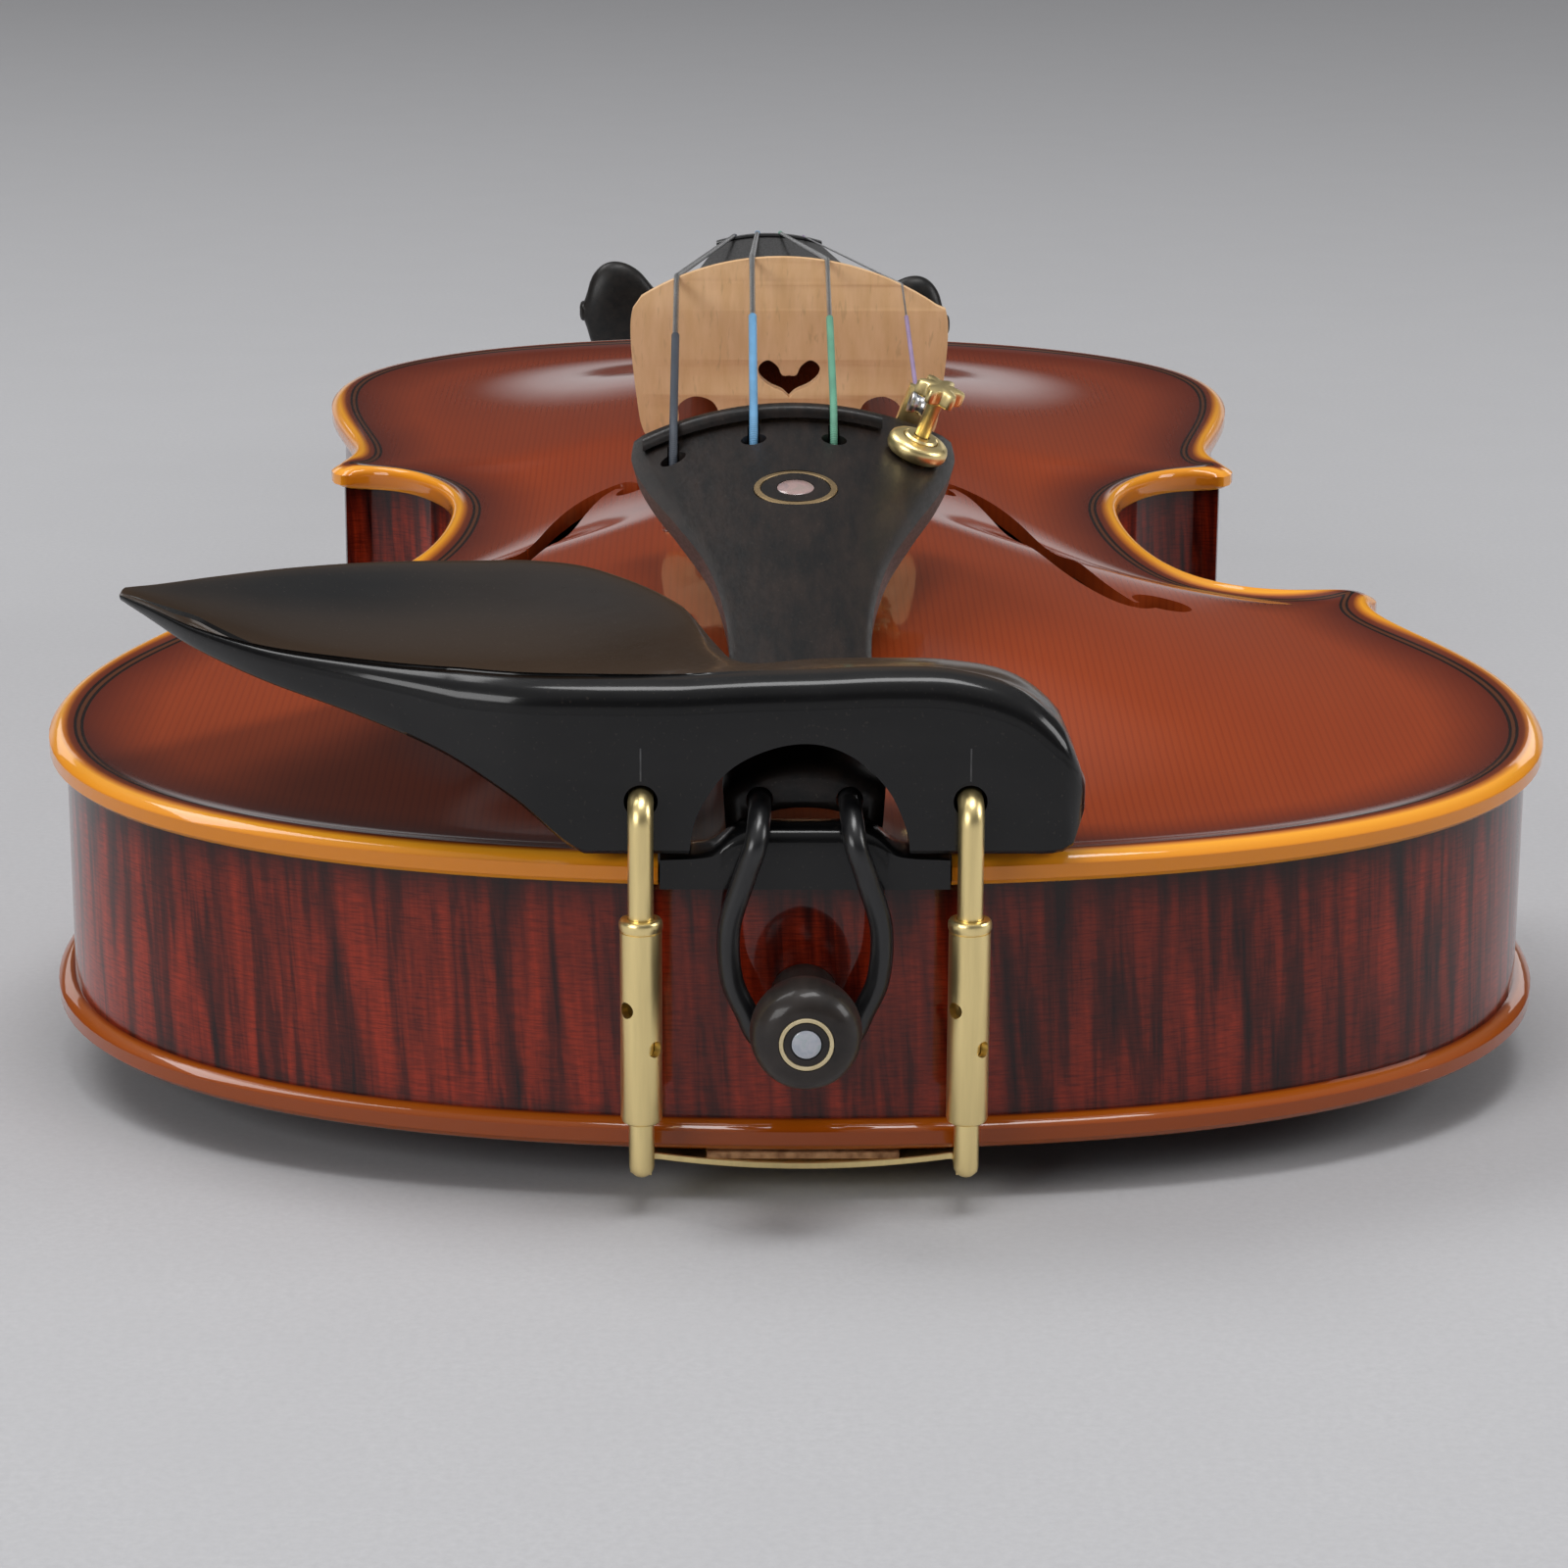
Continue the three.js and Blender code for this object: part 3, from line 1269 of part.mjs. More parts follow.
function bridge() {
  const half = bridgeWidth / 2;
  const foot = bridgeFootSpan / 2;
  const base = bridgeFoot;
  const mirrorOf = (points) => points.filter((p) => p.x > 0).map((p) => flat(-p.x, p.y)).reverse();
  const side = bridgeSideShares.map(([across, up]) => flat(half * across, base + bridgeHeight * up));
  const crownShares = [-0.93, -0.66, -0.33, 0, 0.33, 0.66, 0.93];
  const crown = crownShares.map((share) => flat(half * share, bridgeSurface(half * share)));
  const footLine = [1, 0.72, 0.45].map((share) => {
    const x = foot * share;
    const ground = Math.max(...[-1, 0, 1].map((k) => topOutside(x, bridgePlace + k * bridgeFootThickness / 2)));
    return flat(x, ground + seam);
  });
  const arch = bridgeArchShares.map(([across, up]) => flat(half * across, base + bridgeHeight * up));
  const right = [...side, ...footLine, ...arch];
  const shape = new THREE.Shape([...crown, ...right, ...mirrorOf(right)].reverse());
  const heart = bridgeHeartShares.map(([across, up]) => flat(half * across, base + bridgeHeight * up));
  shape.holes.push(new THREE.Path([...heart, ...mirrorOf(heart)]));
  const plate = new THREE.ExtrudeGeometry(shape, { depth: 1, bevelEnabled: false, steps: 1 });
  const position = plate.attributes.position;
  for (let i = 0; i < position.count; i += 1) {
    const z = position.getY(i);
    const share = (z - base) / bridgeHeight;
    const thickness = THREE.MathUtils.lerp(bridgeFootThickness, bridgeTopThickness, share);
    position.setXYZ(i, position.getX(i), bridgePlace + (position.getZ(i) - 1 / 2) * thickness, z);
  }
  return cut(tidy(plate), ...grooveCutters());
}

// End button on the middle of the tail, with a ring and a pearl in its face

function buttonBore(clearance) {
  return cylinder(
    at(0, -overrun, buttonHeight),
    at(0, overhang + ribThickness + lowerBlockDepth + overrun, buttonHeight),
    buttonShankDiameter / 2 + clearance,
    14,
  );
}

// Head of the button: its radius as a share, and the share of the way from its back to its face
const buttonDomeShares = [
  [0.67, 0], [0.86, 0.22], [0.97, 0.4], [1, 0.54], [0.98, 0.72], [0.9, 0.86], [0.74, 0.955], [0.54, 1],
];
const flangeFace = -edgeRounding;
const grooveWidth = gutDiameter + 4 * seam;

function endButton() {
  const flange = buttonNeckDiameter / 2 + seam;
  const neck = buttonNeckDiameter / 2;
  const head = buttonHeadDiameter / 2;
  const rib = overhang - seam;
  const inner = overhang + ribThickness + lowerBlockDepth;
  const headBack = flangeFace - grooveWidth;
  const face = -buttonProjection;
  const profile = [
    [0, inner], [buttonShankDiameter / 2 * 0.9, inner], [buttonShankDiameter / 2, rib], [flange, rib],
    [flange, flangeFace + edgeRounding / 2], [neck, flangeFace], [neck, headBack],
    ...buttonDomeShares.map(([wide, along]) => [head * wide, THREE.MathUtils.lerp(headBack, face, along)]),
    [0, face],
  ];
  const ring = buttonRingDiameter / 2;
  const groove = ring - eyeRingWidth * 0.8;
  const depth = face + edgeRounding;
  const grooveProfile = [
    [groove - seam, face - overrun], [ring + seam, face - overrun], [ring + seam, depth], [groove - seam, depth],
    [groove - seam, face - overrun],
  ];
  const socket = [
    [0, face - overrun], [buttonPearlDiameter / 2 + seam, face - overrun],
    [buttonPearlDiameter / 2 + seam, depth], [0, depth],
  ];
  return cut(
    turned(profile, 'y', 20).translate(0, 0, buttonHeight),
    turned(grooveProfile, 'y', 20).translate(0, 0, buttonHeight),
    turned(socket, 'y', 14).translate(0, 0, buttonHeight),
  );
}

function buttonRing() {
  const outer = buttonRingDiameter / 2;
  const inner = outer - eyeRingWidth * 0.8;
  const face = -buttonProjection - runningFit;
  const depth = -buttonProjection + edgeRounding - seam;
  return turned([[inner, face], [outer, face], [outer, depth], [inner, depth], [inner, face]], 'y', 20)
    .translate(0, 0, buttonHeight);
}

function buttonPearl() {
  const radius = buttonPearlDiameter / 2;
  const face = -buttonProjection - runningFit;
  return turned([[0, face], [radius, face], [radius, -buttonProjection + edgeRounding - seam],
    [0, -buttonProjection + edgeRounding - seam]], 'y', 14).translate(0, 0, buttonHeight);
}

// Tail gut: from the tailpiece over the saddle, round the end button's neck and back
function gutPath() {
  const over = topEdgeZ + saddleRise + gutDiameter / 2 + seam;
  const front = flangeFace - grooveWidth / 2;
  const loop = buttonNeckDiameter / 2 + gutDiameter / 2 + seam * 2;
  const bulge = gutSpanAtBulge / 2;
  const right = [
    at(gutHoleX, pocketStart + gutDiameter * 2, gutHeight),
    at(gutHoleX, tailpieceStart, gutHeight),
    at(gutHoleX, tailpieceStart / 2, (gutHeight + over) / 2 + seam),
    at(gutHoleX * 1.02, -seam, over - seam),
    at(gutHoleX * 1.1, front, over - gutDiameter),
    at(gutHoleX * 1.35, front, topEdgeZ - gutDiameter / 2),
    at(bulge, front, (topEdgeZ + buttonHeight) / 2 + gutDiameter / 2),
    at(bulge * 0.97, front, buttonHeight + loop * 0.7),
    at(loop * 1.2, front, buttonHeight),
    at(loop * 0.86, front, buttonHeight - loop * 0.62),
  ];
  const left = right.map((p) => at(-p.x, p.y, p.z)).reverse();
  return [...right, at(0, front, buttonHeight - loop * 1.03), ...left];
}

function tailGut() {
  const curve = new THREE.CatmullRomCurve3(gutPath());
  return tube(curve.getPoints(46), gutDiameter / 2, 7);
}

function gutNut(side) {
  const start = pocketStart + seam;
  const end = start + gutDiameter;
  const centre = [start, end].map((y) => at(side * gutHoleX, y, gutHeight));
  const bore = [start - overrun, end + overrun].map((y) => at(side * gutHoleX, y, gutHeight));
  return cut(tube(centre, gutNutRadius, 10), tube(bore, gutDiameter / 2 + runningFit, 10));
}

// Chinrest, from its treble end to the tip of its cup. Columns: along, front edge, foot of the front
// face, front rim, back edge, back rim, middle of the top, and underside behind the feet.
const chinrestWidth = 123.4;
const chinrestDepth = 77;
const chinrestHeight = 24;
const chinrestRight = 34.4;
const chinrestFront = -1;
const chinrestShares = [
  [0, 0.01, 0.14, 0.42, 0.16, 0.36, 0.42, 0.22],
  [0.022, 0, 0.03, 0.66, 0.25, 0.58, 0.66, 0.34],
  [0.065, 0, 0, 0.83, 0.31, 0.7, 0.82, 0.44],
  [0.13, 0, 0, 0.93, 0.34, 0.76, 0.9, 0.5],
  [0.175, 0, 0, 0.95, 0.36, 0.76, 0.92, 0.56],
  [0.195, 0, 0.38, 0.95, 0.37, 0.76, 0.92, 0.6],
  [0.27, 0, 0.58, 0.93, 0.43, 0.76, 0.88, 0.66],
  [0.34, 0, 0.48, 0.92, 0.53, 0.77, 0.82, 0.64],
  [0.358, 0, 0.37, 0.92, 0.56, 0.77, 0.8, 0.58],
  [0.408, 0, 0, 0.91, 0.76, 0.78, 0.69, 0.44],
  [0.5, 0, 0, 0.91, 0.93, 0.8, 0.56, 0.35],
  [0.57, 0.01, 0.28, 0.91, 0.99, 0.81, 0.52, 0.32],
  [0.645, 0.05, 0.5, 0.91, 0.99, 0.82, 0.52, 0.33],
  [0.735, 0.12, 0.64, 0.91, 0.95, 0.84, 0.55, 0.37],
  [0.83, 0.22, 0.73, 0.91, 0.86, 0.87, 0.64, 0.47],
  [0.91, 0.35, 0.8, 0.92, 0.76, 0.9, 0.77, 0.62],
  [0.97, 0.48, 0.87, 0.94, 0.66, 0.93, 0.88, 0.8],
  [1, 0.54, 0.91, 0.95, 0.61, 0.95, 0.94, 0.89],
];
const chinrestFootDepth = 13;
const hookX = clampSpan / 2;

function chinrest() {
  const foot = topEdgeZ + chinrestLift + seam * 2;
  const rings = chinrestShares.map(([along, front, low, rim, rear, rearRim, middle, under]) => {
    const x = chinrestRight - chinrestWidth * along;
    const y = (share) => chinrestFront + chinrestDepth * share;
    const z = (share) => foot + chinrestHeight * share;
    const span = y(rear) - y(front);
    const soft = Math.min(edgeRounding * 1.6, span * 0.12, (z(rim) - z(low)) * 0.3);
    const heel = Math.min(chinrestFootDepth, span * 0.45);
    const dish = (share) => THREE.MathUtils.lerp(z(rim), z(middle), share);
    return [
      at(x, y(front), z(low)),
      at(x, y(front), z(rim) - soft),
      at(x, y(front) + soft * 0.7, z(rim) - soft * 0.2),
      at(x, y(front) + soft * 1.8, z(rim) - soft * 0.1),
      at(x, y(front) + span * 0.25, dish(0.75)),
      at(x, y(front) + span * 0.5, z(middle)),
      at(x, y(front) + span * 0.76, THREE.MathUtils.lerp(z(middle), z(rearRim), 0.3)),
      at(x, y(rear) - soft * 1.6, z(rearRim)),
      at(x, y(rear) - soft * 0.4, z(rearRim) - soft * 0.4),
      at(x, y(rear), z(rearRim) - soft * 1.5),
      at(x, y(rear) - span * 0.2, THREE.MathUtils.lerp(z(under), z(rearRim), 0.25)),
      at(x, y(front) + span * 0.55, z(under)),
      at(x, y(front) + heel + soft, Math.max(z(under), z(low))),
      at(x, y(front) + heel, z(low)),
    ];
  });
  const holes = [-1, 1].map((side) => cylinder(
    at(side * hookX, chinrestFront - overrun, hookHeight),
    at(side * hookX, chinrestFootDepth * 0.75, hookHeight),
    clampRodDiameter / 2 + seam,
    14,
  ));
  return cut(loft(rings), ...holes);
}

// Cork under each foot of the chinrest, between the given distances from its treble end
function chinrestCork(from, to) {
  const bottom = topEdgeZ + seam;
  const low = chinrestRight - to;
  const high = chinrestRight - from;
  const front = overhang;
  return block(at(low, front, bottom), at(high, chinrestFootDepth - edgeRounding * 2, bottom + chinrestLift));
}

// Chinrest clamp: two hooks above, two turnbuckle barrels, and a bracket that draws up under the back

const clampY = -clampSetback;
const barrelTop = barrelBottom + barrelLength;
const rodGap = 3;

function hook(side) {
  const x = side * hookX;
  const bendPoints = Array.from({ length: 5 }, (_, k) => {
    const turn = k / 4 * Math.PI / 2;
    return at(
      x,
      clampY + hookBend * (1 - Math.sin(turn)),
      hookHeight - hookBend * (1 - Math.cos(turn)),
    );
  });
  const path = [
    at(x, chinrestFootDepth * 0.7, hookHeight), ...bendPoints,
    at(x, clampY, (barrelBottom + barrelTop) / 2 + rodGap),
  ];
  return tube(path, clampRodDiameter / 2, 12);
}

function barrel(side) {
  const x = side * hookX;
  const radius = barrelDiameter / 2;
  const bore = (clampRodDiameter / 2 + runningFit) / Math.cos(Math.PI / 14);
  const collar = edgeRounding * 0.6;
  const body = turned([
    [bore, barrelBottom], [radius - collar / 2, barrelBottom], [radius, barrelBottom + collar],
    [radius, barrelTop - collar * 1.9], [radius + collar / 6, barrelTop - collar * 1.8],
    [radius + collar / 6, barrelTop - collar / 2], [radius - collar / 3, barrelTop], [bore, barrelTop],
    [bore, barrelBottom],
  ], 'z', 14).translate(x, clampY, 0);
  const upper = barrelBottom + barrelLength * 0.57;
  const lower = barrelBottom + barrelLength * 0.38;
  const reach = radius + overrun;
  const across = Math.SQRT1_2 * reach;
  const crossHole = (z, lean) => cylinder(
    at(x - across, clampY - across * lean, z),
    at(x + across, clampY + across * lean, z),
    crossHoleDiameter / 2,
    8,
  );
  return cut(body, crossHole(upper, 1), crossHole(lower, -1));
}

function bracket() {
  const radius = clampRodDiameter / 2;
  const plateTop = backEdgeZ - corkThickness - 2 * seam;
  const plateLow = plateTop - clampPlateThickness;
  const tipShares = [[0, 0.4], [0.25, 0.8], [0.8, 1]];
  const legs = [-1, 1].map((side) => {
    const tip = tipShares.map(([up]) => at(side * hookX, clampY, plateTop + edgeRounding / 2 + radius * up));
    const top = at(side * hookX, clampY, (barrelBottom + barrelTop) / 2 - rodGap);
    return tube([...tip, top], [...tipShares.map(([, wide]) => radius * wide), radius], 12);
  });
  const plate = loft([-1, -0.5, 0, 0.5, 1].map((share) => {
    const x = hookX * share;
    const lift = edgeRounding * (0.65 + 1.6 * share ** 2);
    return [
      at(x, clampY - radius / 2, plateLow + lift), at(x, clampY + radius / 2, plateLow + lift),
      at(x, clampY + radius / 2, plateTop + lift), at(x, clampY - radius / 2, plateTop + lift),
    ];
  }));
  const tongue = hookX * 0.62;
  const foot = block(at(-tongue, clampY, plateLow), at(tongue, clampFootLength - clampSetback, plateTop));
  return join(foot, plate, ...legs);
}

function bracketCork() {
  const tongue = hookX * 0.6;
  const bottom = backEdgeZ - corkThickness - seam;
  const front = clampFootLength - clampSetback - edgeRounding / 2;
  return block(at(-tongue, channelInset / 2, bottom), at(tongue, front, bottom + corkThickness));
}

// Fine tuner of the E string, drawn in its own frame: U across, V towards the bridge, W off the tailpiece

const tunerSeat = tailpieceThickness * 0.87;
const tunerUnder = -tunerSeat - seam;
const tunerPinV = tunerSetback + tunerClearance + tunerLeverThickness;
const tunerPinW = tunerUnder - tunerPostDiameter * 0.8;
const tunerPinRadius = 0.75;
const tunerEar = 1.1;
const leverHalf = 1.7;

function tunerBody() {
  const outer = tunerPostDiameter / 2;
  const bore = tunerScrewDiameter / 2 + runningFit * 1.5;
  const wide = leverHalf + runningFit + tunerEar;
  const post = turned([
    [bore, tunerUnder - edgeRounding], [outer, tunerUnder - edgeRounding], [outer, tunerRingDiameter * 0.36],
    [bore, tunerRingDiameter * 0.36], [bore, tunerUnder - edgeRounding],
  ], 'z', 14);
  const inner = leverHalf + runningFit;
  const plate = block(at(-wide, -outer, tunerUnder - edgeRounding), at(wide, tunerPinV + 2 * tunerEar, tunerUnder));
  const opening = cylinder(at(0, 0, tunerUnder - overrun), at(0, 0, tunerUnder + overrun), bore, 14);
  const window = block(
    at(-inner, tunerPinV - tunerLeverThickness * 2, tunerUnder - overrun * 2),
    at(inner, tunerPinV + overrun, tunerUnder + overrun),
  );
  const ears = [-1, 1].map((side) => block(
    at(Math.min(side * inner, side * wide), tunerPinV - 2 * tunerEar, tunerPinW - 2 * tunerEar),
    at(Math.max(side * inner, side * wide), tunerPinV + 2 * tunerEar, tunerUnder - edgeRounding / 2),
  ));
  const pinBore = cylinder(
    at(-wide - overrun, tunerPinV, tunerPinW),
    at(wide + overrun, tunerPinV, tunerPinW),
    tunerPinRadius + seam / 2,
    10,
  );
  return cut(join(post, plate, ...ears), opening, window, pinBore);
}

function tunerPin() {
  const wide = leverHalf + runningFit + tunerEar + edgeRounding / 4;
  return cylinder(at(-wide, tunerPinV, tunerPinW), at(wide, tunerPinV, tunerPinW), tunerPinRadius, 10);
}

function tunerRing() {
  const outer = tunerRingDiameter / 2;
  const inner = tunerPostDiameter / 2 + runningFit * 1.5;
  const high = tunerRingDiameter * 0.32;
  return turned([
    [inner, seam], [outer * 0.9, seam], [outer, high * 0.35], [outer, high * 0.6], [outer * 0.86, high * 0.9],
    [outer * 0.66, high], [inner, high], [inner, seam],
  ], 'z', 18);
}

const leverTop = tunerPinW + tunerLeverThickness / 2;

function tunerScrew() {
  const radius = tunerScrewDiameter / 2;
  const head = tunerHeadDiameter / 2;
  const low = leverTop + seam;
  const lobes = 6;
  const steps = lobes * 4;
  const grip = Array.from({ length: steps }, (_, k) => {
    const turn = k / steps * 2 * Math.PI;
    const reach = head * (1 + 0.22 * Math.cos(lobes * turn));
    return flat(reach * Math.cos(turn), reach * Math.sin(turn));
  });
  const shaft = turned([
    [0, low], [radius * 0.7, low], [radius, low + radius / 2], [radius, tunerHeadRise - radius],
    [radius * 1.6, tunerHeadRise], [0, tunerHeadRise],
  ], 'z', 12);
  return join(shaft, raised(grip, tunerHeadRise - radius / 4, tunerHeadRise + head * 0.7));
}

// Bell crank lever: an arm under the screw, and an arm in front of the tailpiece that ends in a fork
function tunerLever() {
  const thick = tunerLeverThickness;
  const underArm = block(
    at(-leverHalf, -tunerPostDiameter / 2, tunerPinW - thick / 2),
    at(leverHalf, tunerPinV + thick, leverTop),
  );
  const front = tunerPinV - thick * 0.6;
  const rise = hookRise + loopBallDiameter / 2;
  const upright = block(at(-leverHalf, front, tunerPinW), at(leverHalf, front + thick, rise));
  const boss = cylinder(
    at(-leverHalf, tunerPinV, tunerPinW),
    at(leverHalf, tunerPinV, tunerPinW),
    tunerPinRadius + thick * 0.8,
    12,
  );
  const slot = block(
    at(-stringSlot, front - overrun, hookRise - loopBallDiameter / 2),
    at(stringSlot, front + overrun, rise + overrun),
  );
  const pinBore = cylinder(
    at(-overrun, tunerPinV, tunerPinW),
    at(overrun, tunerPinV, tunerPinW),
    tunerPinRadius + seam / 2,
    10,
  );
  return cut(join(underArm, boss, upright), slot, pinBore);
}

const hookRise = 2.9;
const stringSlot = stringRadii[3] + silkThickness + seam;
const eBallV = tunerPinV - tunerLeverThickness * 0.6 - loopBallDiameter / 2 - seam;

// Point between the fork's prongs where the E string starts
function tunerHook() {
  return at(0, eBallV + loopBallDiameter / 2 + seam * 2, hookRise).applyMatrix4(tunerFrame());
}

function eBall() {
  const half = loopBallLength / 2;
  const radius = loopBallDiameter / 2;
  return turned([
    [radius * 0.45, -half], [radius, -half], [radius, -half * 0.5], [radius * 0.8, 0], [radius, half * 0.5],
    [radius, half], [radius * 0.45, half], [radius * 0.45, -half],
  ], 'x', 12).translate(0, eBallV, hookRise);
}

// Assembly

function material(color, roughness, metalness = 0) {
  return new THREE.MeshStandardMaterial({ color, roughness, metalness });
}

const spruce = material('#8c3a1c', 0.25);
const maple = material('#6b2316', 0.22);
const flamedRib = material('#571b14', 0.2);
const bareSpruce = material('#d9b98a', 0.75);
const ebony = material('#1d1b1a', 0.42);
const bareMaple = material('#c49a6c', 0.6);
const brass = material('#c9b06a', 0.28, 1);
const pearl = material('#c9ccd1', 0.3);
const cork = material('#a97c50', 0.85);
const gut = material('#141414', 0.35);
const silver = material('#9a9a9c', 0.3, 1);
const silks = ['#4c5560', '#5f9fce', '#5fa287', '#8f7aa3'].map((color) => material(color, 0.55));

const violin = new THREE.Group();

function add(name, geometry, finish) {
  const mesh = new THREE.Mesh(geometry, finish);
  mesh.name = name;
  violin.add(mesh);
}

const { lowerRib, middleRib, upperRib } = ribs();
const lowerCornerBlock = cornerBlock(lowerRibLine, middleRibLine);
const upperCornerBlock = cornerBlock(middleRibLine, upperRibLine);
const head = neckAndScroll();

const sided = [
  ['lower_rib', lowerRib, flamedRib],
  ['middle_rib', middleRib, flamedRib],
  ['upper_rib', upperRib, flamedRib],
  ['lower_corner_block', lowerCornerBlock, bareSpruce],
  ['upper_corner_block', upperCornerBlock, bareSpruce],
];
for (const [name, geometry, finish] of sided) {
  add(`${name}_treble`, geometry, finish);
  add(`${name}_bass`, mirrored(geometry), finish);
}
add('top_plate', top, spruce);
add('lower_block', lowerBlock(), bareSpruce);
add('upper_block', upperBlock(), bareSpruce);
add('bass_bar', bassBar(), bareSpruce);
add('sound_post', soundPost(), bareSpruce);
add('saddle', saddle(), ebony);
add('fingerboard', fingerboard(), ebony);
add('nut', nut(), ebony);
add('bridge', bridge(), bareMaple);
add('tailpiece', tailpiece(), ebony);
add('tailpiece_fret', tailpieceFret(), ebony);
add('tailpiece_eye_ring', eyeRing(), brass);
add('tailpiece_eye_pearl', eyePearl(), pearl);
add('end_button', endButton(), ebony);
add('button_ring', buttonRing(), brass);
add('button_pearl', buttonPearl(), pearl);
add('tail_gut', tailGut(), gut);
add('gut_nut_treble', gutNut(1), silver);
add('gut_nut_bass', gutNut(-1), silver);
pegNames.forEach((name, i) => {
  add(`peg_${name}`, peg(i), ebony);
  add(`string_${name}`, violinString(i), silks[i]);
  add(`winding_${name}`, winding(i), silks[i]);
});
add('chinrest', chinrest(), ebony);
add('chinrest_cork_treble', chinrestCork(edgeRounding * 2, chinrestWidth * 0.143), cork);
add('chinrest_cork_bass', chinrestCork(chinrestWidth * 0.415, chinrestWidth * 0.49), cork);
add('clamp_hook_treble', hook(1), brass);
add('clamp_hook_bass', hook(-1), brass);
add('clamp_barrel_treble', barrel(1), brass);
add('clamp_barrel_bass', barrel(-1), brass);
add('clamp_bracket', bracket(), brass);
add('clamp_cork', bracketCork(), cork);
const tunerPieces = {
  tuner_body: [tunerBody(), brass],
  tuner_pin: [tunerPin(), brass],
  tuner_ring: [tunerRing(), brass],
  tuner_screw: [tunerScrew(), brass],
  tuner_lever: [tunerLever(), brass],
  string_e_ball: [eBall(), silver],
};
for (const [name, [geometry, finish]] of Object.entries(tunerPieces)) {
  add(name, geometry.applyMatrix4(tunerFrame()), finish);
}

// The instrument lies on the crown of its back and the back of its scroll: the tilt that
// brings both to one level is found in a few steps
function lowest(geometry, tilt) {
  const position = geometry.attributes.position;
  let best = null;
  for (let i = 0; i < position.count; i += 1) {
    const p = at(position.getX(i), position.getY(i), position.getZ(i));
    const height = p.y * Math.sin(tilt) + p.z * Math.cos(tilt);
    if (best === null || height < best.height) best = { p, height };
  }
  return best;
}

let tilt = 0;
for (let round = 0; round < 6; round += 1) {
  const crown = lowest(back, tilt).p;
  const heel = lowest(head, tilt).p;
  tilt = Math.atan2(crown.z - heel.z, heel.y - crown.y);
}
const tableHeight = lowest(back, tilt).height + restFlat;

// Flats where the crown of the back and the scroll meet the table
function restCut(geometry) {
  const reach = bodyLength * 2;
  const slab = block(at(-reach, -reach, tableHeight - reach), at(reach, reach, tableHeight)).rotateX(-tilt);
  return cut(geometry, slab);
}

add('back_plate', restCut(back), maple);
add('neck_scroll', restCut(head), maple);

violin.rotation.x = tilt;
violin.updateMatrixWorld(true);
const bounds = new THREE.Box3().setFromObject(violin, true);
violin.position.set(
  -(bounds.min.x + bounds.max.x) / 2,
  -(bounds.min.y + bounds.max.y) / 2,
  -bounds.min.z,
);

const assembly = new THREE.Group();
assembly.add(violin);

export default assembly;
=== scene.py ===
import json
import math

import bmesh
import bpy
import numpy as np
from mathutils import Matrix, Vector
from mathutils.geometry import tessellate_polygon


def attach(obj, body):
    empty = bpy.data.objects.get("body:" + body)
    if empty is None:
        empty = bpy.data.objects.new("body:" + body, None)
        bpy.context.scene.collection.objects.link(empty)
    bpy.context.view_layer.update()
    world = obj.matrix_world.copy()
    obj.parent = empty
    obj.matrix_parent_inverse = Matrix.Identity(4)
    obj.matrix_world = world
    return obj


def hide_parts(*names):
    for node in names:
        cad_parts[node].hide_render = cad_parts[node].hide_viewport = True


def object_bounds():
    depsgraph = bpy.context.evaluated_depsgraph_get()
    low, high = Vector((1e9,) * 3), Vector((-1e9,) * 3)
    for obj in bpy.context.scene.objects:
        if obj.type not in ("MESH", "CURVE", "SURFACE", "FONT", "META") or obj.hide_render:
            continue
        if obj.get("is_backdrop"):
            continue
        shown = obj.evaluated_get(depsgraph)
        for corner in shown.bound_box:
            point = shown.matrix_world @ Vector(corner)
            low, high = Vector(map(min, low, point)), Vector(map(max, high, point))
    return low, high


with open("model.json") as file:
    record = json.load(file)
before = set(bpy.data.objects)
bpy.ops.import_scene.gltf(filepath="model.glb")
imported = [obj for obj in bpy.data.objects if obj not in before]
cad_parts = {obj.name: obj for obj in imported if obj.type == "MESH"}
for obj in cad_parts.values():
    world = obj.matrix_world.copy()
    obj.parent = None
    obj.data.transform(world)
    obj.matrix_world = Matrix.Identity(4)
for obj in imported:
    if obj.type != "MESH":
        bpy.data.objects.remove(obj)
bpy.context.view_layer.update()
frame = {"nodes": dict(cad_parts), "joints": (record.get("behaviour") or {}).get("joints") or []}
bpy.context.scene.view_settings.view_transform = "Standard"

# Sizes in the instrument's own frame, in millimetres, as in the solids
BODY = 356
STOP = 195
NECK = 130
ARCH_BACK = 15
ARCH_TOP = 15.5
RIB_LOW = 15
RIB_HIGH = 46
TOP_EDGE = 50
SEAM = 0.25
OVERHANG = 2.6
RIB = 1.1
CHANNEL = 8
BRIDGE_Y = BODY - STOP
NUT_Y = BODY + NECK
HEAD_Y = NUT_Y + 6
CLAMP_X = 20.3
CLAMP_Y = -4
BUTTON_Z = RIB_LOW + (RIB_HIGH - RIB_LOW) * 0.53
SCROLL_LENGTH = 105.5
NECK_WIDTH = 33
NUT_WIDTH = 24
PEGBOX_WIDTHS = (27, 19)
TROUGH_WIDTHS = (15.6, 9.5)
PLATE_THICKNESS = 2.9
CHANNEL_LEVEL = 3.1
SADDLE_HALF = 18
SADDLE_DEPTH = 7
BARREL_JOINT_Z = 30
MM_PER_M = 1000

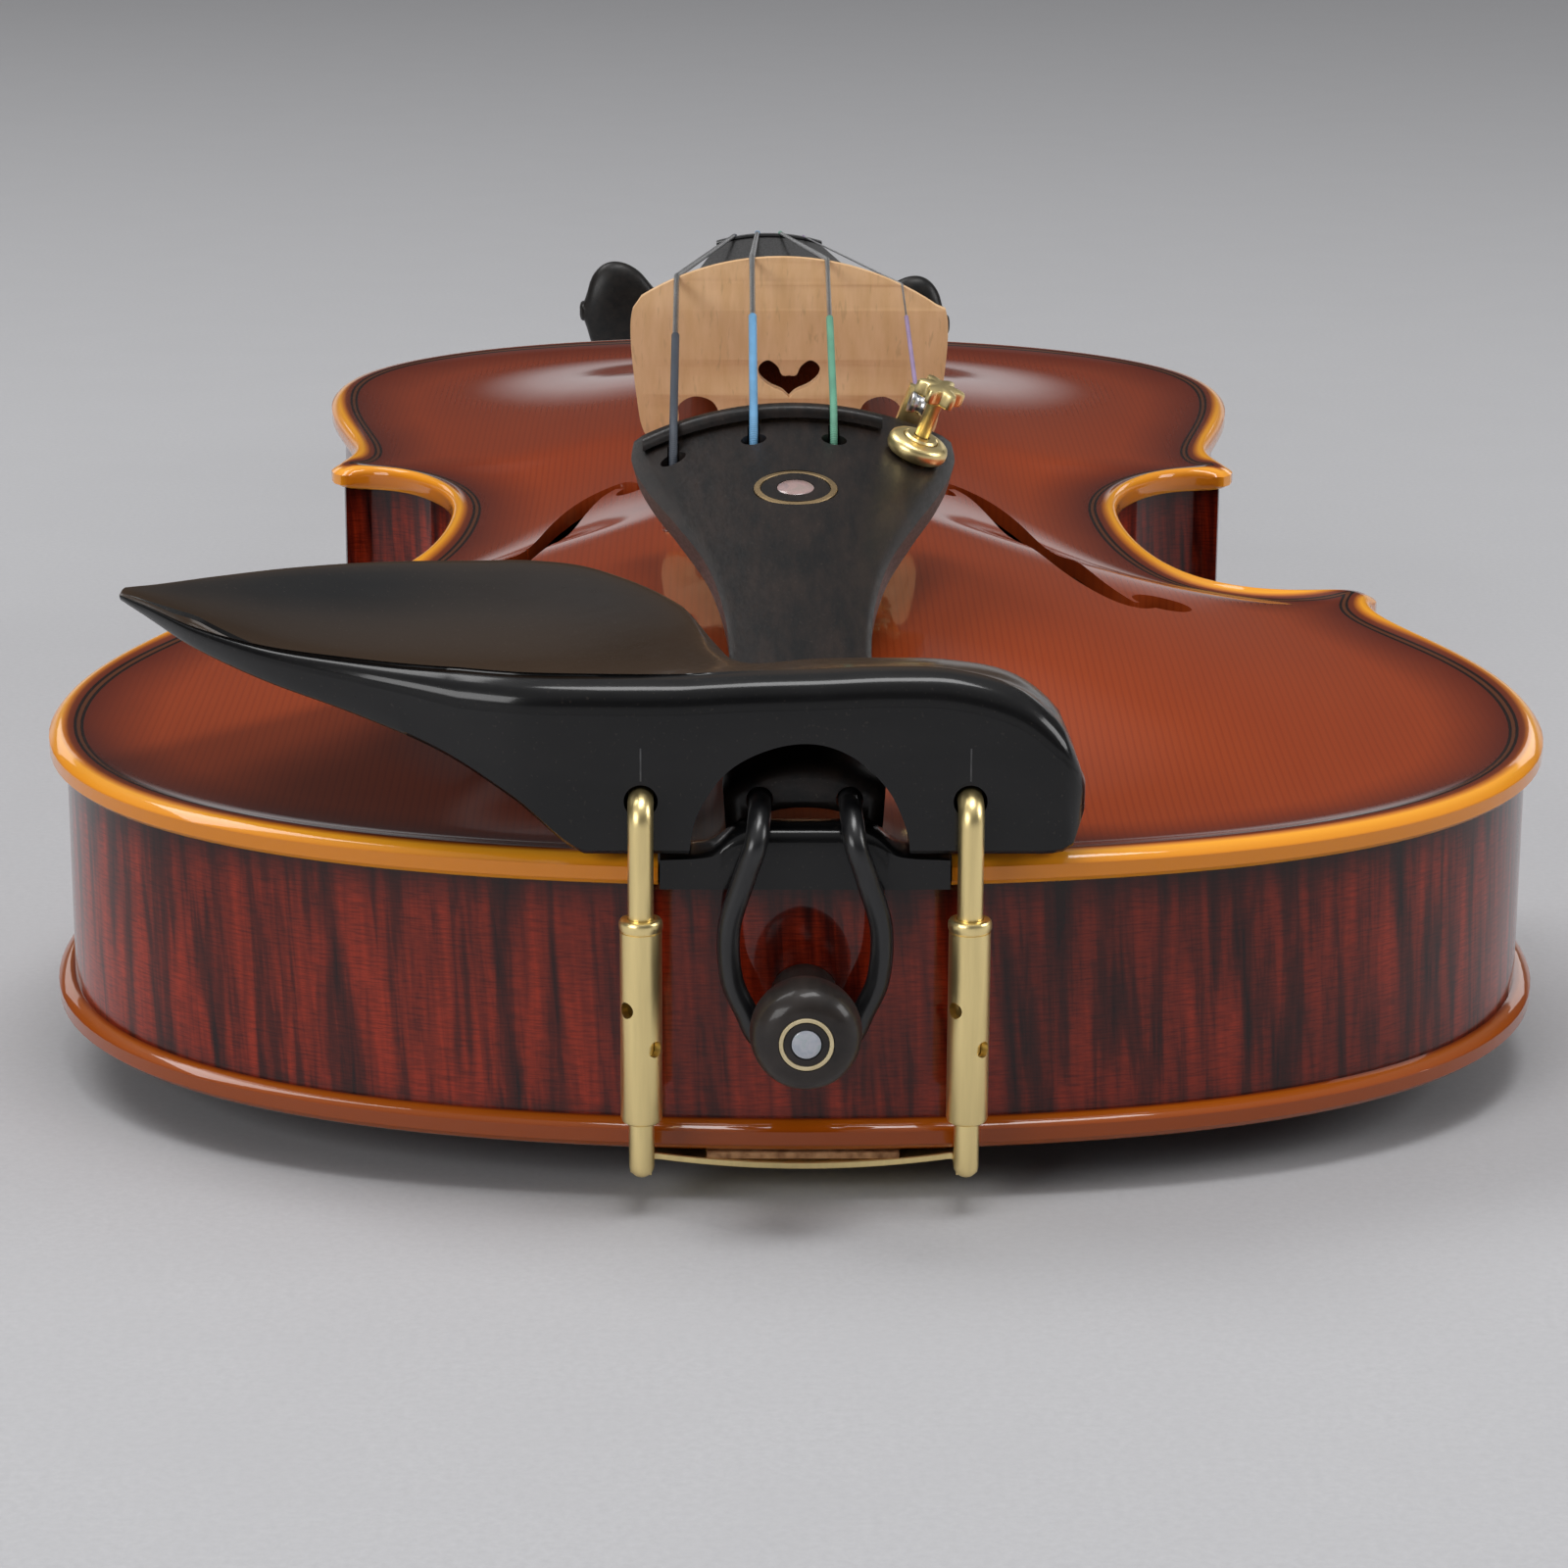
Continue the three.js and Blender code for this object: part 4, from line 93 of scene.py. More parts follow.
# From the instrument's own frame to the frame of the model, found from two of its joints
joints = {j["name"]: j for j in frame["joints"]}
down = Vector(joints["clamp_bracket_drop"]["axis"])
tilt = Matrix.Rotation(math.atan2(down.y, -down.z), 4, "X")
anchor = Vector((-CLAMP_X, CLAMP_Y, BARREL_JOINT_Z)) / MM_PER_M
place = Vector(joints["clamp_barrel_bass_turn"]["pos_m"]) - (tilt @ anchor)
TO_ROW = Matrix.Translation(place) @ tilt @ Matrix.Scale(1 / MM_PER_M, 4)
TO_OWN = TO_ROW.inverted()

MAIN = "instrument"
SIDES = ((1, "treble"), (-1, "bass"))


# Small helpers

def mix(a, b, t):
    return a + (b - a) * t


def clamp(x, low, high):
    return max(low, min(high, x))


def spread(a, b, steps):
    """Evenly spaced values from a to b, with both ends."""
    return [mix(a, b, k / steps) for k in range(steps + 1)]


def v3(x, y, z):
    return Vector((x, y, z))


def ring_x(x, pairs):
    return [v3(x, y, z) for y, z in pairs]


def ring_y(y, pairs):
    return [v3(x, y, z) for x, z in pairs]


def heading_at(points, i):
    """Direction of a line at one of its points."""
    return (points[min(i + 1, len(points) - 1)] - points[max(i - 1, 0)]).normalized()


def bezier(points, steps):
    out = []
    for i in range(steps + 1):
        t = i / steps
        s = 1 - t
        p = s ** 3 * points[0] + 3 * s * s * t * points[1] + 3 * s * t * t * points[2] + t ** 3 * points[3]
        out.append(p)
    return out


def spline(points, steps):
    """Catmull-Rom curve through the points, with a number of steps for each span."""
    out = []
    for i in range(len(points) - 1):
        p = [points[clamp(i + k - 1, 0, len(points) - 1)] for k in range(4)]
        for k in range(steps):
            t = k / steps
            out.append(0.5 * (2 * p[1] + (p[2] - p[0]) * t + (2 * p[0] - 5 * p[1] + 4 * p[2] - p[3]) * t * t
                              + (3 * p[1] - p[0] - 3 * p[2] + p[3]) * t ** 3))
    return out + [points[-1].copy()]


def table_at(rows, share, column):
    """Value of a column at a share along a table whose first column rises."""
    for low, high in zip(rows, rows[1:]):
        if share <= high[0]:
            t = clamp((share - low[0]) / (high[0] - low[0]), 0, 1)
            return mix(low[column], high[column], t)
    return rows[-1][column]


def smooth_at(rows, share, column):
    """As table_at, but along a smooth curve through the rows."""
    for i, (low, high) in enumerate(zip(rows, rows[1:])):
        if share <= high[0] or i == len(rows) - 2:
            t = clamp((share - low[0]) / (high[0] - low[0]), 0, 1)
            before, after = rows[max(i - 1, 0)], rows[min(i + 2, len(rows) - 1)]
            slope_low = (high[column] - before[column]) / (high[0] - before[0])
            slope_high = (after[column] - low[column]) / (after[0] - low[0])
            span = high[0] - low[0]
            return (low[column] * (1 + 2 * t) * (1 - t) ** 2 + high[column] * t * t * (3 - 2 * t)
                    + span * (slope_low * t * (1 - t) ** 2 - slope_high * t * t * (1 - t)))
    return rows[-1][column]


def shade(mesh, smooth):
    """Smooth shading with sharp edges above an angle in degrees, or without any at 0."""
    mesh.shade_smooth()
    if smooth:
        mesh.set_sharp_from_angle(angle=math.radians(smooth))


def in_scene(name, data):
    obj = bpy.data.objects.new(name, data)
    bpy.context.scene.collection.objects.link(obj)
    return obj


def new_piece(name, mesh_data, replaces=None, body=MAIN, matrix=None, smooth=35, weld=None):
    """Makes an object from (points, faces, material indices, materials) in the instrument's frame or in a matrix's.

    It rides a body and takes the place of a node of the solids. Without a body it only cuts.
    """
    points, faces, indices, materials = mesh_data
    mesh = bpy.data.meshes.new(name)
    mesh.from_pydata([tuple(p) for p in points], [], faces)
    for material in materials:
        mesh.materials.append(material)
    mesh.polygons.foreach_set("material_index", indices)
    mesh.validate()
    obj = in_scene(name, mesh)
    bm = bmesh.new()
    bm.from_mesh(mesh)
    if weld:
        bmesh.ops.remove_doubles(bm, verts=bm.verts, dist=weld)
    bmesh.ops.recalc_face_normals(bm, faces=bm.faces)
    bm.to_mesh(mesh)
    bm.free()
    mesh.transform(TO_ROW @ matrix if matrix else TO_ROW)
    shade(mesh, smooth)
    if body:
        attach(obj, body)
        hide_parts(replaces)
    return obj


def settle(obj, smooth):
    """Applies an object's modifiers to its mesh."""
    depsgraph = bpy.context.evaluated_depsgraph_get()
    mesh = bpy.data.meshes.new_from_object(obj.evaluated_get(depsgraph), preserve_all_data_layers=True,
                                           depsgraph=depsgraph)
    obj.modifiers.clear()
    obj.data = mesh
    shade(mesh, smooth)


def carve(obj, shapes, smooth=35, matrix=None):
    """Cuts mesh data, given in the instrument's frame or in that of a matrix, out of an object."""
    for data in shapes:
        tool = new_piece("cutter", data, body=None, matrix=matrix, smooth=0)
        modifier = obj.modifiers.new("carve", "BOOLEAN")
        modifier.operation = "DIFFERENCE"
        modifier.solver = "MANIFOLD"
        modifier.object = tool
        settle(obj, smooth)
        bpy.data.objects.remove(tool)


def round_edges(obj, width, segments=2, angle=30, smooth=35):
    """Rounds the sharp edges of an object. Width in millimetres."""
    modifier = obj.modifiers.new("round", "BEVEL")
    modifier.width = width / MM_PER_M
    modifier.segments = segments
    modifier.limit_method = "ANGLE"
    modifier.angle_limit = math.radians(angle)
    settle(obj, smooth)


def skin(rings, materials=(), caps=True, loop=True, bands=None):
    """Quads between rings of equal length. Bands maps a row to a material index."""
    count = len(rings[0])
    points = [p for ring in rings for p in ring]
    faces = []
    indices = []
    for row in range(len(rings) - 1):
        for i in range(count if loop else count - 1):
            a = row * count + i
            b = row * count + (i + 1) % count
            faces.append((a, b, b + count, a + count))
            indices.append((bands or {}).get(row, 0))
    if caps:
        faces.append(tuple(range(count))[::-1])
        last = (len(rings) - 1) * count
        faces.append(tuple(range(last, last + count)))
        indices += [0, 0]
    return points, faces, indices, materials


def merged(*parts):
    """One mesh from several."""
    points, faces, indices = [], [], []
    for p, f, k, materials in parts:
        start = len(points)
        points += p
        faces += [tuple(i + start for i in face) for face in f]
        indices += k
    return points, faces, indices, parts[0][3]


# Turns, in radians, of the rings that round the end of a tube
END_TURNS = (0.3, 0.65, 1.0, 1.3, 1.5)


def tube_data(path, radius, materials=(), sides=16, round_ends=False, bands=None):
    """Round bar along a path, with one radius or one for each point."""
    radii = list(radius) if isinstance(radius, (list, tuple)) else [radius] * len(path)
    path = list(path)
    if round_ends:
        start, end = (path[0] - path[1]).normalized(), (path[-1] - path[-2]).normalized()
        head = [(path[0] + start * radii[0] * math.sin(t), radii[0] * math.cos(t)) for t in reversed(END_TURNS)]
        tail = [(path[-1] + end * radii[-1] * math.sin(t), radii[-1] * math.cos(t)) for t in END_TURNS]
        path = [p for p, _ in head] + path + [p for p, _ in tail]
        radii = [r for _, r in head] + radii + [r for _, r in tail]
    turns = [2 * math.pi * (k + 0.5) / sides for k in range(sides)]
    rings = []
    up = None
    for i, (centre, reach) in enumerate(zip(path, radii)):
        tangent = heading_at(path, i)
        if up is None:
            up = v3(0, 0, 1) if abs(tangent.z) < 0.5 else v3(0, 1, 0)
        up = (up - tangent * up.dot(tangent)).normalized()
        side = tangent.cross(up)
        rings.append([centre + side * math.cos(t) * reach + up * math.sin(t) * reach for t in turns])
    return skin(rings, materials, bands=bands)


def bore(start, end, radius, sides):
    """Straight round shape from one end to the other."""
    return tube_data([Vector(start), Vector(end)], radius, sides=sides)


def lathe_data(profile, axis, materials=(), sides=48, centre=(0, 0, 0), bands=None):
    """Turned shape from pairs of radius and place along the axis. A closed profile makes a ring."""
    closed = (Vector(profile[0]) - Vector(profile[-1])).length < 1e-9
    rows = profile[:-1] if closed else profile
    points, rings = [], []
    for radius, along in rows:
        ring = []
        for k in range(sides if radius > 1e-6 else 1):
            turn = 2 * math.pi * k / sides
            c, s = radius * math.cos(turn), radius * math.sin(turn)
            p = {"x": v3(along, c, s), "y": v3(c, along, s), "z": v3(c, s, along)}[axis]
            ring.append(len(points))
            points.append(p + Vector(centre))
        rings.append(ring)
    faces, indices = [], []
    pairs = list(zip(rings, rings[1:])) + ([(rings[-1], rings[0])] if closed else [])
    for row, (low, high) in enumerate(pairs):
        for k in range(sides):
            a, b = low[k % len(low)], low[(k + 1) % len(low)]
            c, d = high[(k + 1) % len(high)], high[k % len(high)]
            face = []
            for corner in (a, b, c, d):
                if corner not in face:
                    face.append(corner)
            if len(face) > 2:
                faces.append(tuple(face))
                indices.append((bands or {}).get(row, 0))
    return points, faces, indices, materials


def prism(outline, low, high, materials=()):
    return skin([[v3(x, y, z) for x, y in outline] for z in (low, high)], materials)


def box_data(low, high, materials=()):
    outline = [(low[0], low[1]), (high[0], low[1]), (high[0], high[1]), (low[0], high[1])]
    return prism(outline, low[2], high[2], materials)


# Materials

# Length after which Blender's band waves repeat, at a scale of 1
WAVE_LENGTH = 0.314


def shader(name, **settings):
    material = bpy.data.materials.new(name)
    material.use_nodes = True
    tree = material.node_tree
    for key, value in settings.items():
        tree.nodes["Principled BSDF"].inputs[key.replace("_", " ")].default_value = value
    return material, tree


def finished(material, colour, height=None, strength=0.0, distance=0.0, rough=None):
    """Links the colour of a material, and its bump height and roughness where they are given."""
    tree = material.node_tree
    bsdf = tree.nodes["Principled BSDF"]
    tree.links.new(colour, bsdf.inputs["Base Color"])
    if rough is not None:
        tree.links.new(rough, bsdf.inputs["Roughness"])
    if height is not None:
        relief = node(tree, "ShaderNodeBump", {"Height": height, "Strength": strength, "Distance": distance})
        tree.links.new(relief.outputs["Normal"], bsdf.inputs["Normal"])
    return material


def node(tree, kind, inputs=None, **options):
    made = tree.nodes.new(kind)
    for key, value in options.items():
        setattr(made, key, value)
    for key, value in (inputs or {}).items():
        if isinstance(value, bpy.types.NodeSocket):
            tree.links.new(value, made.inputs[key])
        else:
            made.inputs[key].default_value = value
    return made


def place_in(tree, source="Object"):
    return node(tree, "ShaderNodeTexCoord").outputs[source]


def along_axis(tree, axis, source="Object"):
    return node(tree, "ShaderNodeSeparateXYZ", {"Vector": place_in(tree, source)}).outputs[axis]


def mapped(tree, vector, scale, rotation=(0, 0, 0)):
    return node(tree, "ShaderNodeMapping", {"Vector": vector, "Scale": scale, "Rotation": rotation}).outputs["Vector"]


def coordinates(tree, scale=(1, 1, 1), rotation=(0, 0, 0)):
    return mapped(tree, place_in(tree), scale, rotation)


def noise(tree, vector, scale=1, detail=3, roughness=0.5, distortion=0):
    return node(tree, "ShaderNodeTexNoise", {"Vector": vector, "Scale": scale, "Detail": detail,
                                             "Roughness": roughness, "Distortion": distortion}).outputs["Fac"]


def figure(tree, scale, detail=3, roughness=0.5, distortion=0):
    """Noise stretched along the axes of the piece."""
    return noise(tree, coordinates(tree, scale), 1, detail, roughness, distortion)


def ramp(tree, value, stops):
    made = node(tree, "ShaderNodeValToRGB", {"Fac": value})
    elements = made.color_ramp.elements
    while len(elements) < len(stops):
        elements.new(0.5)
    for element, (position, colour) in zip(elements, stops):
        element.position = position
        element.color = (*colour, 1) if isinstance(colour, tuple) else (colour, colour, colour, 1)
    return made.outputs["Color"]


def blend_colour(tree, factor, a, b, kind="MIX"):
    made = node(tree, "ShaderNodeMix", data_type="RGBA", blend_type=kind, clamp_factor=True)
    for index, value in ((0, factor), (6, a), (7, b)):
        if isinstance(value, bpy.types.NodeSocket):
            tree.links.new(value, made.inputs[index])
        else:
            made.inputs[index].default_value = (*value, 1) if isinstance(value, tuple) else value
    return made.outputs[2]


def tinted(tree, value, stops, under, over):
    """Lays one colour over another where a value passes the stops of a ramp."""
    return blend_colour(tree, ramp(tree, value, stops), under, over)


def dimmed(colour, share):
    return tuple(c * share for c in colour)


def maths(tree, kind, a, b=0.0, limit=False):
    return node(tree, "ShaderNodeMath", {0: a, 1: b}, operation=kind, use_clamp=limit).outputs[0]


def attribute(tree, name):
    return node(tree, "ShaderNodeAttribute", attribute_name=name).outputs["Fac"]


def run_in_metres(tree):
    """Length along a bent piece, which its points carry in millimetres."""
    return maths(tree, "MULTIPLY", attribute(tree, "run"), 0.001)


def band_wave(tree, vector, period, profile, **inputs):
    """Waves across X, one for each period in metres."""
    return node(tree, "ShaderNodeTexWave", {"Vector": vector, "Scale": WAVE_LENGTH / period, **inputs},
                wave_type="BANDS", bands_direction="X", wave_profile=profile).outputs["Fac"]


# Colours of the edge, and the purfling's strips, by distance from the outline in centimetres
RIM_STOPS = [(0.0, (0.55, 0.145, 0.006)), (0.05, (0.86, 0.31, 0.012)), (0.17, (0.95, 0.4, 0.022)),
             (0.23, (0.58, 0.17, 0.012)), (0.29, (0.18, 0.032, 0.008)), (0.4, (0.11, 0.016, 0.007))]
PURFLING_BLACK = [(0.36, 0.0), (0.372, 1.0), (0.402, 1.0), (0.412, 0.0), (0.452, 0.0), (0.462, 1.0), (0.492, 1.0),
                  (0.504, 0.0)]
PURFLING_PALE = [(0.404, 0.0), (0.414, 1.0), (0.45, 1.0), (0.46, 0.0)]


def rimmed(tree, colour, wear=(1, 1, 1)):
    """Golden rubbed edge, purfling and a darker channel, by distance from the outline in millimetres."""
    rim = attribute(tree, "rim")
    share = maths(tree, "MULTIPLY", rim, 0.1)
    edge = ramp(tree, share, [(place, tuple(c * w for c, w in zip(tint, wear))) for place, tint in RIM_STOPS])
    wander = noise(tree, coordinates(tree), 60, 3)
    reach = maths(tree, "MULTIPLY", maths(tree, "SUBTRACT", rim, 4.5), 0.09)
    reach = maths(tree, "ADD", reach, maths(tree, "MULTIPLY", maths(tree, "SUBTRACT", wander, 0.5), 0.25))
    field = blend_colour(tree, maths(tree, "MAXIMUM", reach, 0.0, True), edge, colour)
    field = tinted(tree, share, PURFLING_PALE, field, (0.11, 0.034, 0.012))
    return tinted(tree, share, PURFLING_BLACK, field, (0.012, 0.006, 0.004))


def varnished_spruce():
    material, tree = shader("varnished_spruce", Roughness=0.4, Specular_IOR_Level=0.08, Coat_Weight=1.0,
                            Coat_Roughness=0.07)
    lines = band_wave(tree, coordinates(tree, (1, 0.06, 0.4)), 0.00105, "SAW",
                      **{"Distortion": 2.0, "Detail": 2.0, "Detail Scale": 0.12, "Detail Roughness": 0.6})
    late = ramp(tree, lines, [(0.0, 0.25), (0.12, 1.0), (0.62, 1.0), (0.95, 0.12), (1.0, 0.25)])
    base = ramp(tree, figure(tree, (9, 4, 6), 4, 0.6), [(0.3, (0.27, 0.033, 0.006)), (0.7, (0.38, 0.057, 0.009))])
    fibre = figure(tree, (2600, 60, 400), 2, 0.7)
    dark = blend_colour(tree, maths(tree, "MULTIPLY", late, 0.9), (0.8, 0.72, 0.72), (1.0, 1.0, 1.0))
    colour = blend_colour(tree, 1.0, base, dark, "MULTIPLY")
    colour = blend_colour(tree, maths(tree, "MULTIPLY", fibre, 0.16), colour, (0.4, 0.1, 0.03))
    dust = noise(tree, coordinates(tree), 1500, 2, 0.8)
    return finished(material, rimmed(tree, colour), blend_colour(tree, 0.5, late, dust), 0.1, 0.0001)


def flame(tree, vector):
    """Curl of maple: broad soft stripes across the fibres, with finer ones inside them."""
    broad = noise(tree, vector, 1, 2, 0.45, 0.6)
    fine = noise(tree, vector, 2.4, 3, 0.6, 0.5)
    both = maths(tree, "ADD", maths(tree, "MULTIPLY", broad, 0.66), maths(tree, "MULTIPLY", fine, 0.34))
    return ramp(tree, both, [(0.34, 0.0), (0.45, 0.22), (0.54, 0.6), (0.68, 1.0)])


def varnished_maple(name, low, high, scale, slant, rim=False, bent=False):
    """Flamed maple. On a bent strip the flame follows its run, and the shade painted on its points darkens it."""
    material, tree = shader(name, Roughness=0.3, Specular_IOR_Level=0.05, Coat_Weight=0.75 if bent else 1.0,
                            Coat_Roughness=0.045)
    if bent:
        rise = along_axis(tree, "Z")
        lean = maths(tree, "ADD", run_in_metres(tree), maths(tree, "MULTIPLY", rise, slant))
        place = node(tree, "ShaderNodeCombineXYZ", {"X": lean, "Y": rise}).outputs["Vector"]
    else:
        place = coordinates(tree, rotation=(0, 0, slant))
    colour = blend_colour(tree, flame(tree, mapped(tree, place, scale)), low, high)
    fibres = noise(tree, mapped(tree, place, (300, 3500, 3500) if bent else (2600, 120, 2600)), 1, 3, 0.7)
    colour = tinted(tree, fibres, [(0.42, 0.0), (0.66, 0.55)], colour, dimmed(low, 0.35))
    cloud = figure(tree, (14, 9, 20), 3, 0.55)
    colour = tinted(tree, cloud, [(0.42, 0.0), (0.75, 0.6)], colour, dimmed(low, 0.5))
    # Painted shade: the ribs darken below the top's overhang, at their lower edge and on their inside
    if bent:
        gloom = maths(tree, "MULTIPLY", attribute(tree, "gloom"), 0.85)
        colour = blend_colour(tree, gloom, colour, (0.013, 0.003, 0.0025))
    if rim:
        colour = rimmed(tree, colour, (0.42, 0.23, 0.15))
    return finished(material, colour, figure(tree, (60, 60, 90), 2), 0.22, 0.0006)


def neck_maple():
    """Bare oiled maple in the hand's reach, varnished at the heel and the head."""
    material, tree = shader("neck_maple", Coat_Weight=0.35, Coat_Roughness=0.2)
    stripes = flame(tree, mapped(tree, coordinates(tree, rotation=(0, 0, 0.3)), (12, 210, 12)))
    bare = blend_colour(tree, stripes, (0.36, 0.17, 0.06), (0.52, 0.29, 0.12))
    dyed = blend_colour(tree, stripes, (0.06, 0.009, 0.005), (0.16, 0.024, 0.009))
    y = along_axis(tree, "Y")
    heel = node(tree, "ShaderNodeMapRange", {"Value": y, "From Min": 0.098, "From Max": 0.118, "To Min": 1.0,
                                             "To Max": 0.0}).outputs["Result"]
    top = node(tree, "ShaderNodeMapRange", {"Value": y, "From Min": 0.178, "From Max": 0.196}).outputs["Result"]
    colour = blend_colour(tree, maths(tree, "MAXIMUM", heel, top), bare, dyed)
    pores = figure(tree, (2600, 90, 2600), 3, 0.7)
    colour = tinted(tree, pores, [(0.45, 0.0), (0.7, 0.5)], colour, (0.05, 0.015, 0.006))
    return finished(material, colour, pores, 0.12, 0.0001, ramp(tree, pores, [(0.3, 0.3), (0.7, 0.5)]))


def ebony(name, low, high, roughness, grain, speckle=0.0, coat=0.0, painted_reflection=None):
    """Dark wood with streaks, pores and, where asked for, pale specks or a painted reflection: a tone laid on its faces
    that turn up and back.
    """
    material, tree = shader(name, Specular_IOR_Level=0.34 - 0.4 * coat, Coat_Weight=coat, Coat_Roughness=0.12)
    colour = tinted(tree, figure(tree, grain, 4, 0.65), [(0.35, 0.0), (0.72, 1.0)], low, high)
    pores = figure(tree, dimmed(grain, 5), 2, 0.8)
    # Painted reflection: a brown tone on the faces that turn up and back, set by their direction
    if painted_reflection:
        facing = node(tree, "ShaderNodeVectorMath", {0: place_in(tree, "Normal"), 1: (0, 0.5, 0.8)},
                      operation="DOT_PRODUCT").outputs["Value"]
        colour = tinted(tree, facing, [(0.52, 0.0), (0.8, 1.0)], colour, painted_reflection)
    if speckle:
        dust = noise(tree, coordinates(tree), 2300, 1, 0.5)
        colour = tinted(tree, dust, [(0.7, 0.0), (0.74, speckle)], colour, (0.13, 0.1, 0.08))
    rough = ramp(tree, pores, [(0.3, roughness - 0.05), (0.7, roughness + 0.08)])
    return finished(material, colour, pores, 0.08, 0.0001, rough)


def metal(name, colour, roughness):
    material, tree = shader(name, Metallic=1.0)
    fine = figure(tree, (900, 900, 60), 3, 0.6)
    tint = tinted(tree, fine, [(0.35, 0.0), (0.75, 0.5)], colour, dimmed(colour, 0.8))
    return finished(material, tint, fine, 0.05, 0.00006, ramp(tree, fine, [(0.3, roughness), (0.75, roughness + 0.12)]))


def nacre(name, tone):
    """Mother of pearl: waves of slightly different tints round one tone."""
    material, tree = shader(name, Roughness=0.22, Coat_Weight=0.6, Coat_Roughness=0.08)
    waves = figure(tree, (420, 260, 420), 4, 0.6, 1.2)
    tints = ((0.3, (0.76, 0.8, 0.86)), (0.48, (1.05, 0.98, 1.0)), (0.62, (0.86, 0.92, 0.9)), (0.8, (1.2, 1.14, 1.1)))
    stops = [(place, tuple(c * t for c, t in zip(tint, tone))) for place, tint in tints]
    return finished(material, ramp(tree, waves, stops))


def bare_wood(name, low, high, grain, flecks, roughness):
    material, tree = shader(name)
    streaks = figure(tree, grain, 4, 0.6)
    colour = tinted(tree, streaks, [(0.35, 0.0), (0.7, 1.0)], low, high)
    spots = figure(tree, dimmed(grain, 3), 2, 0.6, 0.4)
    colour = tinted(tree, spots, [(0.6, 0.0), (0.7, flecks)], colour, dimmed(low, 0.55))
    rough = ramp(tree, streaks, [(0.3, roughness), (0.7, roughness + 0.12)])
    return finished(material, colour, spots, 0.15, 0.0001, rough)


def cork_sheet():
    material, tree = shader("cork_sheet", Roughness=0.85)
    grains = node(tree, "ShaderNodeTexVoronoi", {"Vector": coordinates(tree, (900, 900, 900)), "Scale": 1.0})
    colour = ramp(tree, figure(tree, (700, 700, 700)),
                  [(0.3, (0.2, 0.09, 0.035)), (0.55, (0.42, 0.22, 0.1)), (0.8, (0.52, 0.3, 0.15))])
    return finished(material, colour, grains.outputs["Distance"], 0.5, 0.0003)


def thread(name, colour, period=0.00032, metallic=0.0, roughness=0.5):
    """Silk or flat wire laid round a string, one turn for each period in metres."""
    material, tree = shader(name, Metallic=metallic)
    along = node(tree, "ShaderNodeCombineXYZ", {"X": run_in_metres(tree)}).outputs["Vector"]
    turns = band_wave(tree, along, period, "SIN")
    mixed = tinted(tree, figure(tree, (500, 90, 500)), [(0.35, 0.0), (0.7, 1.0)], dimmed(colour, 0.75), colour)
    # Painted shade in the grooves between the turns
    mixed = tinted(tree, turns, [(0.0, 0.45), (0.4, 0.0)], mixed, dimmed(colour, 0.35))
    rough = ramp(tree, turns, [(0.0, roughness + 0.15), (1.0, roughness)])
    return finished(material, mixed, turns, 0.4, 0.00006, rough)


def cord_black():
    material, tree = shader("cord_black", Roughness=0.3, Coat_Weight=0.2, Coat_Roughness=0.15)
    colour = ramp(tree, figure(tree, (500, 500, 120)), [(0.3, (0.006, 0.006, 0.007)), (0.7, (0.016, 0.016, 0.017))])
    return finished(material, colour, figure(tree, (900, 900, 200), 2), 0.08, 0.0001)


def paper_floor():
    material, tree = shader("paper_floor")
    fine = figure(tree, (900, 900, 900), 4, 0.7)
    colour = tinted(tree, fine, [(0.3, 0.0), (0.7, 1.0)], (0.46, 0.46, 0.475), (0.52, 0.52, 0.535))
    colour = tinted(tree, figure(tree, (40, 40, 40), 3, 0.6), [(0.35, 0.0), (0.75, 0.4)], colour, (0.47, 0.47, 0.485))
    return finished(material, colour, fine, 0.12, 0.0002, ramp(tree, fine, [(0.2, 0.6), (0.8, 0.8)]))


CHIN_TONES = ((0.0042, 0.0042, 0.0046), (0.008, 0.0076, 0.0078), 0.32, (30, 90, 90), 0.12, 0.6)
TOP_WOOD = varnished_spruce()
BACK_WOOD = varnished_maple("varnished_back", (0.06, 0.008, 0.005), (0.2, 0.032, 0.011), (9, 190, 9), 0.12, rim=True)
RIB_WOOD = varnished_maple("varnished_ribs", (0.02, 0.0018, 0.0015), (0.44, 0.034, 0.0078), (330, 26, 14), 0.06,
                           bent=True)
HEAD_WOOD = varnished_maple("varnished_head", (0.05, 0.007, 0.005), (0.17, 0.026, 0.01), (14, 170, 30), 0.2)
NECK_WOOD = neck_maple()
CHIN_EBONY = ebony("ebony_polished", *CHIN_TONES)
# The dish's brown is a painted reflection on its upturned faces
DISH_EBONY = ebony("ebony_dished", *CHIN_TONES, painted_reflection=(0.05, 0.028, 0.014))
TURNED_EBONY = ebony("ebony_turned", (0.016, 0.013, 0.012), (0.036, 0.028, 0.024), 0.4, (160, 30, 160), coat=0.3)
TAIL_EBONY = ebony("ebony_grained", (0.0055, 0.005, 0.005), (0.022, 0.014, 0.011), 0.36, (420, 22, 420), 0.2)
BOARD_EBONY = ebony("ebony_board", (0.006, 0.0057, 0.0057), (0.017, 0.014, 0.012), 0.36, (600, 20, 600), 0.1)
BRASS = metal("gilt_brass", (1.0, 0.8, 0.38), 0.29)
DULL_GOLD = metal("dull_gold", (0.42, 0.3, 0.16), 0.4)
STEEL = metal("plain_steel", (0.6, 0.6, 0.61), 0.25)
CREAM = bare_wood("cream_ring", (0.62, 0.5, 0.28), (0.74, 0.62, 0.38), (300, 300, 300), 0.2, 0.3)
NACRE = nacre("nacre_grey", (0.46, 0.5, 0.54))
PINK_NACRE = nacre("nacre_pink", (0.4, 0.28, 0.26))
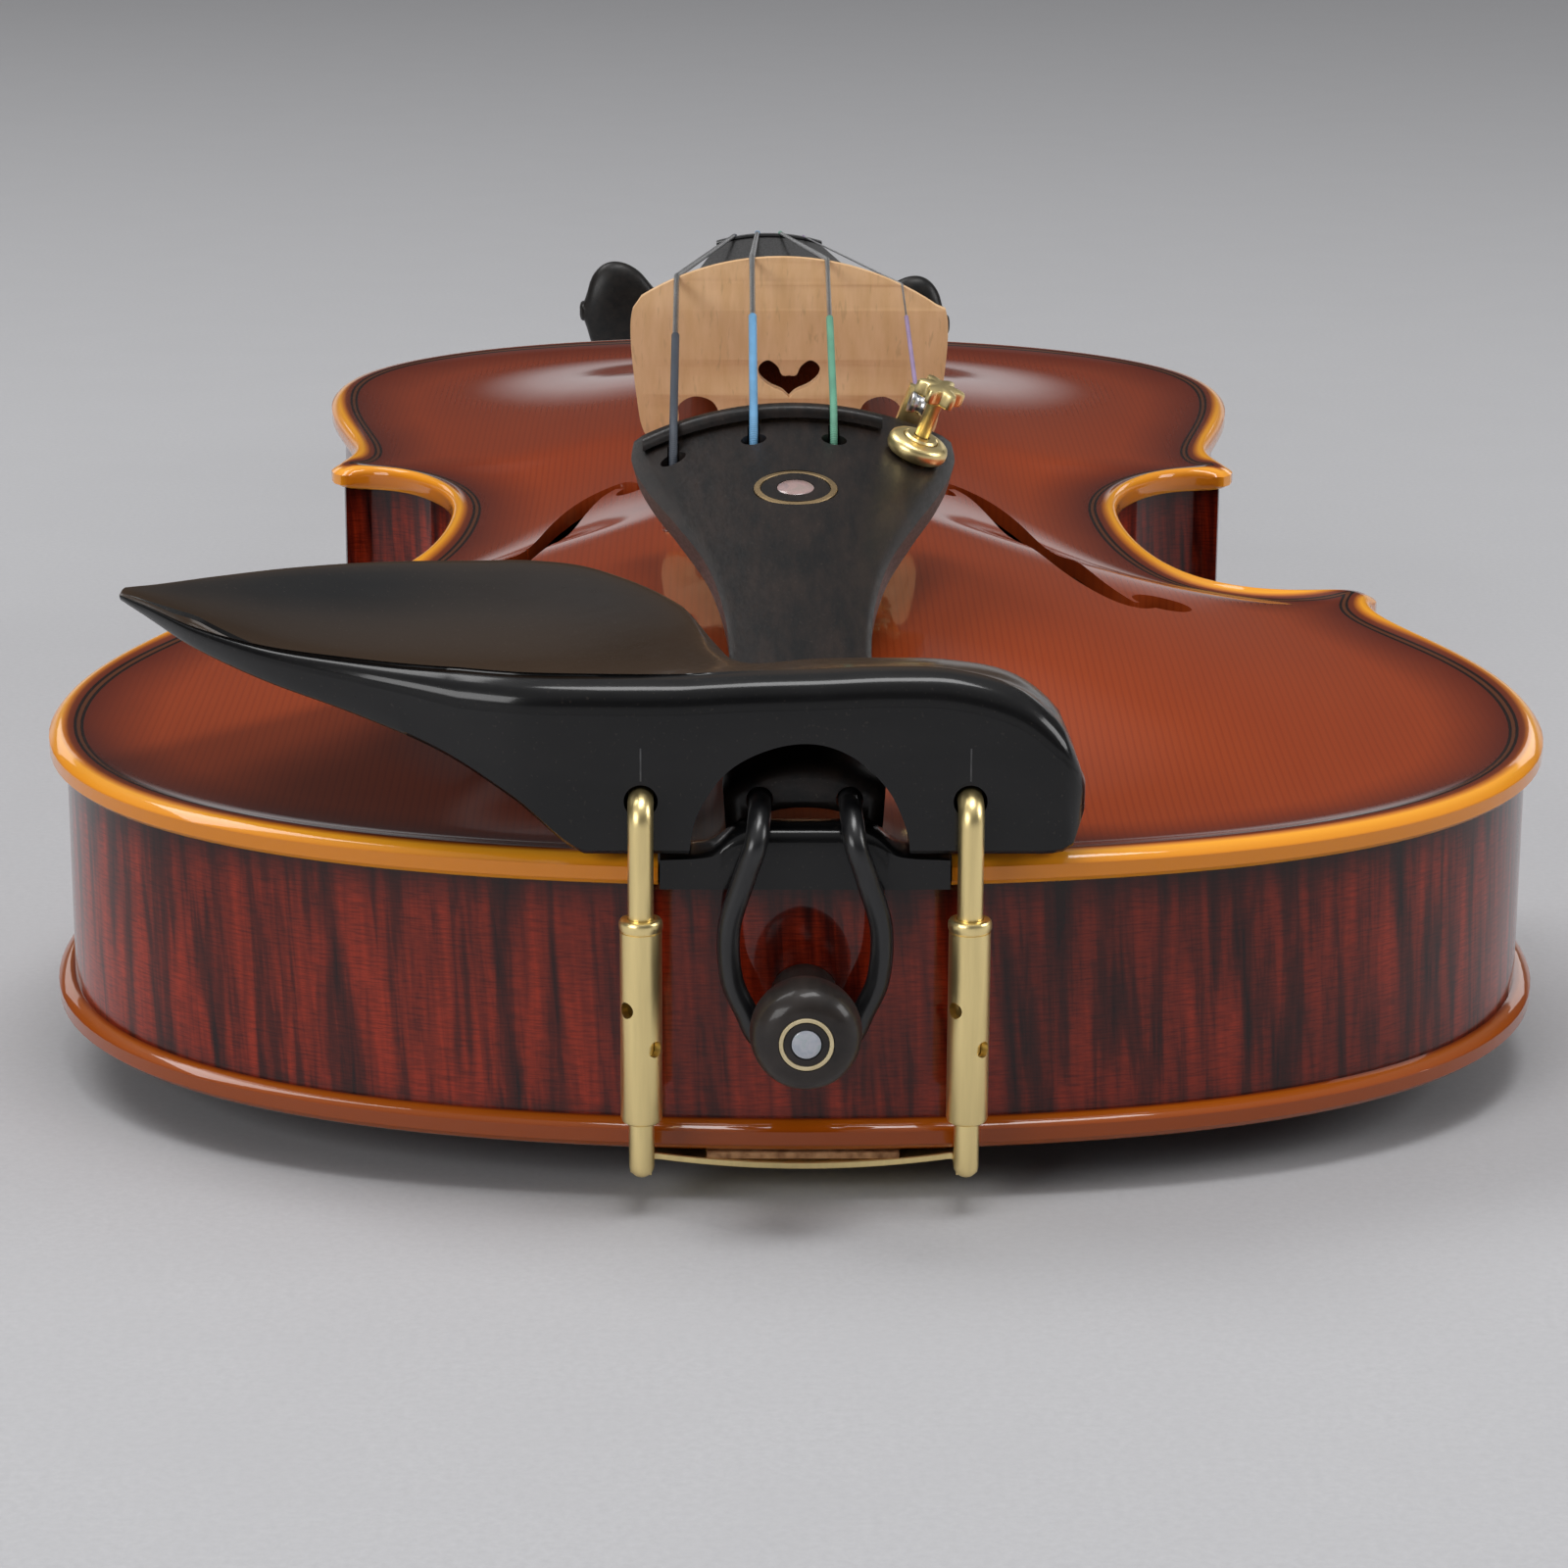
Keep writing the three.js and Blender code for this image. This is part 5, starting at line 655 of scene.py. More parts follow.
BRIDGE_WOOD = bare_wood("bridge_maple", (0.72, 0.44, 0.21), (0.82, 0.53, 0.29), (420, 300, 90), 0.3, 0.5)
INNER_WOOD = bare_wood("inner_spruce", (0.5, 0.32, 0.15), (0.62, 0.43, 0.22), (800, 40, 800), 0.2, 0.7)
CORK = cork_sheet()
GUT = cord_black()
SCRIBE = bare_wood("scribe_line", (0.05, 0.05, 0.052), (0.09, 0.09, 0.092), (900, 900, 900), 0.2, 0.6)
STRING_NAMES = ("g", "d", "a", "e")
SILK_SLOTS = ("silk_grey", "silk_blue", "silk_green", "silk_violet")
SILKS = [thread(name, colour) for name, colour in zip(
    SILK_SLOTS, ((0.06, 0.072, 0.095), (0.17, 0.42, 0.7), (0.15, 0.42, 0.28), (0.36, 0.26, 0.44)))]
WIRES = [thread(f"wire_{name}", colour, 0.0002, 1.0, 0.26) for name, colour in zip(
    STRING_NAMES, ((0.6, 0.6, 0.6), (0.66, 0.66, 0.66), (0.7, 0.7, 0.69), (0.75, 0.75, 0.76)))]


# Outline of the body, as in the solids but with finer steps. Rings are arrays of X and Y.

FINE = 4


def bend(points, steps):
    return bezier([Vector(p) for p in points], steps * FINE)


def body_lines():
    lower, upper, waist = 207 / 2, 167 / 2, 111 / 2
    bout, corner_y, waist_y, high_y, shoulder = 74, 140, 197, 234.8, 298
    low_corner, high_corner = Vector((91.5, corner_y)), Vector((79.6, high_y))
    low_inner = low_corner + Vector((-0.36, 0.93)) * 7.2
    high_inner = high_corner + Vector((-0.31, -0.95)) * 7.2

    def waist_curve(corner, shares, steps):
        return bend([(mix(waist, corner.x, out), mix(waist_y, corner.y, up)) for out, up in shares], steps)

    reach, climb = corner_y - bout, shoulder - high_y
    low_line = bend([(0, 0), (lower * 0.64, 0), (lower, bout * 0.34), (lower, bout)], 8)
    low_line += bend([(lower, bout), (lower, bout + reach * 0.545), (low_corner.x * 0.885, bout + reach * 0.818),
                      low_corner], 7)[1:]
    middle = waist_curve(low_inner, [(1, 1), (0.751, 1.12), (0.495, 1.11), (0.3, 0.95)], 4)
    middle += waist_curve(low_inner, [(0.3, 0.95), (0.12, 0.8), (0, 0.4), (0, 0)], 4)[1:]
    middle += waist_curve(high_inner, [(0, 0), (0, 0.32), (0.09, 0.623), (0.318, 0.847)], 3)[1:]
    middle += waist_curve(high_inner, [(0.318, 0.847), (0.5, 1.038), (0.727, 1.102), (1, 1)], 4)[1:]
    high_line = bend([high_corner, (high_corner.x * 0.855, high_y + climb * 0.13), (upper, high_y + climb * 0.494),
                      (upper, shoulder)], 6)
    high_line += bend([(upper, shoulder), (upper, shoulder + (BODY - shoulder) * 0.66), (upper * 0.55, BODY),
                       (0, BODY)], 7)[1:]
    return low_line, middle, high_line


LOW_LINE, MIDDLE_LINE, HIGH_LINE = body_lines()
HALF = LOW_LINE + MIDDLE_LINE + HIGH_LINE
OUTLINE = np.array([tuple(p) for p in HALF] + [(-p.x, p.y) for p in HALF[1:-1][::-1]])


def inset_ring(ring, distance):
    """The ring moved to its inside."""
    heading = np.roll(ring, -1, 0) - np.roll(ring, 1, 0)
    heading /= np.linalg.norm(heading, axis=1)[:, None]
    return ring + np.stack([-heading[:, 1], heading[:, 0]], 1) * distance


def evened(ring, passes=1):
    """The ring with each point drawn towards its two neighbours."""
    for _ in range(int(round(passes))):
        ring = (np.roll(ring, 1, 0) + np.roll(ring, -1, 0) + 2 * ring) / 4
    return ring


def nested_rings(distances):
    """Rings inside the outline at rising distances, whose corners melt away."""
    out = []
    ring, reached, step = OUTLINE, 0.0, CHANNEL / (6 * FINE * FINE)
    for distance in distances:
        while reached + step / 2 < distance:
            ring = evened(inset_ring(ring, step))
            reached += step
        out.append(ring)
    return out


# Distance from the outline and height of each row of the rounded edge and the channel
EDGE_ROWS = [(0.14, 1.0), (0, 1.6), (0, 2.1), (0.14, 2.7), (0.46, 3.28), (0.95, 3.72), (1.5, 3.95), (2.0, 3.99),
             (2.5, 3.9), (3.2, 3.66), (3.9, 3.46), (4.6, 3.32), (5.4, 3.2), (6.6, 3.12), (CHANNEL, CHANNEL_LEVEL)]
ARCH_SHARES = [0.04, 0.08, 0.13, 0.19, 0.26, 0.33, 0.41, 0.5, 0.59, 0.68, 0.77, 0.86, 0.93, 1.0]


def arch_rise(share, y, arch):
    """Height of an arched plate at a share of the way from its channel to its crown, lower towards both ends."""
    crown = (1 - math.cos(math.pi * share)) / 2
    away = (2 * y - BODY) / BODY
    return CHANNEL_LEVEL + (arch - CHANNEL_LEVEL) * crown * (1 - 0.35 * away ** 2)


def plate_rows(arch):
    """Rows of points of a plate seen with its outside up, from the middle of its inside to its crown."""
    rings = nested_rings([d for d, _ in EDGE_ROWS])
    channel = rings[-1]
    spine = np.stack([channel[:, 0] * 0, mix(82, 282, channel[:, 1] / BODY)], 1)

    def arched(share, lowered):
        ring = evened(channel + (spine - channel) * share, 16 * share * FINE * FINE)
        return np.column_stack([ring, arch_rise(share, ring[:, 1], arch) - lowered])

    level = lambda ring, z: np.column_stack([ring, ring[:, 0] * 0 + z])
    under = nested_rings([0.5, 1.2])
    rows = [arched(share, PLATE_THICKNESS) for share in (1.0, 0.62, 0.3)]
    rows += [level(channel, 0), level(under[1], 0), level(under[0], 0.42)]
    rows += [level(ring, z) for ring, (_, z) in zip(rings, EDGE_ROWS)]
    rows += [arched(share, 0) for share in ARCH_SHARES]
    return rows


def plate_data(arch, material, flip, base):
    rows = plate_rows(arch)
    for row in rows:
        row[:, 2] = base - row[:, 2] if flip else base + row[:, 2]
    return skin([[Vector(p) for p in row] for row in rows], [material], caps=False)


def outline_distance(points, outline):
    """Distance of each point from a closed outline, seen from above."""
    flat = points[:, :2]
    best = np.full(len(flat), 1e9)
    ends = np.roll(outline, -1, 0)
    for a, b in zip(outline, ends):
        along = b - a
        t = np.clip(((flat - a) @ along) / max(along @ along, 1e-12), 0, 1)
        best = np.minimum(best, np.linalg.norm(flat - (a + t[:, None] * along), axis=1))
    return best


def own_points(obj):
    """Vertices of a piece in the instrument's own frame, in millimetres."""
    points = np.zeros(len(obj.data.vertices) * 3)
    obj.data.vertices.foreach_get("co", points)
    back = np.array(TO_OWN)
    return points.reshape(-1, 3) @ back[:3, :3].T + back[:3, 3]


def store(obj, name, values):
    layer = obj.data.attributes.new(name, "FLOAT", "POINT")
    layer.data.foreach_set("value", np.asarray(values, dtype=np.float32))


def seat_on_table(obj):
    """Flattens what would lie lower than the table."""
    for vertex in obj.data.vertices:
        vertex.co.z = max(vertex.co.z, 0.0)


STEM_HALF = 3.1


def sound_hole(side):
    """Shapes that cut an f: its stem, its two eyes and the nick halfway."""
    table = [(0, 1, 0.3), (0.09, 1.093, 0.5), (0.242, 1.054, 0.74), (0.348, 0.891, 0.92), (0.435, 0.597, 1),
             (0.548, 0.302, 1), (0.677, 0.062, 0.85), (0.839, -0.08, 0.6), (1, 0, 0.3)]
    top, bottom = Vector((24.5, 187)), Vector((55.5, 122.5))
    steps = 8
    centres = spline([Vector((mix(top.x, bottom.x, a), mix(bottom.y, top.y, u))) for a, u, _ in table], steps)
    widths = spline([Vector((w, 0)) for _, _, w in table], steps)
    stem = []
    for i, p in enumerate(centres):
        heading = heading_at(centres, i)
        reach = STEM_HALF * widths[i].x
        off = Vector((-heading.y * reach, heading.x * reach))
        stem.append([v3(side * (p.x + s * off.x), p.y + s * off.y, z)
                     for s, z in ((1, 42), (-1, 42), (-1, 66), (1, 66))])
    middle = centres[len(centres) // 2]
    nick = [(middle.x - 4.7, BRIDGE_Y), (middle.x, BRIDGE_Y - 1.6), (middle.x + 4.7, BRIDGE_Y),
            (middle.x, BRIDGE_Y + 1.6)]
    eyes = [bore((side * c.x, c.y, 41.8), (side * c.x, c.y, 66.2), r, 40) for c, r in ((top, 3.3), (bottom, 4.5))]
    return [skin(stem)] + eyes + [prism([(side * x, y) for x, y in nick], 41.6, 66.4)]


def neck_root_shape(clearance):
    """Block with slanted flanks that makes room for the neck's root in the top plate."""
    start, high = BODY - OVERHANG - 6 - clearance, NECK_WIDTH / 2 + clearance
    low = high * 0.8 + clearance
    section = [(-low, 11), (low, 11), (high, 30.5), (high, 66), (-high, 66), (-high, 30.5)]
    return skin([ring_y(y, section) for y in (start, BODY + 4)])


top_plate = new_piece("top_plate_arched", plate_data(ARCH_TOP, TOP_WOOD, False, RIB_HIGH),
                      replaces="top_plate", weld=1e-3)
saddle_notch = box_data((-SADDLE_HALF - SEAM, -4, 42), (SADDLE_HALF + SEAM, SADDLE_DEPTH + SEAM, 56))
carve(top_plate, [saddle_notch, neck_root_shape(0.1)] + sound_hole(1) + sound_hole(-1))
store(top_plate, "rim", outline_distance(own_points(top_plate), OUTLINE))

back_plate = new_piece("back_plate_arched", plate_data(ARCH_BACK, BACK_WOOD, True, RIB_LOW),
                       replaces="back_plate", weld=1e-3)
seat_on_table(back_plate)
store(back_plate, "rim", outline_distance(own_points(back_plate), OUTLINE))

BACK_BUTTON_Y = BODY + 1.5
BACK_BUTTON_RADIUS = 11.0
button_rows = [(0, 15.0), (10.2, 15.0), (10.8, 14.6), (11.0, 13.8), (11.0, 12.6), (10.8, 11.8), (10.2, 11.3),
               (9.2, 11.02), (4, 11.0), (0, 11.0)]
back_button = new_piece("back_plate_button", lathe_data(button_rows, "z", [BACK_WOOD], 48, (0, BACK_BUTTON_Y, 0)),
                        replaces="back_plate")
button_reach = np.linalg.norm(own_points(back_button)[:, :2] - np.array([0, BACK_BUTTON_Y]), axis=1)
store(back_button, "rim", BACK_BUTTON_RADIUS - button_reach)


# Ribs: bent strips whose run carries the flame

def inset_line(line, distance):
    """The line moved to its inside."""
    out = []
    for i, p in enumerate(line):
        heading = heading_at(line, i)
        out.append(Vector((p.x - heading.y * distance, p.y + heading.x * distance)))
    return out


def reach_along(line, first=0.0):
    """Length of a line up to each of its points."""
    reach = [first]
    for a, b in zip(line, line[1:]):
        reach.append(reach[-1] + (b - a).length)
    return reach


def trimmed(line, from_start, from_end):
    """The line without a length at its start and at its end."""
    reach = reach_along(line)

    def point_at(distance):
        for i in range(len(line) - 1):
            if reach[i + 1] >= distance:
                return line[i].lerp(line[i + 1], (distance - reach[i]) / (reach[i + 1] - reach[i]))
        return line[-1]

    end = reach[-1] - from_end
    inside = [p for p, r in zip(line, reach) if from_start + SEAM < r < end - SEAM]
    return [point_at(from_start)] + inside + [point_at(end)]


rib_lines = {
    "lower": trimmed(LOW_LINE, 0.02, OVERHANG),
    "middle": trimmed(MIDDLE_LINE, OVERHANG, OVERHANG),
    "upper": trimmed(HIGH_LINE, OVERHANG, NECK_WIDTH / 2),
}
middle_outer = inset_line(rib_lines["middle"], OVERHANG)
# Each rib starts at another place in the flame
run_start = {"lower": 0.0, "middle": 300.0, "upper": 600.0}
# Painted shade: dark soft shade painted below the overhanging top, at the lower edge and on the inside
RIB_PAINTED_SHADE = [0.5, 0, 0, 1, 1, 1]
for part, line in rib_lines.items():
    outer, inner = inset_line(line, OVERHANG), inset_line(line, OVERHANG + RIB)
    if part == "lower":
        outer.append(middle_outer[0].copy())
        inner.append(inner[-1].copy())
    if part == "upper":
        outer.insert(0, middle_outer[-1].copy())
        inner.insert(0, inner[0].copy())
    run = reach_along(outer, run_start[part])
    for side, name in SIDES:
        rings = [[v3(side * o.x, o.y, z) for z in (RIB_LOW, RIB_LOW + 2, RIB_HIGH - 5, RIB_HIGH)]
                 + [v3(side * i.x, i.y, z) for z in (RIB_HIGH, RIB_LOW)] for o, i in zip(outer, inner)]
        rib = new_piece(f"{part}_rib_{name}_bent", skin(rings, [RIB_WOOD]),
                        replaces=f"{part}_rib_{name}")
        store(rib, "run", [side * r for r in run for _ in RIB_PAINTED_SHADE])
        store(rib, "gloom", RIB_PAINTED_SHADE * len(run))


# Neck, pegbox and scroll

def neck_plane(y):
    return TOP_EDGE + 6.5 - (y - BODY) * 15 / NECK


def neck_section(y, half, depth, boxiness, taper):
    """Half of a superellipse below the fingerboard."""
    power = 2 / boxiness
    ring = []
    for k in range(41):
        turn = math.pi * k / 40
        across = math.copysign(abs(math.cos(turn)) ** power, math.cos(turn))
        drop = math.sin(turn) ** power if math.sin(turn) > 0 else 0
        ring.append(v3(half * across * (1 - taper * drop), y, neck_plane(y) - depth * drop))
    return ring


HEEL_CURVE = [(0, 1), (0.09, 0.82), (0.18, 0.56), (0.33, 0.27), (0.6, 0.08), (1, 0)]
HEEL_SWEEP = 24
heel_end = BODY + 12.5 - 1.2
straight_start = heel_end + HEEL_SWEEP


def neck_at(y, heel_share):
    half = mix(NECK_WIDTH, NUT_WIDTH, clamp((y - BODY) / NECK, 0, 1)) / 2
    slim = mix(12.6, 11.8, clamp((y - straight_start) / (NUT_Y - straight_start), 0, 1))
    depth = mix(slim, neck_plane(y) - RIB_LOW, heel_share)
    return neck_section(y, half, depth, 2.3 + 3 * heel_share, 0.34 * heel_share)


neck_rings = [neck_at(y, 1) for y in (348, 356, 362, heel_end - 0.8)]
neck_rings += [neck_at(heel_end + HEEL_SWEEP * k / 20, clamp(smooth_at(HEEL_CURVE, k / 20, 1), 0, 1))
               for k in range(21)]
neck_rings += [neck_at(y, 0) for y in spread(straight_start, NUT_Y + 3, 14)[1:]]
new_piece("neck_shaft", skin(neck_rings, [NECK_WOOD]), replaces="neck_scroll", smooth=50)

# Share of the head's length, and height of the cheeks' top and of the pegbox's back as shares of it
PEGBOX = [(-0.03, 0.001, -0.12), (0.02, -0.006, -0.17), (0.07, -0.024, -0.212), (0.17, -0.066, -0.276),
          (0.31, -0.124, -0.352), (0.45, -0.19, -0.43), (0.54, -0.25, -0.474), (0.6, -0.32, -0.502),
          (0.66, -0.39, -0.528), (0.7, -0.43, -0.535), (0.77, -0.47, -0.537)]
head_top = neck_plane(HEAD_Y)


def pegbox_along(y, column, curve=table_at):
    return head_top + SCROLL_LENGTH * curve(PEGBOX, min((y - HEAD_Y) / SCROLL_LENGTH, 0.77), column)


def width_along(y, wide, narrow):
    """Width of the pegbox or of its trough, which narrows towards the scroll."""
    return mix(wide, narrow, clamp((y - HEAD_Y) / (SCROLL_LENGTH * 0.56), 0, 1))


def pegbox_ring(y):
    half = mix(NUT_WIDTH / 2, width_along(y, *PEGBOX_WIDTHS) / 2, clamp((y - HEAD_Y + 3.2) / 5.3, 0, 1))
    high, low = pegbox_along(y, 1, smooth_at), pegbox_along(y, 2, smooth_at)
    into_scroll = clamp(((y - HEAD_Y) / SCROLL_LENGTH - 0.66) / 0.11, 0, 1)
    upper, half = half - 1.6 * into_scroll, half - 0.5 * into_scroll
    section = [(upper - 0.6, high), (upper, high - 0.6), (half, low + 2.2)]
    for k in range(17):
        u = 1 - k / 8
        dip = math.sin(math.pi * u / 0.9) ** 2 if abs(u) < 0.9 else (abs(u) - 0.9) * 12
        section.append((half * u, low + dip))
    return ring_y(y, section + [(-half, low + 2.2), (-upper, high - 0.6), (-upper + 0.6, high)])


pegbox_rings = [pegbox_ring(HEAD_Y + SCROLL_LENGTH * share) for share in spread(-0.03, 0.77, 50)]
pegbox = new_piece("pegbox_cheeks", skin(pegbox_rings, [HEAD_WOOD]), replaces="neck_scroll")
trough_rings = []
for y in spread(HEAD_Y + 1.8, HEAD_Y + SCROLL_LENGTH * 0.572, 14):
    half = width_along(y, *TROUGH_WIDTHS) / 2
    low, high = pegbox_along(y, 2) + 5, pegbox_along(y, 1) + 4
    trough_rings.append(ring_y(y, [(-half, low + 1), (-half + 1, low), (half - 1, low), (half, low + 1), (half, high),
                                   (-half, high)]))

# Places of the four strings' pegs, counted from the nut, and the sides that their heads are on
PEG_ORDER = [0, 2, 3, 1]
PEG_SIDES = [-1, -1, 1, 1]


def peg_y(i):
    return HEAD_Y + 14 + PEG_ORDER[i] * 13


def peg_z(i):
    return pegbox_along(peg_y(i), 1) - 7.6


def cheek(i):
    """Distance of the pegbox's outside from its middle at a peg."""
    return width_along(peg_y(i), *PEGBOX_WIDTHS) / 2


def peg_radius(i, x):
    return mix(7.1, 8.1, (x * PEG_SIDES[i] + cheek(i)) / (2 * cheek(i))) / 2


def peg_bore(i):
    ends = [-cheek(i) - 4, cheek(i) + 4]
    return tube_data([v3(x, peg_y(i), peg_z(i)) for x in ends], [peg_radius(i, x) + 0.06 for x in ends], sides=32)


carve(pegbox, [skin(trough_rings)] + [peg_bore(i) for i in range(4)])

VOLUTE_TURNS = 2.5
VOLUTE_RADIUS = 20.5
EYE_RADIUS = 4.4
EYE_Y = NUT_Y + SCROLL_LENGTH - VOLUTE_RADIUS
EYE_Z = neck_plane(EYE_Y) - 24
VOLUTE_WIDTHS = {"root": 19, "first": 12.4, "eye": 42}
ROOT_TURN = -0.2857


def volute_radius(t):
    return VOLUTE_RADIUS * (EYE_RADIUS / VOLUTE_RADIUS) ** (t / VOLUTE_TURNS)


def volute_half(t):
    """Half of the width after t turns. It narrows from the pegbox and widens again towards the eye."""
    target, share = ("root", t / ROOT_TURN) if t < 0 else ("eye", t / VOLUTE_TURNS)
    return mix(VOLUTE_WIDTHS["first"], VOLUTE_WIDTHS[target], share) / 2


def volute_data():
    """Spiral rim with two flutes, and the hollowed sides that step out to the eye."""
    steps, first = 56, -16
    last = int(VOLUTE_TURNS * steps)
    strips = []
    for side in (1, -1):
        rings = []
        for k in range(first, last + 1):
            t = k / steps
            turn = 2 * math.pi * t
            radius, half = volute_radius(t), volute_half(t)
            outer_level = volute_half(t - 1) - 1.8 if t - 1 >= first / steps else 0.0
            flute = min(1.0, radius * 0.07)
            profile = []
            for across in spread(outer_level, half - 0.8, 8):
                dip = flute * math.sin(math.pi * min(across / half / 0.9, 1)) ** 2
                profile.append((radius - dip, across))
            profile.append((radius - 0.25, half - 0.2))
            profile.append((radius - 0.8, half))
            inner = volute_radius(t + 1) if t + 1 <= VOLUTE_TURNS else 4.2
            start = radius - 0.8
            for j in range(1, 9):
                share = j / 8
                profile.append((mix(start, inner, share), half - 1.3 * math.sin(math.pi * share * 0.5) ** 1.5
                                * clamp((radius - inner) / 6, 0.1, 1)))
            rings.append([v3(side * x, EYE_Y + r * math.cos(turn), EYE_Z + r * math.sin(turn)) for r, x in profile])
        strips.append(skin(rings, [HEAD_WOOD], caps=False, loop=False))
        eye = [(0, 21.5), (1.6, 21.4), (3.1, 21.0), (4.0, 20.3), (EYE_RADIUS, 19.2), (EYE_RADIUS, 14)]
        strips.append(lathe_data([(r, side * x) for r, x in eye], "x", [HEAD_WOOD], 40, (0, EYE_Y, EYE_Z)))
    return merged(*strips)


scroll = new_piece("scroll_volute", volute_data(), replaces="neck_scroll", smooth=40)
seat_on_table(scroll)
seat_on_table(pegbox)


bpy.context.view_layer.update()


def top_height(x, y):
    """Height of the carved top plate, found with a ray from above."""
    origin = TO_ROW @ v3(x, y, 90)
    ray = ((TO_ROW @ v3(x, y, 0)) - origin).normalized()
    hit, location, _, _ = top_plate.ray_cast(origin, ray)
    return (TO_OWN @ location).z if hit else TOP_EDGE


# Saddle

SADDLE_RISE = [(0, 1), (0.36, 1), (0.5, 0.8), (0.66, 0.2), (1, 0)]
SADDLE_SECTION = [(-0.25, 0.5), (0.0, 0.72), (0.5, 0.9), (1.3, 0.99), (2.6, 1.02), (4.2, 1.0), (5.6, 0.93), (6.6, 0.8),
                  (SADDLE_DEPTH, 0.62)]
SADDLE_HEIGHT = 4
SADDLE_FOOT = RIB_HIGH + SEAM
saddle_rings = []
for x in spread(-SADDLE_HALF, SADDLE_HALF, 60):
    up = SADDLE_HEIGHT * clamp(smooth_at(SADDLE_RISE, abs(x) / SADDLE_HALF, 1), 0, 1)
    hump = [(y, TOP_EDGE + up * share) for y, share in SADDLE_SECTION]
    saddle_rings.append(ring_x(x, [(-0.25, SADDLE_FOOT)] + hump + [(SADDLE_DEPTH, SADDLE_FOOT)]))
new_piece("saddle_block", skin(saddle_rings, [CHIN_EBONY]), replaces="saddle")


# Fingerboard and nut

BOARD_LENGTH = BODY * 0.75843
BOARD_START = NUT_Y - BOARD_LENGTH
BOARD_THICKNESS = 5
# Radius of the crown of the fingerboard and of the bridge
CROWN_RADIUS = 42


def crown_rise(half, x):
    """How much higher the crown is at x than at half."""
    return math.sqrt(CROWN_RADIUS ** 2 - x ** 2) - math.sqrt(CROWN_RADIUS ** 2 - half ** 2)


def board_half(y):
    return mix(42.5, NUT_WIDTH, (y - BOARD_START) / BOARD_LENGTH) / 2


def board_surface(x, y):
    return neck_plane(y) + SEAM + BOARD_THICKNESS + crown_rise(board_half(y), x)


def board_ring(y):
    half = board_half(y)
    hollow = 0.08 if y > BODY - OVERHANG else 3.2 * clamp((BODY - OVERHANG - y) / 12, 0, 1)
    base = neck_plane(y) + SEAM
    upper = [v3(half * u, y, board_surface(half * u, y)) for u in spread(-1, 1, 30)]
    under = [v3(half * u, y, base + hollow * max(0, 1 - (u / 0.8) ** 2)) for u in spread(0.92, -0.92, 16)]
    return upper + [v3(half, y, base)] + under + [v3(-half, y, base)]


board_places = [BOARD_START + BOARD_LENGTH * k / 24 for k in range(25)]
board_places += [BODY - OVERHANG + d for d in (-12, -6, -2, 2)]
board = new_piece("fingerboard_crowned", skin([board_ring(y) for y in sorted(board_places)], [BOARD_EBONY]),
                  replaces="fingerboard")
round_edges(board, 0.5, 3, 50, 40)

NUT_HEIGHT = 0.5
STRING_DIAMETERS = [0.9, 0.92, 0.76, 0.34]
SILK_THICKNESS = 0.17
STRING_SIDES = 14
SPACING = [-0.5, -1 / 6, 1 / 6, 0.5]
BRIDGE_X = [35 * s for s in SPACING]
NUT_X = [16.4 * s for s in SPACING]
TAIL_X = BRIDGE_X


def silk_radius(i):
    """Radius of a string with the silk round it."""
    return STRING_DIAMETERS[i] / 2 + SILK_THICKNESS


def nut_surface(x):
    return board_surface(x, NUT_Y) + NUT_HEIGHT


BRIDGE_FOOT = RIB_HIGH + arch_rise(1, BRIDGE_Y, ARCH_TOP)
BRIDGE_HIGH = 36.8


def bridge_surface(x):
    return BRIDGE_FOOT + BRIDGE_HIGH + crown_rise(0, x) - 0.03 * x


# Tailpiece

TAIL_LENGTH = BODY * 0.32303
TAIL_START = 6
TAIL_END = TAIL_START + TAIL_LENGTH
TAIL_SHARES = [(0, 0.4), (0.02, 0.43), (0.1, 0.41), (0.28, 0.39), (0.42, 0.42), (0.56, 0.52), (0.7, 0.7), (0.83, 0.88),
               (0.94, 0.99), (1, 0.98)]
TAIL_SLOPE = 23.5 / TAIL_LENGTH
TAIL_LEVEL = 60
TAIL_RADII = (15, 52)
TAIL_THICK = 5.6
FRET_Y = TAIL_END - 6.5
HOLE_Y = FRET_Y - 6.5


def tail_share(y):
    return clamp((y - TAIL_START) / TAIL_LENGTH, 0, 1)


def tail_half(y):
    return 23.9 * smooth_at(TAIL_SHARES, tail_share(y), 1)


def tail_surface(x, y):
    radius = mix(*TAIL_RADII, tail_share(y))
    return TAIL_LEVEL + TAIL_SLOPE * (y - TAIL_START) - radius + math.sqrt(radius ** 2 - x ** 2)


def frame_at(x, y, lean=0.0):
    """Frame that stands on the tailpiece's upper face."""
    turn = Matrix.Rotation(math.atan(TAIL_SLOPE), 4, "X") @ Matrix.Rotation(lean, 4, "Y")
    return Matrix.Translation((x, y, tail_surface(x, y))) @ turn


TUNER_SETBACK = 11.5
TUNER_Y = TAIL_END - TUNER_SETBACK
TUNER = frame_at(TAIL_X[3], TUNER_Y, math.asin(TAIL_X[3] / TAIL_RADII[1]))
EYE = frame_at(0, TAIL_START + TAIL_LENGTH * 0.735)


def tail_ring(y, shrink=0.0):
    half = tail_half(y) - shrink
    thick = TAIL_THICK - 2 * shrink
    thinning = mix(0.12, 0.5, (y - TAIL_START) / TAIL_LENGTH)
    upper = [v3(half * u, y, tail_surface(half * u, y) - shrink - (0.35 if abs(u) == 1 else 0))
             for u in spread(-1, 1, 36)]
    under = [v3(half * u * 0.97, y, tail_surface(half * u, y) - shrink - thick * (1 - thinning * u * u))
             for u in spread(1, -1, 36)]
    return upper + under


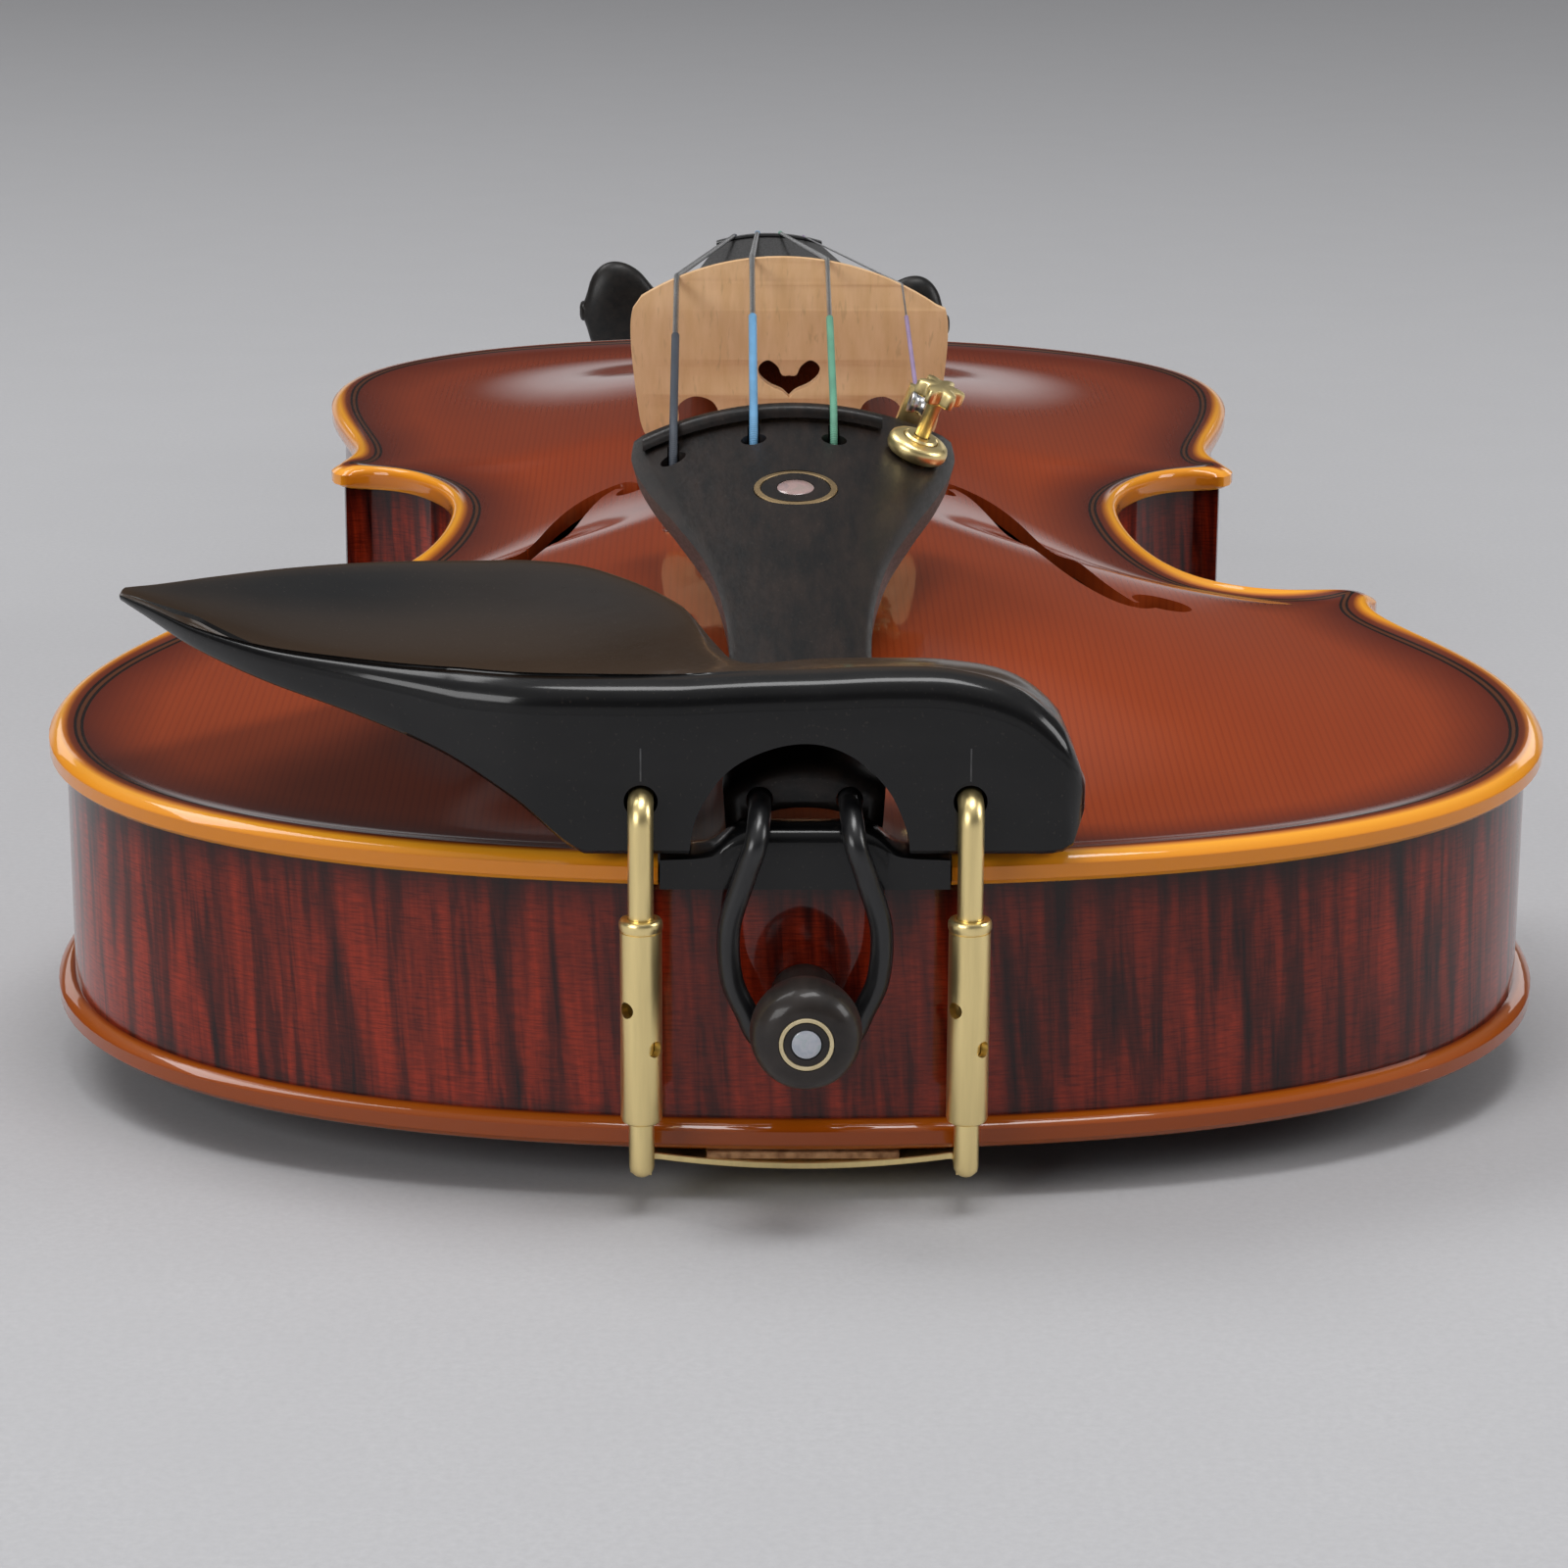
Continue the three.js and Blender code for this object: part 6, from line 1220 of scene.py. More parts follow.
tail_rings = [tail_ring(TAIL_START + d, s) for d, s in ((0, 1.3), (0.25, 0.7), (0.7, 0.25), (1.4, 0))]
tail_rings += [tail_ring(TAIL_START + TAIL_LENGTH * k / 56) for k in range(2, 56)]
tail_rings += [tail_ring(TAIL_END - d, s) for d, s in ((0.5, 0), (0.15, 0.15), (0, 0.45))]
tailpiece = new_piece("tailpiece_arched", skin(tail_rings, [TAIL_EBONY]), replaces="tailpiece", smooth=32)

GUT_Z = TAIL_LEVEL - TAIL_THICK / 2 - 1.2
GUT_X = 5.6
GUT_RADIUS = 1.45
POCKET_START, POCKET_END = TAIL_START + 9, TAIL_START + 22
tail_cuts = []
for i in range(3):
    x = TAIL_X[i]
    top = tail_surface(x, HOLE_Y)
    slot_half = silk_radius(i) + SEAM
    tail_cuts.append(bore((x, HOLE_Y, top - 11), (x, HOLE_Y, top + 4), 2.1 - SEAM, 32))
    tail_cuts.append(box_data((x - slot_half, HOLE_Y, top - 11.3), (x + slot_half, FRET_Y - 1.7, top + 4.1)))
for side in (-1, 1):
    x = side * GUT_X
    tail_cuts.append(bore((x, TAIL_START - 4, GUT_Z), (x, POCKET_END - 0.3, GUT_Z), GUT_RADIUS + SEAM, 24))
tail_cuts.append(box_data((-8.5, POCKET_START, GUT_Z - 8), (8.5, POCKET_END, GUT_Z + 2.35)))
carve(tailpiece, tail_cuts, 32)
ring_seat = lathe_data([(4.9, -1.2), (6.0, -1.2), (6.0, 4), (4.9, 4), (4.9, -1.2)], "z", sides=64)
pearl_seat = lathe_data([(0, -1.2), (2.7, -1.2), (2.7, 4), (0, 4)], "z")
carve(tailpiece, [ring_seat, pearl_seat], 32, EYE)
carve(tailpiece, [bore((0, 0, -11.2), (0, 0, 4), 2.75, 40)], 32, TUNER)

ring_rows = [(5.0, -0.9), (5.9, -0.9), (5.9, -0.2), (5.78, -0.08), (5.12, -0.02), (5.0, -0.14), (5.0, -0.9)]
new_piece("tailpiece_ring_inlay", lathe_data(ring_rows, "z", [DULL_GOLD], 64), matrix=EYE,
          replaces="tailpiece_eye_ring")
pearl_rows = [(0, -0.9), (2.6, -0.9), (2.6, -0.12), (2.42, 0.02), (1.3, 0.1), (0, 0.13)]
new_piece("tailpiece_pearl_inlay", lathe_data(pearl_rows, "z", [PINK_NACRE]), matrix=EYE,
          replaces="tailpiece_eye_pearl")

FRET_SECTION = [(-1.19, 0), (1.19, 0), (1.1, 0.6), (0.85, 1.25), (0.45, 1.62), (0, 1.72), (-0.45, 1.62), (-0.85, 1.25),
                (-1.1, 0.6)]
fret_rings = []
fret_half = tail_half(FRET_Y) * 0.93
for x in spread(-fret_half, min(fret_half, TAIL_X[3] - 4.5), 40):
    low = tail_surface(x, FRET_Y - 1.19) + SEAM + TAIL_SLOPE * 2.38
    fret_rings.append(ring_x(x, [(FRET_Y + a, low + b) for a, b in FRET_SECTION]))
new_piece("tailpiece_fret_bar", skin(fret_rings, [TAIL_EBONY]), replaces="tailpiece_fret")


# Fine tuner

TUNER_UNDER = -TAIL_THICK * 0.87 - SEAM
PIN_V = TUNER_SETBACK + 2.4 + 1.4
PIN_W = TUNER_UNDER - 4.0
LEVER_TOP = PIN_W + 0.7
LEVER_HALF = 1.7
HOOK_RISE = 2.9
BALL_V = PIN_V - 0.84 - 1.6 - SEAM

TUNER_HOLE = 1.22
POST_RADIUS = 2.5
PIN_BORE = 0.875


def tuner_piece(name, mesh_data, replaces="tuner_body", body=MAIN, smooth=35):
    return new_piece(name, mesh_data, replaces, body, TUNER, smooth)


inner = LEVER_HALF + 0.08
wide = inner + 1.1
post_rows = [(TUNER_HOLE, TUNER_UNDER - 1.2), (POST_RADIUS, TUNER_UNDER - 1.2), (POST_RADIUS, 2.95), (2.2, 3.24),
             (TUNER_HOLE, 3.24), (TUNER_HOLE, TUNER_UNDER - 1.2)]
tuner_piece("tuner_post_and_plate", lathe_data(post_rows, "z", [BRASS]))
ear_plate = tuner_piece("tuner_ear_plate", box_data((-wide, -2.5, TUNER_UNDER - 1.2), (wide, PIN_V + 2.2, TUNER_UNDER),
                                                    [BRASS]))
post_hole = bore((0, 0, TUNER_UNDER - 4), (0, 0, TUNER_UNDER + 4), POST_RADIUS, 32)
lever_room = box_data((-inner, PIN_V - 2.8, TUNER_UNDER - 8), (inner, PIN_V + 4, TUNER_UNDER + 4))
carve(ear_plate, [post_hole, lever_room], matrix=TUNER)
round_edges(ear_plate, 0.2, angle=40)
for side, name in SIDES:
    low, high = sorted((side * inner, side * wide))
    ear = tuner_piece(f"tuner_ear_{name}", box_data((low, PIN_V - 2.2, PIN_W - 2.2),
                                                    (high, PIN_V + 2.2, TUNER_UNDER - 0.6), [BRASS]))
    carve(ear, [bore((-9, PIN_V, PIN_W), (9, PIN_V, PIN_W), PIN_BORE, 24)], matrix=TUNER)
    round_edges(ear, 0.25, angle=40)

ring_rows = [(2.62, 0.25), (4.0, 0.25), (4.3, 0.5), (4.5, 1.0), (4.5, 1.75), (4.3, 2.3), (3.9, 2.62), (3.2, 2.86),
             (2.7, 2.88), (2.62, 2.8), (2.62, 0.25)]
tuner_piece("tuner_ring_nut", lathe_data(ring_rows, "z", [BRASS], 64), "tuner_ring")

GRIP_POINTS = 96
grip = []
for k in range(GRIP_POINTS):
    turn = 2 * math.pi * k / GRIP_POINTS
    reach = 3 * (1 + 0.22 * math.cos(6 * turn))
    grip.append((reach * math.cos(turn), reach * math.sin(turn)))
grip_rings = [[v3(x * s, y * s, z) for x, y in grip] for s, z in
              ((0.86, 9.25), (0.96, 9.4), (1.0, 9.7), (1.0, 11.1), (0.95, 11.45), (0.82, 11.6), (0.4, 11.68))]
screw_foot = LEVER_TOP + SEAM
screw_shaft = lathe_data([(0, screw_foot), (0.77, screw_foot), (1.1, screw_foot + 0.55), (1.1, 8.4), (1.76, 9.5),
                          (0, 9.5)], "z", [BRASS], 32)
tuner_piece("tuner_screw_lobed", merged(skin(grip_rings, [BRASS]), screw_shaft), "tuner_screw", "tuner_screw", 40)

front = PIN_V - 0.84
rise = HOOK_RISE + 1.6
slot_half = silk_radius(3) + SEAM
lever_arm = tuner_piece("tuner_lever_arm", box_data((-LEVER_HALF, -2.5, PIN_W - 0.7), (LEVER_HALF, PIN_V, LEVER_TOP),
                                                    [BRASS]), "tuner_lever", "tuner_lever")
lever_fork = tuner_piece("tuner_lever_fork", box_data((-LEVER_HALF, front, PIN_W), (LEVER_HALF, front + 1.4, rise),
                                                      [BRASS]), "tuner_lever", "tuner_lever")
pin_hole = bore((-4, PIN_V, PIN_W), (4, PIN_V, PIN_W), PIN_BORE, 24)
fork_slot = box_data((-slot_half, front - 4, HOOK_RISE - 1.6), (slot_half, front + 4, rise + 4))
carve(lever_arm, [pin_hole], matrix=TUNER)
carve(lever_fork, [pin_hole, fork_slot], matrix=TUNER)
round_edges(lever_arm, 0.2, angle=40)
round_edges(lever_fork, 0.25, angle=40)
ball_rows = [(0.72, -1.3), (1.45, -1.3), (1.6, -1.15), (1.6, -0.7), (1.35, -0.35), (1.28, 0), (1.35, 0.35), (1.6, 0.7),
             (1.6, 1.15), (1.45, 1.3), (0.72, 1.3), (0.72, -1.3)]
new_piece("string_e_loop_ball", lathe_data(ball_rows, "x", [STEEL], 40, (0, BALL_V, HOOK_RISE)), body="tuner_lever",
          matrix=TUNER, replaces="string_e_ball")


# Strings

SILK_LENGTH = 27.5


def winding_room(i):
    """Greatest distance of a string's winding from the middle of the pegbox."""
    return width_along(peg_y(i), *TROUGH_WIDTHS) / 2 - silk_radius(i) - SEAM * 3


def string_path(i):
    """Points and radii of a string from its tail end to its peg, and which point is the end of its silk."""
    radius = STRING_DIAMETERS[i] / 2
    silk = silk_radius(i)
    landing = PEG_SIDES[i] * winding_room(i)
    x = TAIL_X[i]
    if i < 3:
        over = tail_surface(x, FRET_Y) + 1.7 + silk + SEAM * 3
        outer = abs(x) + 1.6 + SEAM
        start = [v3(x, HOLE_Y, tail_surface(outer, HOLE_Y) - TAIL_THICK - 2.1 - SEAM),
                 v3(x, HOLE_Y + silk, tail_surface(x, HOLE_Y) - TAIL_THICK / 2),
                 v3(x, HOLE_Y + silk * 3, tail_surface(x, HOLE_Y) + silk),
                 v3(x, FRET_Y - 1.02, over - SEAM / 2), v3(x, FRET_Y, over)]
    else:
        start = [TUNER @ v3(0, BALL_V + 1.6 + SEAM * 2, HOOK_RISE)]
    over_bridge = v3(BRIDGE_X[i], BRIDGE_Y, bridge_surface(BRIDGE_X[i]) + radius / 2)
    over_nut = v3(NUT_X[i], NUT_Y + 1.5, nut_surface(NUT_X[i]) + radius / 2)
    behind = v3(NUT_X[i] * 0.96, HEAD_Y + SEAM, nut_surface(NUT_X[i]) - NUT_HEIGHT)
    on_peg = v3(landing, peg_y(i), peg_z(i) + peg_radius(i, landing) + silk + SEAM)
    wrap_end = start[-1].lerp(over_bridge, SILK_LENGTH / (over_bridge - start[-1]).length)
    near = wrap_end.lerp(over_bridge, 0.012)
    low_wrap = over_nut.lerp(over_bridge, 0.001)
    points = start + [wrap_end, near, over_bridge, low_wrap, over_nut, behind, on_peg]
    radii = [silk] * (len(start) + 1) + [radius] * 4 + [silk, silk]
    return points, radii, len(start)


def run_of(points):
    """Length along a string for each point of its rings."""
    return [reach for reach in reach_along(points) for _ in range(STRING_SIDES)]


TURN_STEPS = 48
ball_rows = [(0, -1.6), (1.8, -1.6), (2.1, -1.3), (2.1, 1.3), (1.8, 1.6), (0, 1.6)]
for i, name in enumerate(STRING_NAMES):
    points, radii, wrapped = string_path(i)
    bare = {row: 1 for row in range(wrapped + 1, wrapped + 4)}
    line = tube_data(points, radii, [SILKS[i], WIRES[i], STEEL], STRING_SIDES, bands=bare)
    run = run_of(points)
    if i < 3:
        ball = lathe_data(ball_rows, "x", [], 32, points[0], {row: 2 for row in range(len(ball_rows))})
        run += [0.0] * len(ball[0])
        line = merged(line, ball)
    string = new_piece(f"string_{name}_laid", line, replaces=f"string_{name}", smooth=50)
    store(string, "run", run)

    silk = silk_radius(i)
    pitch = 2 * silk + 0.5
    path = []
    for k in range(-43, 121):
        turn = k / TURN_STEPS * 2 * math.pi
        x = PEG_SIDES[i] * (winding_room(i) - pitch * (1 + k / TURN_STEPS))
        radius = peg_radius(i, x) + silk + SEAM
        path.append(v3(x, peg_y(i) + radius * math.sin(turn), peg_z(i) + radius * math.cos(turn)))
    coil = new_piece(f"winding_{name}_turns", tube_data(path, silk, [SILKS[i]], STRING_SIDES, True),
                     body=f"peg_{name}", replaces=f"winding_{name}")
    store(coil, "run", run_of([path[0]] * len(END_TURNS) + path + [path[-1]] * len(END_TURNS)))


def string_room(i, first, last, clearance, sides):
    """Shape that cuts a string's groove, over its points from first to last, counted from the end of its silk."""
    points, radii, wrapped = string_path(i)
    part = slice(wrapped + first, wrapped + last if last else None)
    return tube_data(points[part], [r + clearance for r in radii[part]], sides=sides)


nut_rings = []
for x in spread(-NUT_WIDTH / 2, NUT_WIDTH / 2, 40):
    high, low = nut_surface(x), neck_plane(NUT_Y) + SEAM
    rear, near = HEAD_Y - 0.08, NUT_Y + SEAM
    nut_rings.append(ring_x(x, [
        (near, low), (rear, low), (rear, high - 1.1), (rear - 0.5, high - 0.65), (mix(near, rear, 0.6), high - 0.12),
        (mix(near, rear, 0.35), high), (near + 0.3, high), (near, high - 0.25)]))
nut = new_piece("nut_grooved", skin(nut_rings, [CHIN_EBONY]), replaces="nut")
carve(nut, [string_room(i, 2, None, 0.08, 20) for i in range(4)])


# Bridge

SIDE = [(0.985, 0.78), (1, 0.72), (0.995, 0.6), (0.965, 0.42), (0.93, 0.28), (0.86, 0.215), (0.76, 0.235), (0.7, 0.3),
        (0.7, 0.37), (0.6, 0.41), (0.48, 0.385), (0.44, 0.31), (0.5, 0.24), (0.6, 0.195), (0.62, 0.15), (0.64, 0.115),
        (0.84, 0.085)]
ARCH = [(0.4, 0.105), (0.34, 0.17), (0.21, 0.22), (0, 0.24)]
HEART = [(0, 0.5), (0.045, 0.502), (0.075, 0.54), (0.135, 0.565), (0.19, 0.54), (0.188, 0.495), (0.125, 0.455),
         (0.045, 0.43), (0, 0.402)]


BRIDGE_HALF = 24.7
FOOT_HALF = 20.75
CROWN_HALF = 22.97


def on_bridge(table):
    """Smooth line through shares of the bridge's half width and height."""
    return spline([Vector((BRIDGE_HALF * a, BRIDGE_FOOT + BRIDGE_HIGH * b)) for a, b in table], 5)


def mirror(points):
    """The left half of a line, from its right half."""
    return [Vector((-p.x, p.y)) for p in points if p.x > 1e-4][::-1]


def cut_plate(outer, holes, thickness, materials):
    """Upright plate in the plane of X and Z with holes through it."""
    loops = [outer] + holes
    flat = [p for loop in loops for p in loop]
    count = len(flat)
    points = [v3(p.x, BRIDGE_Y + side * thickness(p.y), p.y) for side in (-0.5, 0.5) for p in flat]
    faces = []
    for a, b, c in tessellate_polygon([[v3(p.x, p.y, 0) for p in loop] for loop in loops]):
        faces += [(a, b, c), (c + count, b + count, a + count)]
    start = 0
    for loop in loops:
        for k in range(len(loop)):
            a, b = start + k, start + (k + 1) % len(loop)
            faces.append((a, b, b + count, a + count))
        start += len(loop)
    return points, faces, [0] * len(faces), materials


def foot_height(x):
    """Just above the highest part of the top plate below the foot."""
    return max(top_height(x, BRIDGE_Y + d) for d in (-2.2, 0, 2.2)) + 0.12


foot_line = [Vector((FOOT_HALF * share, foot_height(FOOT_HALF * share))) for share in (1, 0.86, 0.72, 0.58, 0.45)]
foot_line[0].y = foot_line[1].y + (foot_line[1].y - foot_line[2].y)
crown = [Vector((x, bridge_surface(x))) for x in [CROWN_HALF * s for s in spread(-1, 1, 28)]]
right = on_bridge(SIDE) + foot_line + on_bridge(ARCH)
heart = on_bridge(HEART)
bridge_shape = cut_plate(crown + right + mirror(right), [heart + mirror(heart)],
                         lambda z: mix(4.4, 1.4, (z - BRIDGE_FOOT) / BRIDGE_HIGH), [BRIDGE_WOOD])
bridge = new_piece("bridge_plate", bridge_shape, replaces="bridge")
carve(bridge, [string_room(i, 1, 4, 0.05, 16) for i in range(4)], 30)
round_edges(bridge, 0.22, 2, 45, 30)


# Pegs

COLLAR = [(0, 0.98), (0.012, 1.3), (0.03, 1.42), (0.07, 1.47), (0.11, 1.46), (0.145, 1.4), (0.17, 1.36), (0.185, 1.15),
          (0.2, 0.94), (0.22, 0.84), (0.25, 0.76), (0.28, 0.72)]
HEAD = [(0.28, 0.254, 0.834), (0.36, 0.44, 0.8), (0.5, 0.82, 0.9), (0.66, 1, 1), (0.8, 0.94, 1), (0.9, 0.66, 0.86),
        (0.95, 0.26, 0.62), (0.97, 0.2, 0.6), (1, 0.14, 0.4)]
PEG_TIP = [(0.962, 0.2, 0.6), (0.975, 0.2, 0.62), (0.99, 0.17, 0.5), (0.998, 0.1, 0.3)]
PEG_HEAD_LENGTH = 27.5
PEG_HEAD_HIGH = 11.5
PEG_HEAD_THICK = 3.5
PEG_SHANK = 4.05
PEG_POINTS = 48


def peg_ring(i, out, high, thick):
    turns = [2 * math.pi * (k + 0.5) / PEG_POINTS for k in range(PEG_POINTS)]
    return [v3(PEG_SIDES[i] * out, peg_y(i) + thick * math.cos(t), peg_z(i) + high * math.sin(t)) for t in turns]


for i, name in enumerate(STRING_NAMES):
    face = cheek(i)
    start = face + OVERHANG * 1.5
    rings = [peg_ring(i, out, r, r) for out, r in ((-face - 1.3, 2.4), (-face - 1.2, 3.0), (-face - 0.85, 3.4),
                                                   (-face, 3.55), (face, PEG_SHANK))]
    rings += [peg_ring(i, start + out * PEG_HEAD_LENGTH, PEG_SHANK * s, PEG_SHANK * s) for out, s in COLLAR]
    head = [(share, smooth_at(HEAD, share, 1), smooth_at(HEAD, share, 2)) for share in spread(0.28, 0.955, 32)[1:]]
    rings += [peg_ring(i, start + share * PEG_HEAD_LENGTH, PEG_HEAD_HIGH * high, PEG_HEAD_THICK * thick)
              for share, high, thick in head + PEG_TIP]
    new_piece(f"peg_{name}_turned", skin(rings, [BOARD_EBONY]), body=f"peg_{name}",
              replaces=f"peg_{name}", smooth=40)


# End button with its inlay

centre = (0, 0, BUTTON_Z)
button_rows = [(0, 18.7), (3.33, 18.7), (3.7, 17.0), (3.7, 2.35), (4.28, 2.35), (4.28, -0.6), (4.2, -1.2), (4.2, -5.2),
               (4.45, -5.28), (4.7, -5.5), (5.93, -7.6), (6.35, -8.45), (6.69, -9.55), (6.86, -10.4), (6.9, -11.1),
               (6.87, -12.1), (6.76, -13.0), (6.5, -13.9), (6.2, -14.5), (5.7, -15.1), (5.1, -15.55), (4.4, -15.84),
               (3.73, -15.97), (3.45, -16), (3.45, -14.8), (2.74, -14.8), (2.74, -16), (1.95, -16), (1.95, -14.8),
               (0, -14.8)]
new_piece("end_button_turned", lathe_data(button_rows, "y", [TURNED_EBONY], 72, centre),
          replaces="end_button")
ring_rows = [(2.84, -15.0), (3.35, -15.0), (3.35, -15.98), (3.28, -16.07), (2.91, -16.07), (2.84, -15.98),
             (2.84, -15.0)]
new_piece("button_ring_inlay", lathe_data(ring_rows, "y", [CREAM], 64, centre), replaces="button_ring")
pearl_rows = [(0, -15.0), (1.8, -15.0), (1.8, -15.95), (1.65, -16.05), (0.9, -16.09), (0, -16.1)]
new_piece("button_pearl_inlay", lathe_data(pearl_rows, "y", [NACRE], 48, centre),
          replaces="button_pearl")


# Tail gut

over = TOP_EDGE + SADDLE_HEIGHT + GUT_RADIUS + SEAM
face = -1.2 - (2 * GUT_RADIUS + 4 * SEAM) / 2
loop = 4.2 + GUT_RADIUS + SEAM * 2
gut_right = [v3(GUT_X, POCKET_START + 5.8, GUT_Z), v3(GUT_X, TAIL_START, GUT_Z),
             v3(GUT_X, TAIL_START / 2, (GUT_Z + over) / 2 + SEAM), v3(GUT_X * 1.02, -SEAM, over - SEAM),
             v3(GUT_X * 1.1, face, over - 2 * GUT_RADIUS), v3(GUT_X * 1.35, face, TOP_EDGE - GUT_RADIUS),
             v3(9.4, face, (TOP_EDGE + BUTTON_Z) / 2 + GUT_RADIUS), v3(9.12, face, BUTTON_Z + loop * 0.7),
             v3(loop * 1.2, face, BUTTON_Z), v3(loop * 0.86, face, BUTTON_Z - loop * 0.62)]
gut_path = gut_right + [v3(0, face, BUTTON_Z - loop * 1.03)] + [v3(-p.x, p.y, p.z) for p in gut_right[::-1]]
new_piece("tail_gut_cord", tube_data(spline(gut_path, 12), GUT_RADIUS, [GUT], 24, True),
          replaces="tail_gut")


# Chinrest

# Columns: share along the width, front, lower edge, rim, rear, rear rim, middle of the dish and underside. Front and
# rear are shares of the depth, and the others are shares of the height.
CHIN = [(0, 0.02, 0.2, 0.38, 0.12, 0.34, 0.38, 0.26), (0.008, 0.006, 0.06, 0.5, 0.18, 0.45, 0.5, 0.27),
        (0.022, 0, 0.01, 0.65, 0.25, 0.56, 0.65, 0.33), (0.065, 0, 0, 0.84, 0.31, 0.66, 0.81, 0.42),
        (0.13, 0, 0, 0.94, 0.34, 0.7, 0.87, 0.48), (0.195, 0, 0, 0.955, 0.36, 0.69, 0.87, 0.56),
        (0.27, 0, 0, 0.94, 0.4, 0.66, 0.84, 0.58), (0.335, 0, 0, 0.93, 0.45, 0.62, 0.78, 0.55),
        (0.37, 0, 0, 0.92, 0.56, 0.69, 0.73, 0.52), (0.408, 0, 0, 0.91, 0.74, 0.755, 0.67, 0.48),
        (0.5, 0, 0, 0.91, 0.93, 0.8, 0.56, 0.37), (0.57, 0.01, 0.28, 0.91, 0.99, 0.805, 0.52, 0.33),
        (0.645, 0.05, 0.5, 0.91, 0.99, 0.805, 0.52, 0.33), (0.735, 0.12, 0.64, 0.91, 0.95, 0.83, 0.55, 0.37),
        (0.83, 0.22, 0.73, 0.905, 0.86, 0.86, 0.64, 0.47), (0.91, 0.35, 0.8, 0.91, 0.76, 0.885, 0.77, 0.62),
        (0.97, 0.48, 0.87, 0.93, 0.66, 0.915, 0.88, 0.8), (1, 0.54, 0.91, 0.94, 0.61, 0.935, 0.93, 0.89)]
CORK_THICKNESS = 0.5
CHIN_FOOT = TOP_EDGE + CORK_THICKNESS + 2 * SEAM
CHIN_RIGHT = 34.4
CHIN_FRONT = -1
CHIN_WIDTH = 123.4
CHIN_DEPTH = 77
CHIN_HEIGHT = 24
HOOK_Z = 57.8


def chin_ring(along):
    front, low, rim, rear, rear_rim, middle, under = [smooth_at(CHIN, along, c) for c in range(1, 8)]
    front, rear = [CHIN_FRONT + CHIN_DEPTH * share for share in (front, rear)]
    low, rim, rear_rim, middle, under = [CHIN_FOOT + CHIN_HEIGHT * share
                                         for share in (max(low, 0), rim, rear_rim, middle, under)]
    span = rear - front
    soft = min(1.9, span * 0.12, (rim - low) * 0.3)
    broad = min(4.2, span * 0.2, (rim - low) * 0.38)
    heel = min(13, span * 0.45)
    top = [(front, rim - broad), (front + broad * 0.1, rim - broad * 0.55), (front + broad * 0.36, rim - broad * 0.2),
           (front + broad * 0.8, rim), (front + broad * 1.15, rim - broad * 0.02),
           (front + span * 0.3, mix(rim, middle, 0.72)), (front + span * 0.52, middle),
           (front + span * 0.76, mix(middle, rear_rim, 0.3)), (rear - soft * 1.4, rear_rim - soft * 0.1),
           (rear - soft * 0.4, rear_rim - soft * 0.4), (rear, rear_rim - soft * 1.5)]
    below = [top[-1], (rear - span * 0.2, mix(under, rear_rim, 0.25)), (front + span * 0.55, under),
             (front + heel + soft, max(under, low))]
    points = spline([Vector(p) for p in top], 5)[:-1] + spline([Vector(p) for p in below], 5)
    points += [Vector(p) for p in ((front + heel, low + 0.5), (front + heel - 0.5, low), (front + 0.5, low),
                                   (front, low + 0.5))]
    return ring_x(CHIN_RIGHT - CHIN_WIDTH * along, points)


def closed_off(ring, outward):
    """Rings that round off the end of the chinrest."""
    middle = sum(ring, Vector()) / len(ring)
    return [[middle + (p - middle) * s + v3(outward * d, 0, 0) for p in ring]
            for s, d in ((0.86, 0.14), (0.6, 0.26), (0.2, 0.33))]


chin_rings = [chin_ring(k / 96) for k in range(97)]
chin_rings = closed_off(chin_rings[0], 1)[::-1] + chin_rings + closed_off(chin_rings[-1], -1)
chinrest = new_piece("chinrest_carved", skin(chin_rings, [DISH_EBONY]), replaces="chinrest", smooth=40)
# Hollow of the bar over the clamp
ARCH_LINE = ((-14.4, 46), (-14.3, 51.4), (-13.2, 56.4), (-9.6, 61.6), (-4.2, 64.5), (1.3, 65.1), (6.2, 63.2),
             (10.2, 59.2), (12.4, 54.4), (12.9, 51.4), (13, 46))
arch_line = spline([Vector(p) for p in ARCH_LINE], 6)
arch_rings = [ring_y(y, arch_line) for y in (-8, 22)]
rod_holes = [bore((x, -8, HOOK_Z), (x, 9.75, HOOK_Z), 2.1, 40) for x in (-CLAMP_X, CLAMP_X)]
carve(chinrest, [skin(arch_rings)] + rod_holes, 40)
for side, name in SIDES[::-1]:
    line = box_data((side * CLAMP_X - 0.1, -1.06, 60.4), (side * CLAMP_X + 0.1, -0.9, 64.6), [SCRIBE])
    new_piece(f"chinrest_scribe_{name}", line, replaces="chinrest")

cork_low = TOP_EDGE + SEAM
for name, low, high in (("treble", CHIN_RIGHT - 17.65, 32.0), ("bass", CHIN_RIGHT - 60.47, CHIN_RIGHT - 51.21)):
    pad = box_data((low, 2.6, cork_low), (high, 10.6, cork_low + CORK_THICKNESS), [CORK])
    cork = new_piece(f"chinrest_cork_{name}_sheet", pad, replaces=f"chinrest_cork_{name}")
    round_edges(cork, 0.25)


# Chinrest clamp

